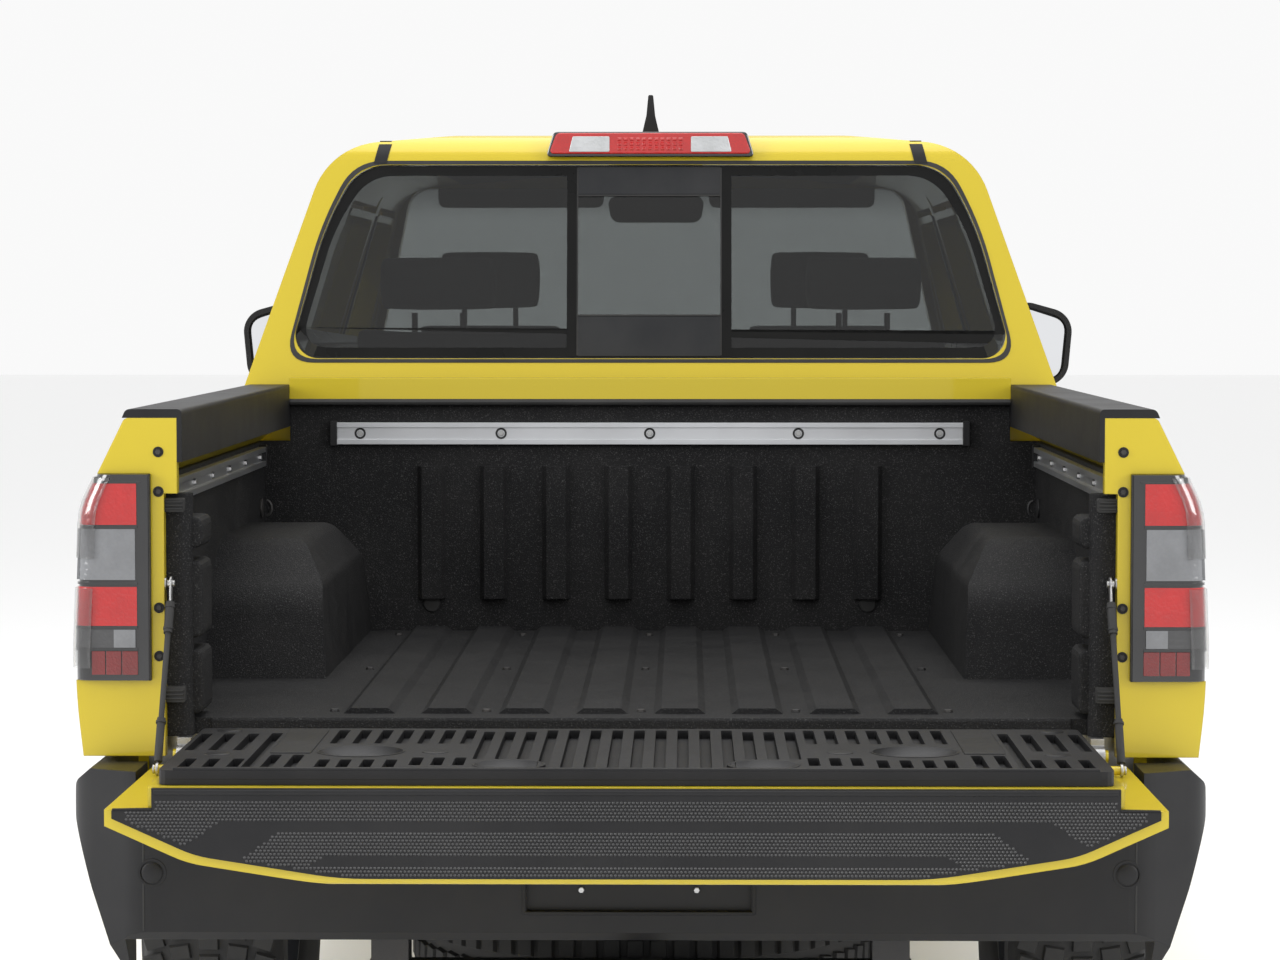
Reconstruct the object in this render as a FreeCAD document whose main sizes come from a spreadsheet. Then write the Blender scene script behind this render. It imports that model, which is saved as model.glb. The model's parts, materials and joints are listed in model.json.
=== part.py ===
import FreeCAD, Part
import math
import os
import Sketcher
from FreeCAD import Rotation, Vector

# A mid-size crew-cab pickup truck with its tailgate lowered.
# The frame has +Z up and +Y forwards, with the right-hand side at +X.
# Its origin is on the ground, under the middle of the truck's box.

doc = FreeCAD.newDocument("pickup_truck")

# Driving dimensions, in millimetres and degrees
SIZES = [
    # Wheels and stance
    ("cab_to_axle", 500, "cab's back to the rear axle"),
    ("front_overhang", 910, "front axle line to bumper face"),
    ("tail_overhang", 1100, "rear axle line to the bed's tail plane"),
    ("half_track", 785, "middle plane to a wheel's middle"),
    ("tyre_radius", 401, "outer radius of a tyre"),
    ("tyre_width", 262, "section width of a tyre"),
    ("rim_radius", 222, "outer radius of a rim's flange"),
    ("rim_width", 205, "overall width of a rim"),
    ("rim_wall", 9, "thickness of the rim's barrel"),
    ("spoke_thickness", 34, "depth of the wheel's spoked face"),
    ("hub_radius", 78, "radius of the wheel's centre boss"),
    ("stub_radius", 30, "radius of each stub axle"),
    ("disc_radius", 150, "radius of a brake disc"),
    ("lug_circle", 114.3, "pitch circle of the wheel studs"),
    # Cab widths, as half widths
    ("body_half", 900, "half width at the waist, where the body is widest"),
    ("sill_in", 45, "how far the sill stands in from the waist"),
    ("shoulder_in", 12, "the same for the shoulder"),
    ("belt_in", 40, "the same for the belt line"),
    ("rail_in", 217, "the same for the roof rail"),
    ("plan_radius", 25000, "radius of the sides ahead of the doors, seen from above"),
    # Cab heights, each from the one before
    ("sill_height", 430, "ground to the sill's lower edge"),
    ("waist_rise", 470, "sill to waist"),
    ("shoulder_rise", 250, "waist to shoulder"),
    ("belt_rise", 85, "shoulder to belt line"),
    ("glass_rise", 510, "belt line to roof rail"),
    ("roof_rise", 77, "roof rail to where sides and roof would meet"),
    ("roof_crown", 38, "that corner to the roof's middle"),
    ("roof_round", 150, "radius between side and roof"),
    ("roof_camber", 16, "fall of the roof from its middle to either end"),
    # Cab lengths
    ("axle_to_door", 615, "front axle line back to the front door"),
    ("front_door_length", 1055, "front door, edge to edge"),
    ("rear_door_length", 842, "rear door, edge to edge at the belt"),
    ("quarter_length", 180, "rear door to the cab's back wall"),
    ("cowl_reach", 150, "front door forward to the windscreen's foot"),
    ("screen_rake", 690, "run of the windscreen from foot to head"),
    ("back_rake", 72, "run of the rear window from foot to head"),
    ("screen_pillar", 85, "width of a windscreen pillar in side view"),
    ("cab_wall", 46, "thickness of roof, pillars and glass frames"),
    ("door_wall", 96, "thickness of a door below the glass"),
    ("skin_wall", 12, "thickness of an outer skin with its flange"),
    ("back_wall", 60, "thickness of the cab's back wall"),
    ("floor_rise", 130, "sill's lower edge to the cab floor's underside"),
    ("floor_wall", 40, "thickness of the cab's floor"),
    ("panel_gap", 8, "gap between a door and what it meets"),
    ("door_lift", 40, "sill's lower edge to a door's lower edge"),
    ("door_step", 30, "width of the flange round a door"),
    ("latch_step", 70, "the same at the edge away from the hinges"),
    ("glass_frame", 46, "width of a door's frame round its glass"),
    ("swing_room", 16, "clearance of a door's box in its opening"),
    ("pane", 4, "thickness of glass"),
    ("pane_inset", 6, "how far glass stands in from the skin"),
    ("seat_gap", 0.3, "clearance round a piece that seats in another"),
    # Load bed
    ("bed_gap", 25, "cab to bed"),
    ("rail_height", 1336, "ground to the top of a bed side"),
    ("cap_height", 14, "thickness of the bed rail's cap"),
    ("bed_floor_height", 838, "ground to the bed's load floor"),
    ("bed_floor_wall", 26, "thickness of the bed's floor"),
    ("bed_rib", 14, "height of the ribs pressed in floor and walls"),
    ("bed_inner_half", 780, "half width of the bed between its walls"),
    ("bed_liner_wall", 12, "thickness of the bed's lined walls"),
    ("rail_inner_half", 735, "half width between the bed's rails"),
    ("rail_outer_half", 818, "half width over the tops of the bed's rails"),
    ("house_half", 563, "half width between the wheel houses"),
    ("house_rise", 235, "height of a wheel house over the floor"),
    ("bed_jamb", 52, "length of the jamb post at the tailgate"),
    ("jamb_inner_half", 716, "half width of the tailgate opening"),
    ("jamb_flange_half", 756, "half width between the painted flanges beside it"),
    ("bulkhead_wall", 30, "thickness of the bed's front wall"),
    ("bedside_lower", 500, "ground to the bed side's lower edge"),
    ("arch_radius", 470, "radius of a wheel arch"),
    ("arch_lip", 24, "how far an arch lip stands proud"),
    ("arch_lip_width", 58, "width of an arch lip"),
    # Tailgate
    ("gate_length", 520, "hinge line to the tailgate's top"),
    ("gate_half", 770, "half width of the tailgate's outer skin"),
    ("gate_inner_half", 706, "half width of the tailgate's inner box"),
    ("gate_thickness", 46, "thickness of the tailgate's box"),
    ("gate_lip", 145, "depth of the tailgate's top at its middle"),
    ("gate_lip_end", 58, "depth of the tailgate's top at its ends"),
    ("gate_pin_radius", 11, "radius of a tailgate hinge pin"),
    ("gate_liner", 22, "height of the ribbed liner on the tailgate"),
    ("gate_drop", 10, "bed floor down to the lowered liner's top"),
    ("gate_reach_in", 160, "tailgate's hinge line to its cable eyes"),
    ("gate_trim", 9, "thickness of the trim on the tailgate's top"),
    # Nose
    ("nose_height", 1118, "ground to the bonnet's front edge"),
    ("hood_inset", 130, "body's side in to the bonnet's edge"),
    ("hood_wall", 36, "thickness of the bonnet"),
    ("hood_crown", 44, "rise of the bonnet's middle over its edges"),
    ("nose_setback", 80, "bumper face back to the bonnet's front edge"),
    ("fender_wall", 62, "thickness of a front wing"),
    ("bumper_top", 770, "ground to the top of the front bumper"),
    ("bumper_low", 330, "ground to the bottom of the front bumper"),
    ("grille_half", 470, "half width of the grille"),
    ("lamp_low", 870, "ground to the bottom of a headlamp"),
    # Rear bumper and lamps
    ("rear_bumper_out", 130, "tail plane to the rear bumper's face"),
    ("rear_bumper_top", 775, "ground to the rear bumper's top"),
    ("rear_bumper_low", 455, "ground to the rear bumper's bottom"),
    ("tail_lamp_low", 905, "ground to a tail lamp's bottom"),
    ("tail_lamp_rise", 328, "height of a tail lamp"),
    ("tail_lamp_inner", 778, "middle plane to a tail lamp"),
    ("tail_lamp_wrap", 190, "how far a tail lamp wraps along the side"),
    # Chassis
    ("frame_half", 402, "middle plane to a frame rail's middle"),
    ("frame_wide", 72, "width of a frame rail"),
    ("frame_deep", 140, "height of a frame rail"),
    ("frame_height", 410, "ground to a frame rail's underside"),
    ("frame_kick", 190, "rise of the frame over the rear axle"),
    ("axle_tube", 42, "radius of the rear axle tube"),
    ("leaf_bend", 4600, "radius to which the leaf springs are curved"),
    ("leaf_thickness", 13, "thickness of one leaf"),
    ("kingpin_offset", 60, "wheel's middle in to its steering axis"),
    ("joint_low", 120, "wheel centre down to the lower ball joint"),
    ("joint_high", 130, "wheel centre up to the upper ball joint"),
    ("steer_arm", 100, "steering axis back to the tie rod's eye"),
    ("rack_drop", 130, "wheel centre down to the tie bar"),
    ("arm_drop", 92, "wheel centre down to a steering arm's underside"),
    ("pin_clearance", 0.08, "radial clearance of a running fit"),
    # Inside the cab
    ("seat_height", 330, "cab floor to the seat cushion's top"),
    ("seat_half", 260, "half width of a front seat"),
    ("seat_middle", 385, "middle plane to a front seat's middle"),
    ("wheel_ring", 186, "radius of the steering wheel's ring"),
    ("wheel_grip", 15, "radius of the ring's section"),
]

sheet = doc.addObject("Spreadsheet::Sheet", "sizes")
for row, (alias, value, note) in enumerate(SIZES, start=1):
    sheet.set(f"A{row}", alias)
    sheet.set(f"B{row}", str(value))
    sheet.set(f"C{row}", note)
    sheet.setAlias(f"B{row}", alias)
doc.recompute()


def size(alias):
    """A driving dimension from the sheet."""
    return float(sheet.get(alias))


# Places worked out from the driving dimensions
GATE_HINGE_IN = 6.0
HINGE_DEEP = 21.0
HINGE_BACK = 30.0
HINGE_RADIUS = 7.0
HINGE_PIN = 4.0
HINGE_HALF = 22.0
CLEAR = 5.0
GEAR_ROOM = 118.0
OVERSHOOT = 40.0

WIDE = size("body_half") + 500

gate_reach = size("gate_length") - GATE_HINGE_IN + size("gate_trim")
cab_length = size("front_door_length") + size("panel_gap") + size("rear_door_length") + size("quarter_length")
wheelbase = size("axle_to_door") + cab_length + size("cab_to_axle")
total_length = size("front_overhang") + wheelbase + size("tail_overhang") + gate_reach
y_front = total_length / 2
y_front_axle = y_front - size("front_overhang")
y_rear_axle = y_front_axle - wheelbase
y_tail = y_rear_axle - size("tail_overhang")
y_door = y_front_axle - size("axle_to_door")
y_post = y_door - size("front_door_length")
y_rear_door = y_post - size("panel_gap")
y_rear_door_end = y_rear_door - size("rear_door_length")
y_cab_back = y_rear_door_end - size("quarter_length")
y_cowl = y_door + size("cowl_reach")
y_bed = y_cab_back - size("bed_gap")
y_nose = y_front - size("nose_setback")
y_gate_hinge = y_tail + GATE_HINGE_IN

x_hood = size("body_half") - size("hood_inset")
z_axle = size("tyre_radius")
z_sill = size("sill_height")
z_waist = z_sill + size("waist_rise")
z_shoulder = z_waist + size("shoulder_rise")
z_belt = z_shoulder + size("belt_rise")
z_rail = z_belt + size("glass_rise")
z_roof_edge = z_rail + size("roof_rise")
z_roof = z_roof_edge + size("roof_crown")
z_floor_under = z_sill + size("floor_rise")
z_cab_floor = z_floor_under + size("floor_wall")
z_door = z_sill + size("door_lift")
z_door_top = z_rail - 10
z_bed = size("bed_floor_height")
z_drive = size("frame_height") + 60
z_liner_top = z_bed - size("gate_drop")
z_gate_top = z_liner_top - size("gate_liner")
z_gate_hinge = z_gate_top - size("gate_thickness") / 2


# Outline and solid helpers
def lay(plane, a, b, level):
    """A point of a flat outline in space: XZ, YZ or XY, at a level along the plane's normal."""
    if plane == "XZ":
        return Vector(a, level, b)
    if plane == "YZ":
        return Vector(level, a, b)
    return Vector(a, b, level)


def normal_of(plane):
    return {"XZ": Vector(0, 1, 0), "YZ": Vector(1, 0, 0), "XY": Vector(0, 0, 1)}[plane]


def rounded_wire(corners, plane, level=0.0):
    """A closed wire through corners (a, b, radius), with a tangent arc where the radius is above 0."""
    count = len(corners)
    cuts = []
    for i in range(count):
        here = Vector(corners[i][0], corners[i][1], 0)
        back = Vector(*corners[i - 1][:2], 0) - here
        on = Vector(*corners[(i + 1) % count][:2], 0) - here
        room = 0.47 * min(back.Length, on.Length)
        back.normalize()
        on.normalize()
        half_angle = back.getAngle(on) / 2
        wanted = corners[i][2] / math.tan(half_angle) if corners[i][2] > 0 else 0.0
        run = min(wanted, room)
        if run < 0.01:
            cuts.append((here, None, here))
            continue
        middle = (back + on)
        middle.normalize()
        radius = run * math.tan(half_angle)
        centre = here + middle * (radius / math.sin(half_angle))
        cuts.append((here + back * run, centre - middle * radius, here + on * run))
    edges = []
    for i in range(count):
        start, bend, end = cuts[i]
        if bend is not None:
            ends = [lay(plane, p.x, p.y, level) for p in (start, bend, end)]
            edges.append(Part.Arc(*ends).toShape())
        follow = cuts[(i + 1) % count][0]
        if (follow - end).Length > 0.001:
            edges.append(Part.LineSegment(lay(plane, end.x, end.y, level),
                                          lay(plane, follow.x, follow.y, level)).toShape())
    return Part.Wire(edges)


def prism(corners, plane, low, high):
    """A flat outline pushed along its plane's normal from low to high."""
    face = Part.Face(rounded_wire(corners, plane, low))
    return face.extrude(normal_of(plane) * (high - low))


def block(x0, x1, y0, y1, z0, z1):
    return Part.makeBox(x1 - x0, y1 - y0, z1 - z0, Vector(x0, y0, z0))


def rod(radius, start, end):
    """A round bar from one point to another."""
    along = Vector(*end) - Vector(*start)
    return Part.makeCylinder(radius, along.Length, Vector(*start), along)


def tube_path(radius, points, bend):
    """A round bar along straight runs joined by arcs of one bend radius."""
    pts = [Vector(*p) for p in points]
    edges = []
    start = pts[0]
    for i in range(1, len(pts) - 1):
        back = (pts[i - 1] - pts[i]).normalize()
        on = (pts[i + 1] - pts[i]).normalize()
        half_angle = back.getAngle(on) / 2
        run = bend / math.tan(half_angle)
        middle = (back + on).normalize()
        centre = pts[i] + middle * (bend / math.sin(half_angle))
        first, last = pts[i] + back * run, pts[i] + on * run
        edges.append(Part.LineSegment(start, first).toShape())
        edges.append(Part.Arc(first, centre - middle * bend, last).toShape())
        start = last
    edges.append(Part.LineSegment(start, pts[-1]).toShape())
    path = Part.Wire(edges)
    along = (pts[1] - pts[0])
    ring = Part.Wire([Part.makeCircle(radius, pts[0], along)])
    return path.makePipeShell([ring], True, False)


def mirrored(shape):
    return shape.mirror(Vector(0, 0, 0), Vector(1, 0, 0))


def pair(shape):
    """A right-hand shape with its left-hand mirror image."""
    return Part.makeCompound([shape, mirrored(shape)])


def fuse(first, *others):
    joined = first.multiFuse(list(others))
    return joined.removeSplitter()


def node(name, shape):
    """Puts a shape in the document as a sub-part with its own label."""
    part = doc.addObject("Part::Feature", name)
    part.Label = name
    part.Shape = shape
    nodes.append(part)
    return part


nodes = []


# The outer surface of the body
def side_in(y):
    """How far the sides have come in ahead of the doors, at a place along the truck."""
    reach = size("plan_radius")
    return reach - math.sqrt(reach ** 2 - max(0.0, y - y_door) ** 2)


def half_section(low_depth, high_depth):
    """Half of the cab's cross section, set in by one depth below the belt and another above it."""
    body = size("body_half")
    soft = 1 if low_depth == 0 else 0.5
    belt_depth = max(high_depth, low_depth * 0.72)
    lean = (size("rail_in") - size("belt_in")) / size("glass_rise")
    corner = body - size("rail_in") - lean * size("roof_rise")
    return [
        (body - size("sill_in") - low_depth, z_sill, 0),
        (body - low_depth, z_waist, 900),
        (body - size("shoulder_in") - low_depth, z_shoulder, 160),
        (body - size("belt_in") - belt_depth, z_belt, 40 * soft),
        (corner - high_depth * (1 - lean), z_roof_edge - high_depth, size("roof_round") - high_depth),
        (corner * 0.4, z_roof - 3 - high_depth, 3000),
        (0, z_roof - high_depth, 0),
        (0, z_sill, 0),
    ]


def cab_half(low_depth, high_depth):
    """The right half of the cab's form, pushed along its length."""
    face = Part.Face(rounded_wire(half_section(low_depth, high_depth), "XZ", y_cab_back - OVERSHOOT))
    return face.extrude(Vector(0, y_cowl - y_cab_back + 2 * OVERSHOOT, 0))


# Windscreen and rear window lines in side view
screen_foot = Vector(y_cowl, z_belt - 20, 0)
screen_head = Vector(y_cowl - size("screen_rake"), z_roof, 0)
screen_along = (screen_head - screen_foot).normalize()
screen_in = Vector(-screen_along.y, screen_along.x, 0)
back_foot = Vector(y_cab_back, z_belt + 90, 0)
back_head = Vector(y_cab_back + size("back_rake"), z_roof, 0)
back_along = (back_head - back_foot).normalize()
back_in = Vector(back_along.y, -back_along.x, 0)


def on_line(foot, along, z):
    """The y where a sloping line passes a height."""
    return foot.x + along.x * (z - foot.y) / along.y


def pillar_line(z, depth):
    """The y of a line parallel to the windscreen, set back by a depth, at a height."""
    return on_line(screen_foot + screen_in * depth, screen_along, z)


def pillar_z(y, depth):
    """The height at which that line passes a place along the truck."""
    foot = screen_foot + screen_in * depth
    return foot.y + (y - foot.x) * screen_along.y / screen_along.x


def back_line(z, depth):
    return on_line(back_foot + back_in * depth, back_along, z)


def cab_outline(firewall):
    """The cab's side profile: back wall, rear window slope, cambered roof, windscreen slope, firewall."""
    end = z_roof - size("roof_camber")
    middle = (back_line(end, 0) + pillar_line(end, 0)) / 2
    return [
        (y_cab_back, z_sill, 0),
        (y_cab_back, back_foot.y, 200),
        (back_line(end, 0), end, 60),
        (middle, z_roof + 2, 20000),
        (pillar_line(end, 0), end, 110),
        (pillar_line(z_belt - 20, 0), z_belt - 20, 0),
        (y_cowl, z_belt - 70, 0),
        (firewall, z_belt - 110, 0),
        (firewall, z_sill, 0),
    ]


def cavity_outline(firewall):
    """The side profile of the space inside the cab."""
    wall = size("cab_wall")
    inside = y_cab_back + size("back_wall")
    over = z_roof + OVERSHOOT
    return [
        (inside, z_cab_floor, 0),
        (inside, back_foot.y, 60),
        (back_line(over, wall), over, 0),
        (pillar_line(over, wall), over, 0),
        (pillar_line(z_belt - 20, wall), z_belt - 20, 0),
        (pillar_line(z_belt - 20, wall) - 5, z_belt - 70, 0),
        (firewall - 50, z_belt - 110, 0),
        (firewall - 50, z_cab_floor, 0),
    ]


# Door outlines in side view, inset at their fore, sloping, aft, low and high edges
def front_door_outline(fore=0.0, slope=0.0, aft=0.0, low=0.0, high=0.0):
    depth = size("screen_pillar") + slope
    top = z_door_top - high
    return [
        (y_post + aft, z_door + low, 30),
        (y_door - fore, z_door + low, 45),
        (y_door - fore, pillar_z(y_door - fore, depth), 60),
        (pillar_line(top, depth), top, 60),
        (y_post + aft, top, 25),
    ]


def rear_door_outline(fore=0.0, slope=0.0, aft=0.0, low=0.0, high=0.0):
    top = z_door_top - high
    lean = size("rear_door_length") * 0.2
    end = y_rear_door_end + aft
    return [
        (end + lean * 0.3, z_door + low, 45),
        (y_rear_door - fore, z_door + low, 30),
        (y_rear_door - fore, top, 25),
        (end + lean, top, 70),
        (end, z_belt + 10, 60),
        (end, z_waist - 130, 200),
    ]


def front_glass_outline():
    frame = size("glass_frame")
    low, high = z_belt + 14, z_door_top - frame
    line = size("screen_pillar") + frame
    return [
        (y_post + frame, low, 14),
        (pillar_line(low, line) - 20, low, 30),
        (pillar_line(high, line), high, 45),
        (y_post + frame, high, 18),
    ]


def rear_glass_outline():
    frame = size("glass_frame")
    low, high = z_belt + 14, z_door_top - frame
    lean = size("rear_door_length") * 0.2
    return [
        (y_rear_door_end + frame * 1.3, low, 40),
        (y_rear_door - frame, low, 14),
        (y_rear_door - frame, high, 18),
        (y_rear_door_end + lean + frame * 0.7, high, 50),
    ]


def right_side(corners):
    return prism(corners, "YZ", 0, WIDE)


skin = size("skin_wall")
outer = cab_half(0, 0)
under_skin = cab_half(skin, skin)
door_inner = cab_half(size("door_wall"), size("cab_wall") + 4)
cabin = cab_half(size("door_wall") + 14, size("cab_wall"))
skin_band = outer.cut(under_skin)
inner_band = under_skin.cut(door_inner)
lip_band = outer.cut(cab_half(skin + CLEAR, skin + CLEAR))
wall_band = outer.cut(cabin)
pane_band = cab_half(size("pane_inset"), size("pane_inset")).cut(
    cab_half(size("pane_inset") + size("pane"), size("pane_inset") + size("pane")))


# Doors, windows and mirrors
def hinge_axis(y_edge):
    """The foot of a door's hinge axis: behind the door's front edge, just inside the skin at the waist."""
    return Vector(size("body_half") - side_in(y_edge) - HINGE_DEEP, y_edge - HINGE_BACK, 0)


def hinge_heights():
    return (z_waist - 30, z_waist + 150)


def swing_room(y_edge):
    """The room that a door's front edge sweeps as it turns, with its clearance."""
    reach = math.hypot(HINGE_BACK, HINGE_DEEP - 3) + CLEAR
    axis = hinge_axis(y_edge)
    return Part.makeCylinder(reach, z_belt + 20 - z_door + CLEAR, Vector(axis.x, axis.y, z_door - CLEAR))


def door_solid(outline, glass, y_edge):
    """A right-hand door: skin with its flange, inner box, glass opening and hinge barrels."""
    step = size("door_step")
    shell = skin_band.common(right_side(outline()))
    box = inner_band.common(right_side(outline(0, step, size("latch_step"), step, step)))
    door = shell.fuse(box).cut(right_side(glass))
    axis = hinge_axis(y_edge)
    for z in hinge_heights():
        wall = axis.y - HINGE_RADIUS - 4
        pocket = block(axis.x - 240, axis.x + HINGE_RADIUS + 2, wall, y_edge + 5, z - HINGE_HALF - 20,
                       z + HINGE_HALF + 20)
        barrel = Part.makeCylinder(HINGE_RADIUS, 2 * HINGE_HALF, Vector(axis.x, axis.y, z - HINGE_HALF))
        web = block(axis.x - 5, axis.x + 5, wall - 5, axis.y, z - HINGE_HALF, z + HINGE_HALF)
        hole = Part.makeCylinder(HINGE_PIN + size("pin_clearance"), 4 * HINGE_HALF,
                                 Vector(axis.x, axis.y, z - 2 * HINGE_HALF))
        door = door.cut(pocket).fuse(barrel.fuse(web).cut(hole))
    return door


def hinge_leaves(y_edge):
    """The fixed leaves of a door's hinges: pins on goosenecks that reach in and forward to the pillar."""
    axis = hinge_axis(y_edge)
    leaves = []
    for z in hinge_heights():
        leaf = Part.makeCylinder(HINGE_PIN, 2 * HINGE_HALF + 30, Vector(axis.x, axis.y, z - HINGE_HALF - 15))
        for level in (z - HINGE_HALF - 15, z + HINGE_HALF + 3):
            arm = block(axis.x - 60, axis.x + 6, axis.y - 6, axis.y + 6, level, level + 12)
            foot = block(axis.x - 70, axis.x - 55, axis.y - 6, y_edge + size("panel_gap"), level, level + 12)
            leaf = leaf.fuse([arm, foot])
        leaves.append(leaf)
    return leaves


def door_handle(y_edge_rear):
    """A pull handle on two feet that stand on the skin."""
    z = z_waist + 215
    x_skin = size("body_half") - size("shoulder_in") * 0.9 - side_in(y_edge_rear)
    y0, y1 = y_edge_rear + 50, y_edge_rear + 250
    grip = prism([(y0, z - 16, 10), (y1, z - 16, 14), (y1, z + 16, 14), (y0, z + 16, 10)], "YZ",
                 x_skin + 22, x_skin + 36)
    feet = [prism([(y, z - 11, 0), (y + 26, z - 11, 0), (y + 26, z + 11, 0), (y, z + 11, 0)], "YZ",
                  x_skin - 8, x_skin + 24) for y in (y0 + 6, y1 - 34)]
    return fuse(grip, *feet)


def glass_pane(outline):
    gap = size("seat_gap")
    middle_y = sum(corner[0] for corner in outline) / len(outline)
    middle_z = sum(corner[1] for corner in outline) / len(outline)
    inset = [(y + math.copysign(gap, middle_y - y), z + math.copysign(gap, middle_z - z), r)
             for y, z, r in outline]
    return pane_band.common(right_side(inset))


front_door = door_solid(front_door_outline, front_glass_outline(), y_door).fuse(door_handle(y_post))
front_door = front_door.cut(swing_room(y_rear_door))
rear_door = door_solid(rear_door_outline, rear_glass_outline(), y_rear_door)
rear_door = rear_door.fuse(door_handle(y_rear_door_end))
front_pane = glass_pane(front_glass_outline())
rear_pane = glass_pane(rear_glass_outline())


def mirror_solid():
    """A right-hand door mirror: a shell on a short arm, seated on the door's skin."""
    z0 = z_belt + 18
    y0 = y_door - 215
    x0 = size("body_half") - size("belt_in") - 8
    shell = prism([(x0 + 54, z0 + 20, 40), (x0 + 196, z0 + 40, 60), (x0 + 212, z0 + 215, 60),
                   (x0 + 44, z0 + 262, 50)], "XZ", y0, y0 + 110)
    nose = prism([(x0 + 20, y0 - 5, 10), (x0 + 226, y0 - 5, 20), (x0 + 215, y0 + 50, 70), (x0 + 50, y0 + 112, 40)],
                 "XY", z0, z0 + 290)
    glass_bay = prism([(x0 + 66, z0 + 34, 25), (x0 + 184, z0 + 52, 46), (x0 + 198, z0 + 203, 46),
                       (x0 + 58, z0 + 246, 36)], "XZ", y0 - 5, y0 + 10)
    arm = prism([(x0 - 22, y0 + 60, 8), (x0 + 80, y0 + 40, 8), (x0 + 80, y0 + 90, 8), (x0 - 22, y0 + 130, 8)],
                "XY", z0 + 28, z0 + 62)
    return shell.common(nose).cut(glass_bay).fuse(arm).cut(outer)


mirror = mirror_solid()

for side, turn in (("right", lambda s: s), ("left", mirrored)):
    node(f"front_door_{side}", turn(front_door))
    node(f"rear_door_{side}", turn(rear_door))
    node(f"front_door_glass_{side}", turn(front_pane))
    node(f"rear_door_glass_{side}", turn(rear_pane))
    node(f"door_mirror_{side}", turn(mirror))


# Cab shell with its openings
def rear_window_outline(by=0.0):
    """The rear window seen from behind."""
    low = z_belt + 153 + by
    high = z_rail + 38 - by
    foot = size("body_half") - size("belt_in") - 122 - by
    head = size("body_half") - size("rail_in") - 85 - by
    bend = z_rail - 88
    return [
        (-foot, low, 48), (foot, low, 48), (head + 68, bend, 900), (head, high, 100), (-head, high, 100),
        (-head - 68, bend, 900),
    ]


def screen_outline(by=0.0):
    """The windscreen seen from the front."""
    low = z_belt + 8 + by
    high = z_roof_edge - 42 - by
    return [
        (-(size("body_half") - size("belt_in")) * 0.885 + by, low, 40),
        ((size("body_half") - size("belt_in")) * 0.885 - by, low, 40),
        ((size("body_half") - size("rail_in")) * 0.885 - by, high, 60),
        (-(size("body_half") - size("rail_in")) * 0.885 + by, high, 60),
    ]


def sloping_pane(foot, along, inward, outline, low, high):
    """Flat glass in a sloping opening, from a side-view strip and an outline."""
    start, end = foot - along * 200, foot + along * 900
    near, far = inward * size("pane_inset"), inward * (size("pane_inset") + size("pane"))
    strip = prism([((start + near).x, (start + near).y, 0), ((end + near).x, (end + near).y, 0),
                   ((end + far).x, (end + far).y, 0), ((start + far).x, (start + far).y, 0)], "YZ", -WIDE, WIDE)
    return strip.common(prism(outline, "XZ", low, high))


firewall = y_door + 70
gap = size("panel_gap")
ledge = size("door_step") - size("swing_room")
post = size("latch_step") - size("swing_room")
half_cab = outer.common(right_side(cab_outline(firewall)))
half_cab = half_cab.cut(cabin.common(prism(cavity_outline(firewall), "YZ", -OVERSHOOT, WIDE)))
under_floor = block(-OVERSHOOT, size("frame_half") + 208, y_cab_back - 10, firewall + 10, z_sill - 10, z_floor_under)
half_cab = half_cab.cut(under_floor)
half_cab = half_cab.cut(prism(rear_window_outline(), "XZ", y_cab_back - 50, y_cab_back + 400))
half_cab = half_cab.cut(prism(screen_outline(), "XZ", y_door - 900, y_cowl + 200))
for outline, y_edge in ((front_door_outline, y_door), (rear_door_outline, y_rear_door)):
    half_cab = half_cab.cut(lip_band.common(right_side(outline(-gap, -gap, -gap, -gap, -gap))))
    half_cab = half_cab.cut(wall_band.common(right_side(outline(-gap, ledge, post, ledge, ledge))))
    edge_strip = block(0, WIDE, hinge_axis(y_edge).y - 8, y_edge + OVERSHOOT, z_sill, z_roof)
    half_cab = half_cab.cut(wall_band.common(right_side(outline(-gap, -gap, -gap, -gap, -gap))).common(edge_strip))
    half_cab = half_cab.cut(swing_room(y_edge))
post_low, post_high = z_waist - 100, z_shoulder - 10
wing_room = block(x_hood, WIDE, y_door + gap, y_cowl + 100, z_sill - 20, z_belt - 8)
hinge_post = block(x_hood - 10, size("body_half") - size("fender_wall") - 18, y_door + gap - 10, firewall,
                   post_low, post_high)
gear_room = rod(GEAR_ROOM, (0, y_cab_back, z_drive), (0, y_cowl, z_drive))
half_cab = half_cab.cut([wing_room.cut(hinge_post), gear_room])
cab = half_cab.fuse(mirrored(half_cab))
node("cab_shell", cab)

seat = size("seat_gap")
screen = sloping_pane(screen_foot, screen_along, screen_in, screen_outline(seat), y_door - 900, y_cowl + 200)
back_pane = sloping_pane(back_foot, back_along, back_in, rear_window_outline(seat), y_cab_back - 50,
                         y_cab_back + 400)
node("cab_glass", Part.makeCompound([screen, back_pane]))


# Load bed
x_wall = size("bed_inner_half")
x_liner = x_wall + size("bed_liner_wall")
x_rail = size("rail_inner_half")
z_cap = size("rail_height") - size("cap_height")
z_bed_under = z_bed - size("bed_floor_wall")
z_overhang = z_cap - 100
y_bulkhead = y_bed - size("bulkhead_wall")
y_floor_end = y_gate_hinge + size("gate_thickness") / 2 + size("gate_liner") + CLEAR
house = size("house_half")
lamp_low = size("tail_lamp_low")
lamp_high = lamp_low + size("tail_lamp_rise")
LAMP_BULGE = 14.0
bumper_half = size("body_half") - 6


def bedside_section():
    body = size("body_half")
    return [
        (body - size("sill_in"), size("bedside_lower"), 0),
        (body, z_waist, 900),
        (body - size("shoulder_in"), z_shoulder + 30, 120),
        (size("rail_outer_half"), z_cap, 10),
        (x_rail, z_cap, 0),
        (x_rail, z_cap - 60, 12),
        (x_liner, z_overhang, 0),
        (x_liner, size("bedside_lower"), 0),
    ]


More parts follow.
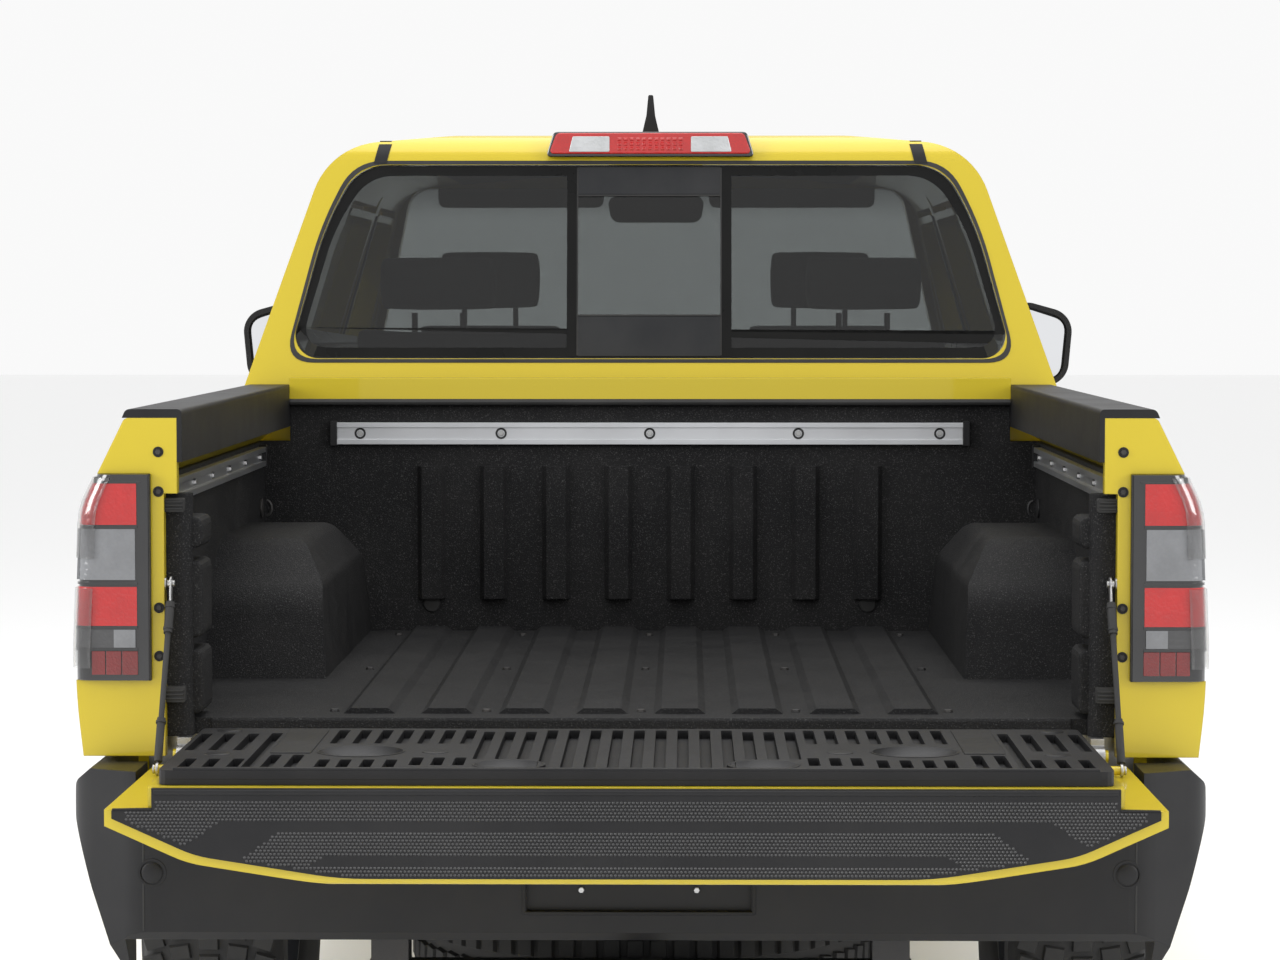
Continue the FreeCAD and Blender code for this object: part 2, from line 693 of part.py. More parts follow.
def arch(y, inner, outer):
    return Part.makeCylinder(size("arch_radius"), outer - inner, Vector(inner, y, z_axle), Vector(1, 0, 0))


def arch_lip(y, low, end):
    """A body-coloured lip round a wheel arch."""
    body = size("body_half")
    radius = size("arch_radius") + size("arch_lip_width")
    depth = 60 + size("arch_lip")
    disc = Part.makeCone(radius, radius - 22, depth, Vector(body - 60, y, z_axle), Vector(1, 0, 0))
    return disc.common(block(0, WIDE, y - radius, min(y + radius, end), low, z_belt)).cut(arch(y, 600, WIDE))


def lamp_outline(by):
    """A tail lamp's outline in side view, grown by a clearance."""
    y0, y1 = y_tail - LAMP_BULGE - by, y_tail + size("tail_lamp_wrap") + by
    return [(y0, lamp_low - by, 10), (y1 - 50, lamp_low - by, 30), (y1, lamp_high + by, 24), (y0, lamp_high + by, 10)]


bedside = prism(bedside_section(), "XZ", y_tail, y_bed)
bedside = bedside.cut(block(0, WIDE, y_tail - 1, y_tail + 240, 0, size("rear_bumper_top") + 8))
bedside = bedside.fuse(arch_lip(y_rear_axle, size("bedside_lower"), y_bed)).cut(arch(y_rear_axle, 600, WIDE))
x_flange = size("jamb_flange_half")
flange = block(x_flange, x_liner + 6, y_tail, y_tail + 22, size("rear_bumper_top") + 8, z_cap - 30)
bedside = bedside.fuse([flange, block(x_rail, x_flange + 10, y_tail, y_tail + 22, z_overhang - 20, z_cap)])
lamp_zone = block(size("tail_lamp_inner") - seat, WIDE, y_tail - 50, y_tail + 400, 0, WIDE)
bedside = bedside.cut(right_side(lamp_outline(seat)).common(lamp_zone))
header = block(-x_rail + 8, x_rail - 8, y_bulkhead - 14, y_bed, z_cap - 20, size("rail_height") + 14)
node("bed_panels", Part.makeCompound([bedside, mirrored(bedside), header]))

lamp = prism(bedside_section(), "XZ", y_tail - LAMP_BULGE, y_tail + size("tail_lamp_wrap"))
lamp = lamp.common(right_side(lamp_outline(0))).common(block(size("tail_lamp_inner"), WIDE, y_tail - 50, y_tail + 400, 0, WIDE))
stop_low, stop_high = z_roof - 62, z_roof - 10
stop_y = back_line(stop_low, 0)
stop_lamp = prism([(-215, stop_low, 8), (215, stop_low, 8), (200, stop_high, 8), (-200, stop_high, 8)], "XZ",
                  stop_y - 22, stop_y + 60)
stop_lamp = stop_lamp.cut(cab)
node("rear_lamps", Part.makeCompound([lamp, mirrored(lamp), stop_lamp]))

cap = prism([(x_rail - 8, z_cap - 70, 0), (x_rail - 8, z_cap + size("cap_height"), 8),
             (size("rail_outer_half") - 2, z_cap + size("cap_height"), 10),
             (size("rail_outer_half") + 4, z_cap, 0), (x_rail, z_cap, 0), (x_rail, z_cap - 70, 0)], "XZ",
            y_tail, y_bed)
node("bed_rail_caps", pair(cap))


def wheel_house(by):
    """A wheel house's form, or its cavity where by is the wall."""
    reach, top = 470 - by, z_bed + size("house_rise") - by
    low = z_bed_under - (1 if by else 0)
    side = prism([(y_rear_axle - reach, low, 0), (y_rear_axle + reach, low, 0),
                  (y_rear_axle + reach - 60, top - 90, 90), (y_rear_axle + reach - 230, top, 160),
                  (y_rear_axle - reach + 230, top, 160), (y_rear_axle - reach + 60, top - 90, 90)], "YZ",
                 house - 10, x_liner + (1 if by else 0))
    across = prism([(house + by, low, 0), (house + by + 14, top - 75, 40), (house + by + 62, top, 45),
                    (x_liner + 5, top + 12, 0), (x_liner + 5, low, 0)], "XZ", y_rear_axle - reach, y_rear_axle + reach)
    return side.common(across)


def floor_rib(x):
    return prism([(x - 42, z_bed, 0), (x + 42, z_bed, 0), (x + 30, z_bed + 9, 0), (x - 30, z_bed + 9, 0)], "XZ",
                 y_floor_end + 60, y_bulkhead)


def bulkhead_rib(x):
    return prism([(x - 28, y_bulkhead, 0), (x - 20, y_bulkhead - size("bed_rib"), 0),
                  (x + 20, y_bulkhead - size("bed_rib"), 0), (x + 28, y_bulkhead, 0)], "XY", z_bed + 65, z_bed + 334)


tub = block(-x_liner, x_liner, y_floor_end, y_bed, z_bed_under, z_bed)
tub = tub.fuse([block(-x_liner, x_liner, y_bulkhead, y_bed, z_bed_under, z_overhang),
                block(-x_rail + 8, x_rail - 8, y_bulkhead, y_bed, z_overhang, z_cap - 20)])
wall = block(x_wall, x_liner, y_tail + size("bed_jamb"), y_bed, z_bed_under, z_overhang)
x_jamb = size("jamb_inner_half")
jamb = prism([(x_jamb, y_tail + 24, 22), (x_liner, y_tail + 24, 0), (x_liner, y_tail + size("bed_jamb") + 16, 0),
              (x_jamb, y_tail + size("bed_jamb") + 16, 22)], "XY", z_bed_under, z_overhang - 22)
side_wall = wall.fuse([jamb, wheel_house(0)])
tub = tub.fuse([side_wall, mirrored(side_wall)])
tub = tub.cut([wheel_house(12), mirrored(wheel_house(12))])
rib_places = [(i - 3.5) * 126 for i in range(8)]
tub = tub.fuse([floor_rib(x) for x in rib_places] + [bulkhead_rib(x) for x in rib_places])
node("bed_tub", tub)

z_channel = z_overhang - 46
channel = prism([(x_wall, z_channel, 0), (x_wall - 14, z_channel, 0), (x_wall - 14, z_channel + 10, 0),
                 (x_wall - 5, z_channel + 10, 0), (x_wall - 5, z_channel + 28, 0),
                 (x_wall - 14, z_channel + 28, 0), (x_wall - 14, z_channel + 38, 0), (x_wall, z_channel + 38, 0)],
                "XZ", y_tail + 160, y_bulkhead - 90)
front_channel = prism([(y_bulkhead, z_cap - 106, 0), (y_bulkhead, z_cap - 62, 0), (y_bulkhead - 12, z_cap - 62, 0),
                       (y_bulkhead - 12, z_cap - 72, 0), (y_bulkhead - 4, z_cap - 72, 0),
                       (y_bulkhead - 4, z_cap - 96, 0), (y_bulkhead - 12, z_cap - 96, 0),
                       (y_bulkhead - 12, z_cap - 106, 0)], "YZ", -633, 633)
node("utility_rails", Part.makeCompound([channel, mirrored(channel), front_channel]))


# Tailgate, lowered
gate_far = y_gate_hinge - size("gate_length")
gate_box_half = size("gate_inner_half")
gate_half = size("gate_half")
z_gate_low = z_gate_top - size("gate_thickness")
GATE_SKIN = 12.0


def lip_outline(inset):
    """The tailgate's top face as seen from behind: shallow at its ends and deep at its middle."""
    low = z_gate_top - size("gate_lip") + inset
    end = z_gate_top - size("gate_lip_end") + inset
    half = gate_half - inset
    drop = size("gate_lip") - size("gate_lip_end")
    return [
        (-half, end, 0), (-half + 120, end - drop * 0.62, 180), (-half + 330, low, 500),
        (half - 330, low, 500), (half - 120, end - drop * 0.62, 180), (half, end, 0),
        (half, z_gate_low + GATE_SKIN, 0), (-half, z_gate_low + GATE_SKIN, 0),
    ]


gate_box = block(-gate_box_half, gate_box_half, gate_far, y_gate_hinge, z_gate_low, z_gate_top)
gate_skin = block(-gate_half, gate_half, gate_far, y_gate_hinge - 35, z_gate_low, z_gate_low + GATE_SKIN)
lip_side = prism([(gate_far, z_gate_low + GATE_SKIN, 0), (gate_far, z_gate_top - size("gate_lip"), 14),
                  (gate_far + 50, z_gate_top - size("gate_lip") + 4, 60), (gate_far + 210, z_gate_low, 0),
                  (gate_far + 210, z_gate_low + GATE_SKIN, 0)], "YZ", -gate_half, gate_half)
lip = prism(lip_outline(0), "XZ", gate_far, gate_far + 210).common(lip_side)
pin = rod(size("gate_pin_radius"), (gate_box_half - 12, y_gate_hinge, z_gate_hinge),
          (size("jamb_inner_half") + 28, y_gate_hinge, z_gate_hinge))
y_eye = y_gate_hinge - size("gate_reach_in")
eye = rod(7, (gate_box_half - 8, y_eye, z_gate_hinge), (gate_box_half + 44, y_eye, z_gate_hinge))
gate = gate_box.fuse([gate_skin, lip, pin, mirrored(pin), eye, mirrored(eye)])
node("tailgate_shell", gate)

liner_far, liner_near = gate_far + 10, y_gate_hinge - 30
liner = prism([(-gate_box_half + 12, liner_near, 20), (gate_box_half - 12, liner_near, 20),
               (gate_box_half - 12, liner_far, 40), (-gate_box_half + 12, liner_far, 40)], "XY", z_gate_top, z_liner_top)
slots = []
for row in range(3):
    for column in range(6):
        x = (column - 2.5) * 200
        y = liner_far + 105 + row * 120
        if row == 1 and column in (1, 4):
            slots.append(Part.makeCylinder(43, 30, Vector(x, y, z_liner_top - 10)))
        else:
            slots.append(block(x - 75, x + 75, y - 38, y + 38, z_liner_top - 6, z_liner_top + 1))
node("tailgate_liner", liner.cut(slots))

trim_outline = lip_outline(12)[:-2] + [
    (gate_half - 12, z_gate_low + GATE_SKIN, 0), (gate_box_half - 6, z_gate_low + GATE_SKIN, 0),
    (gate_box_half - 6, z_gate_top - 2, 0), (-gate_box_half + 6, z_gate_top - 2, 0),
    (-gate_box_half + 6, z_gate_low + GATE_SKIN, 0), (-gate_half + 12, z_gate_low + GATE_SKIN, 0)]
node("tailgate_top_trim", prism(trim_outline, "XZ", gate_far - size("gate_trim"), gate_far))

x_hinge = size("jamb_inner_half")
ring = rod(18, (x_hinge, y_gate_hinge, z_gate_hinge), (x_hinge + 22, y_gate_hinge, z_gate_hinge))
gate_arm = block(x_hinge, x_hinge + 22, y_gate_hinge, y_tail + 80, z_gate_hinge - 14, z_bed_under)
bore = rod(size("gate_pin_radius") + size("pin_clearance"), (x_hinge - 50, y_gate_hinge, z_gate_hinge),
           (x_hinge + 80, y_gate_hinge, z_gate_hinge))
gate_bracket = ring.fuse(gate_arm).cut(bore)
rear_sill = block(-x_liner, x_liner, y_tail + 64, y_tail + 116, z_bed_under - 70, z_bed_under)
x_cable = gate_box_half + 40
stud_place = Vector(x_cable, y_tail + 12, z_bed + 220)
eye_place = Vector(x_cable, y_eye, z_gate_hinge)
cable_along = (eye_place - stud_place).normalize()
cable = rod(3, tuple(stud_place + cable_along * 6), tuple(eye_place - cable_along * 7))
anchor = rod(6, (x_cable - 5, stud_place.y, stud_place.z), (x_flange, stud_place.y, stud_place.z))
brackets = rear_sill.fuse([gate_bracket, mirrored(gate_bracket)])
node("tailgate_cables", Part.makeCompound([cable, mirrored(cable)]))
node("tailgate_brackets", Part.makeCompound([brackets, anchor, mirrored(anchor)]))


# Rear bumper with its step and licence recess
def rear_bumper_solid():
    face, back = y_tail - size("rear_bumper_out"), y_tail - CLEAR
    side = bumper_half - 60
    outline = [
        (-bumper_half, y_tail + 225, 0), (-bumper_half, face + 60, 70), (-bumper_half + 110, face, 90),
        (bumper_half - 110, face, 90), (bumper_half, face + 60, 70), (bumper_half, y_tail + 225, 0),
        (side, y_tail + 225, 0), (side, back, 0), (-side, back, 0), (-side, y_tail + 225, 0),
    ]
    low, high = size("rear_bumper_low"), size("rear_bumper_top")
    shelf = z_gate_low - 8
    right_end = [(bumper_half - 80, low, 0), (bumper_half - 32, low + 135, 200), (bumper_half, high - 75, 60),
                 (bumper_half - 3, high - 25, 24), (bumper_half - 32, high, 0)]
    left_end = [(-a, b, r) for a, b, r in reversed(right_end)]
    bumper = prism(outline, "XY", low, high).common(prism(right_end + left_end, "XZ", face - 1, y_tail + 226))
    bumper = bumper.cut(block(-gate_half - 14, gate_half + 14, face - 1, back + 1, shelf, high + 1))
    bumper = bumper.cut(block(-side + 30, side - 30, face + 14, back + 1, low - 1, shelf - 14))
    bumper = bumper.cut(block(-175, 175, face - 1, face + 10, low + 100, shelf - 50))
    slope = prism([(face - 1, low - 1, 0), (face + 70, low - 1, 0), (face - 1, low + 70, 0)], "YZ", -WIDE, WIDE)
    hole = Part.makeCylinder(14, 60, Vector(0, face + 55, shelf - 40))
    return bumper.cut(slope).cut(hole)


node("rear_bumper", rear_bumper_solid())


# Nose: wings, bonnet, lamps, grille and front bumper
def edge_height(y):
    """The height of the bonnet's edge along the nose."""
    share = max(0.0, (y - y_door) / (y_nose - y_door))
    return z_belt - 14 - (z_belt - 14 + size("hood_crown") - size("nose_height")) * share ** 1.6


def nose_section(y, depth):
    half = size("body_half") - side_in(y) - depth
    top = edge_height(y)
    soft = 0 if depth else 1
    return [
        (half - size("sill_in"), z_sill - depth, 0),
        (half, z_waist, 0 if depth else 900),
        (half - size("shoulder_in"), top - 75, 110 * soft),
        (half - 40, top - depth, 45 * soft),
        (560, top + 8 - depth, 0),
        (560, z_sill - depth, 0),
    ]


def nose_half(depth):
    stations = [y_door - 20, y_front_axle, y_front_axle + 450, y_nose + 60]
    return Part.makeLoft([rounded_wire(nose_section(y, depth), "XZ", y) for y in stations], True, True)


def nose_plan(front, corner):
    """The nose seen from above, with round front corners."""
    half = size("body_half")
    front_half = half - side_in(front) + 2
    return prism([(-half - 40, y_door - 50, 0), (half + 40, y_door - 50, 0), (front_half, front - 120, 400),
                  (front_half - 30, front, corner), (-front_half + 30, front, corner),
                  (-front_half, front - 120, 400)], "XY", 0, WIDE)


y_hood = y_cowl + 85
lamp_floor, lamp_top = size("lamp_low"), size("lamp_low") + 168
x_lamp, x_apron = x_hood - 290, x_hood - 90
y_bumper_back = y_front_axle + size("arch_radius") + 6
nose_front = nose_plan(y_nose, 170)
nose_form = nose_half(0).common(nose_front)
wing = nose_form.cut(nose_half(size("fender_wall")))
wing = wing.common(block(x_hood + 4, WIDE, y_door + gap, y_nose + 50, 0, WIDE))
wing = wing.cut(block(0, WIDE, y_bumper_back - 60, y_nose + 100, 0, size("bumper_top") + 4))
wing = wing.fuse(arch_lip(y_front_axle, z_sill, WIDE * 3).cut(block(0, WIDE, y_front_axle + 200, WIDE * 3, 0,
                                                          size("bumper_top") + 4)))
lamp_form = block(x_lamp, WIDE, y_nose - 170, y_nose + 50, lamp_floor, lamp_top)
lamp_room = block(x_lamp - 80, WIDE, y_nose - 170 - seat, y_nose + 50, lamp_floor - seat, lamp_top + seat)
wing = wing.cut(arch(y_front_axle, 500, WIDE)).cut(lamp_room).cut(swing_room(y_door))
apron = block(x_apron, x_apron + 12, firewall, y_nose - 200, z_axle + size("arch_radius") + 9, z_belt - 175)
ledge = block(x_apron, size("body_half") - 64, firewall, y_nose - 200, z_belt - 187, z_belt - 175)
wing = wing.fuse([apron, ledge.common(nose_form)])
node("front_wings", pair(wing))

headlamp = nose_form.common(lamp_form)
inner_lamp = block(x_lamp, x_hood + 4, y_nose - 120, y_nose - 2, lamp_floor, lamp_top)
headlamp = headlamp.fuse(inner_lamp)
node("headlamps", pair(headlamp))


def hood_section(y):
    edge, crown = edge_height(y) + 2, size("hood_crown")
    under = edge - size("hood_wall")
    bend = x_hood - 340
    return [
        (x_hood, edge, 20), (bend, edge + crown * 0.72, 260), (0, edge + crown, 3000), (-bend, edge + crown * 0.72, 260),
        (-x_hood, edge, 20), (-x_hood + 24, under, 0), (x_hood - 24, under, 0),
    ]


hood_stations = [y_hood, y_front_axle + 60, y_front_axle + 460, y_nose - 4]
hood = Part.makeLoft([rounded_wire(hood_section(y), "XZ", y) for y in hood_stations], True, True)
y_hood_pin, z_hood_pin = y_hood + 14, edge_height(y_hood) - 56
HOOD_PIN = 6.0
x_lug = x_hood - 82
lug = block(x_lug, x_lug + 14, y_hood + 2, y_hood + 44, z_hood_pin - 14, edge_height(y_hood) - 16)
lug = lug.cut(rod(HOOD_PIN + size("pin_clearance"), (x_lug - 8, y_hood_pin, z_hood_pin),
                  (x_lug + 22, y_hood_pin, z_hood_pin)))
hood = hood.fuse([lug, mirrored(lug)])
node("hood", hood)

hood_arm = block(x_lug + 18, x_lug + 28, y_cowl - 60, y_hood_pin, z_hood_pin - 12, z_hood_pin).cut(cab)
hood_eye = rod(12, (x_lug + 18, y_hood_pin, z_hood_pin), (x_lug + 28, y_hood_pin, z_hood_pin))
hood_pin = rod(HOOD_PIN, (x_lug - 4, y_hood_pin, z_hood_pin), (x_lug + 24, y_hood_pin, z_hood_pin))
hood_hinge = hood_arm.fuse([hood_eye, hood_pin])
cowl = block(-x_hood + 70, x_hood - 70, y_cowl - 60, y_hood + 30, z_hood_pin - 60, z_hood_pin - 22).cut(cab)
fixed_hinges = hinge_leaves(y_door) + hinge_leaves(y_rear_door) + [hood_hinge]
node("fixed_hinges", Part.makeCompound(fixed_hinges + [mirrored(leaf) for leaf in fixed_hinges]))
node("cowl_panel", cowl)

grille_half, grille_low = size("grille_half"), size("bumper_top")
grille_top = edge_height(y_nose) - size("hood_wall") - 6
frame_face = prism([(-grille_half, grille_low, 20), (grille_half, grille_low, 20), (grille_half, grille_top, 40),
                    (-grille_half, grille_top, 40)], "XZ", y_nose - 60, y_nose + 22)
inside = prism([(-grille_half + 34, grille_low + 30, 14), (grille_half - 34, grille_low + 30, 14),
                (grille_half - 34, grille_top - 34, 26), (-grille_half + 34, grille_top - 34, 26)], "XZ",
               y_nose - 61, y_nose + 23)
bar_step = (grille_top - grille_low - 64) / 4
bars = [block(-grille_half + 20, grille_half - 20, y_nose - 30, y_nose + 8, grille_low + 30 + bar_step * (i + 0.78),
              grille_low + 30 + bar_step * (i + 1.0)) for i in range(3)]
mesh_back = block(-grille_half + 20, grille_half - 20, y_nose - 60, y_nose - 50, grille_low + 20, grille_top - 20)
node("grille", frame_face.cut(inside).fuse(bars + [mesh_back]))


def front_bumper_solid():
    low, high = size("bumper_low"), size("bumper_top")
    form = nose_plan(y_front, 260).common(block(-WIDE, WIDE, y_bumper_back, y_front + 1, low, high))
    hollow = nose_plan(y_front - 64, 220).common(
        block(-size("body_half") + 90, size("body_half") - 90, y_bumper_back - 1, y_front, low - 1, high - 30))
    form = form.cut(hollow)
    chin = prism([(y_front + 1, low - 1, 0), (y_front - 120, low - 1, 0), (y_front + 1, low + 90, 0)], "YZ", -WIDE, WIDE)
    intake = prism([(-400, low + 110, 30), (400, low + 110, 30), (430, low + 240, 30), (-430, low + 240, 30)], "XZ",
                   y_front - 90, y_front + 5)
    ledge_cut = block(-WIDE, WIDE, y_front - 40, y_front + 1, high - 70, high + 1)
    open_top = block(-size("body_half") + 90, size("body_half") - 90, y_bumper_back - 1, y_nose - 90, high - 40, high + 1)
    return form.cut([chin, intake, ledge_cut, open_top])


node("front_bumper", front_bumper_solid())
radiator = block(-x_hood - 20, x_hood + 20, y_nose - 200, y_nose - 175, size("frame_height") + size("frame_deep"),
                 grille_top - 30)
node("radiator_panel", radiator)


# Chassis frame with its cross members, body mounts and tow receiver
x_frame = size("frame_half")
half_wide = size("frame_wide") / 2
z_frame = size("frame_height")
z_frame_top = z_frame + size("frame_deep")
kick = size("frame_kick")
y_frame_front = y_nose - 60
y_frame_rear = y_tail + 30


def frame_rail():
    """A frame rail in side view, rising over the rear axle."""
    start, high = y_cab_back - 30, y_cab_back - 330
    return prism([
        (y_frame_rear, z_frame + kick, 0), (high, z_frame + kick, 120), (start, z_frame, 160),
        (y_frame_front, z_frame, 0), (y_frame_front, z_frame_top, 0), (start - 20, z_frame_top, 160),
        (high - 20, z_frame_top + kick, 120), (y_frame_rear, z_frame_top + kick, 0),
    ], "YZ", x_frame - half_wide, x_frame + half_wide)


def cross_member(y, z, half=35):
    inner = x_frame - half_wide
    return block(-inner, inner, y - 40, y + 40, z - half, z + half)


rail = frame_rail()
z_low_middle, z_high_middle = z_frame + 70, z_frame + kick + 70
members = [cross_member(y_frame_front - 40, z_low_middle), cross_member(y_front_axle - 330, z_frame + 36),
           cross_member(y_post, z_frame_top - 25, 20), cross_member(y_cab_back - 330, z_high_middle),
           cross_member(y_rear_axle - 420, z_high_middle + 30),
           cross_member(y_frame_rear + 50, z_high_middle)]
z_receiver = size("rear_bumper_low") - 38
receiver = block(-32, 32, y_tail - size("rear_bumper_out") + 10, y_frame_rear + 40, z_receiver - 32, z_receiver + 32)
receiver = receiver.cut(block(-25.5, 25.5, y_tail - WIDE, y_frame_rear + 10, z_receiver - 25.5, z_receiver + 25.5))
receiver_bar = block(-x_frame - half_wide, x_frame + half_wide, y_frame_rear, y_frame_rear + 70,
                     z_receiver - 25, z_receiver + 25)
hangers = [block(x_frame - 30, x_frame + 30, y_frame_rear, y_frame_rear + 70, z_receiver - 25, z_frame + kick + 10)]
bumper_arm = block(x_frame - 30, x_frame + 30, y_tail - size("rear_bumper_out") + 14, y_frame_rear + 40,
                   z_frame + kick + 20, z_frame + kick + 110)
front_arm = block(x_frame - 30, x_frame + 30, y_frame_front - 20, y_front - 64, z_frame + 30, z_frame + 120)
cab_mounts = [Part.makeCylinder(42, z_floor_under - z_frame - 40, Vector(x_frame + half_wide + 44, y, z_frame + 40))
              for y in (y_door - 60, y_post - 200, y_cab_back + 90)]
mount_arms = [block(x_frame, x_frame + half_wide + 44, y - 30, y + 30, z_frame + 50, z_frame + 110)
              for y in (y_door - 60, y_post - 200, y_cab_back + 90)]
half_frame = rail.fuse([bumper_arm, front_arm] + hangers + cab_mounts + mount_arms)
frame = half_frame.fuse([mirrored(half_frame), receiver, receiver_bar] + members)
z_sill_low = z_frame_top + kick
bed_sills = [block(-x_wall, x_wall, y - 30, y + 30, z_sill_low, z_bed_under)
             for y in (y_bed - 35, y_rear_axle - 520)]
node("chassis_frame", frame.fuse(bed_sills))


# Rear axle on its leaf springs
x_spring = x_frame + half_wide + 62
z_spring = z_axle + size("axle_tube") + 30
x_hub = size("half_track") - 52

axle = rod(size("axle_tube"), (-x_hub + 20, y_rear_axle, z_axle), (x_hub - 20, y_rear_axle, z_axle))
bulb = Part.makeSphere(150, Vector(0, y_rear_axle, z_axle)).common(
    block(-130, 130, y_rear_axle - 160, y_rear_axle + 160, z_axle - 160, z_axle + 160))
pinion = Part.makeCone(80, 48, 200, Vector(0, y_rear_axle + 90, z_axle + 10), Vector(0, 1, 0.08))
stubs = [rod(size("stub_radius"), (side * (x_hub - 40), y_rear_axle, z_axle),
             (side * (size("half_track") + 20), y_rear_axle, z_axle)) for side in (1, -1)]
rear_axle = axle.fuse([bulb, pinion] + stubs)
node("rear_axle", rear_axle)


LEAVES = ((500, 680), (360, 470), (220, 270))


def leaf_stack():
    """The leaves of one spring as steps of a single outline, each curved about the same centre."""
    bend, thick = size("leaf_bend"), size("leaf_thickness")

    def place(along, layers):
        radius = bend - layers * thick
        return Vector(0, y_rear_axle + along, z_spring + bend - math.sqrt(radius ** 2 - along ** 2))

    def sweep(start, end, layers):
        return Part.Arc(place(start, layers), place((start + end) / 2, layers), place(end, layers)).toShape()

    def step(along, low, high):
        return Part.LineSegment(place(along, low), place(along, high)).toShape()

    edges = [sweep(-LEAVES[0][1], LEAVES[0][0], 0)]
    for i in range(3):
        edges.append(step(LEAVES[i][0], i, i + 1))
        if i < 2:
            edges.append(sweep(LEAVES[i][0], LEAVES[i + 1][0], i + 1))
    edges.append(sweep(LEAVES[2][0], -LEAVES[2][1], 3))
    for i in (2, 1, 0):
        edges.append(step(-LEAVES[i][1], i + 1, i))
        if i > 0:
            edges.append(sweep(-LEAVES[i][1], -LEAVES[i - 1][1], i))
    stack = Part.Face(Part.Wire(edges)).extrude(Vector(64, 0, 0))
    stack.translate(Vector(x_spring - 32, 0, 0))
    return stack


seat_block = block(x_spring - 40, x_spring + 40, y_rear_axle - 70, y_rear_axle + 70, z_axle + 20, z_spring + 2)
seat_block = seat_block.cut(axle)
z_eye = z_spring + 50
front_hanger = block(x_frame + half_wide, x_spring + 36, y_rear_axle + 450, y_rear_axle + 510, z_eye - 40, z_frame_top)
rear_hanger = block(x_frame + half_wide, x_spring + 36, y_rear_axle - 700, y_rear_axle - 655, z_eye - 30,
                    z_frame + kick + 60)
springs = leaf_stack().fuse([seat_block, front_hanger, rear_hanger])
damper = rod(24, (330, y_rear_axle + 20, z_axle + 20), (330, y_cab_back - 330, z_high_middle)).cut([axle, frame])
node("rear_suspension", Part.makeCompound([springs, mirrored(springs), damper, mirrored(damper)]))


# Front suspension and steering
x_kingpin = size("half_track") - size("kingpin_offset")
z_low_ball, z_high_ball = z_axle - size("joint_low"), z_axle + size("joint_high")
BALL = 12.0
x_rail_side = x_frame + half_wide


def wishbone(y_spread, z_inner, z_outer, thick):
    """An A-shaped arm from two bushes on the frame rail to a ball joint under or over the knuckle."""
    arms = []
    for sign in (1, -1):
        arms.append(rod(thick, (x_rail_side + 6, y_front_axle + sign * y_spread, z_inner), (x_kingpin, y_front_axle, z_outer)))
        arms.append(block(x_rail_side - 14, x_rail_side + 30, y_front_axle + sign * y_spread - 30,
                          y_front_axle + sign * y_spread + 30, z_inner - thick - 8, max(z_inner + thick + 8, z_frame)))
    return arms


z_low_inner, z_low_outer = z_frame - 60, z_low_ball - 53
low_eye = Part.makeCylinder(26, 32, Vector(x_kingpin, y_front_axle, z_low_ball - 58))
low_pin = Part.makeCylinder(BALL, 60, Vector(x_kingpin, y_front_axle, z_low_ball - 40))
high_eye = Part.makeCylinder(26, 22, Vector(x_kingpin, y_front_axle, z_high_ball + 30))
high_pin = Part.makeCylinder(BALL, 60, Vector(x_kingpin, y_front_axle, z_high_ball - 20))
low_arm = wishbone(130, z_low_inner, z_low_outer, 16)
high_arm = wishbone(110, z_high_ball + 24, z_high_ball + 41, 12)
tower = block(x_rail_side, x_rail_side + 90, y_front_axle - 60, y_front_axle + 60, z_frame + 70, z_frame_top + 240)
strut = rod(46, (x_rail_side + 150, y_front_axle, z_low_ball + 50), (x_rail_side + 60, y_front_axle, z_frame_top + 232))
foot_share = 162 / (x_kingpin - x_rail_side - 6)
z_foot = z_low_inner + (z_low_outer - z_low_inner) * foot_share
strut_foot = rod(18, (x_rail_side + 168, y_front_axle, z_foot), (x_rail_side + 150, y_front_axle, z_low_ball + 60))
foot_bar = block(x_rail_side + 156, x_rail_side + 180, y_front_axle - 70, y_front_axle + 70, z_foot - 12, z_foot + 12)
suspension = low_eye.fuse([low_pin, high_eye, high_pin, tower, strut, strut_foot, foot_bar] + low_arm + high_arm).cut(rail)


def knuckle_solid():
    """The upright that turns about the two ball pins, with its stub axle and steering arm."""
    low, high = z_low_ball - 14, z_high_ball + 20
    upright = block(x_kingpin - 22, x_kingpin + 20, y_front_axle - 26, y_front_axle + 26, low, high)
    boss = rod(48, (x_kingpin - 28, y_front_axle, z_axle), (x_kingpin + 20, y_front_axle, z_axle))
    stub = rod(size("stub_radius"), (x_kingpin, y_front_axle, z_axle), (size("half_track") + 20, y_front_axle, z_axle))
    arm_y = y_front_axle - size("steer_arm")
    z_arm = z_axle - size("arm_drop")
    arm = block(x_kingpin - 20, x_kingpin + 4, arm_y, y_front_axle, z_arm, z_arm + 24)
    end = Part.makeCylinder(18, 24, Vector(x_kingpin - 8, arm_y, z_arm))
    bores = [Part.makeCylinder(BALL + size("pin_clearance"), 60, Vector(x_kingpin, y_front_axle, low - 10)),
             Part.makeCylinder(BALL + size("pin_clearance"), 70, Vector(x_kingpin, y_front_axle, high - 60))]
    return upright.fuse([boss, stub, arm, end]).cut(bores)


knuckle = knuckle_solid()
node("knuckle_right", knuckle)
node("knuckle_left", mirrored(knuckle))

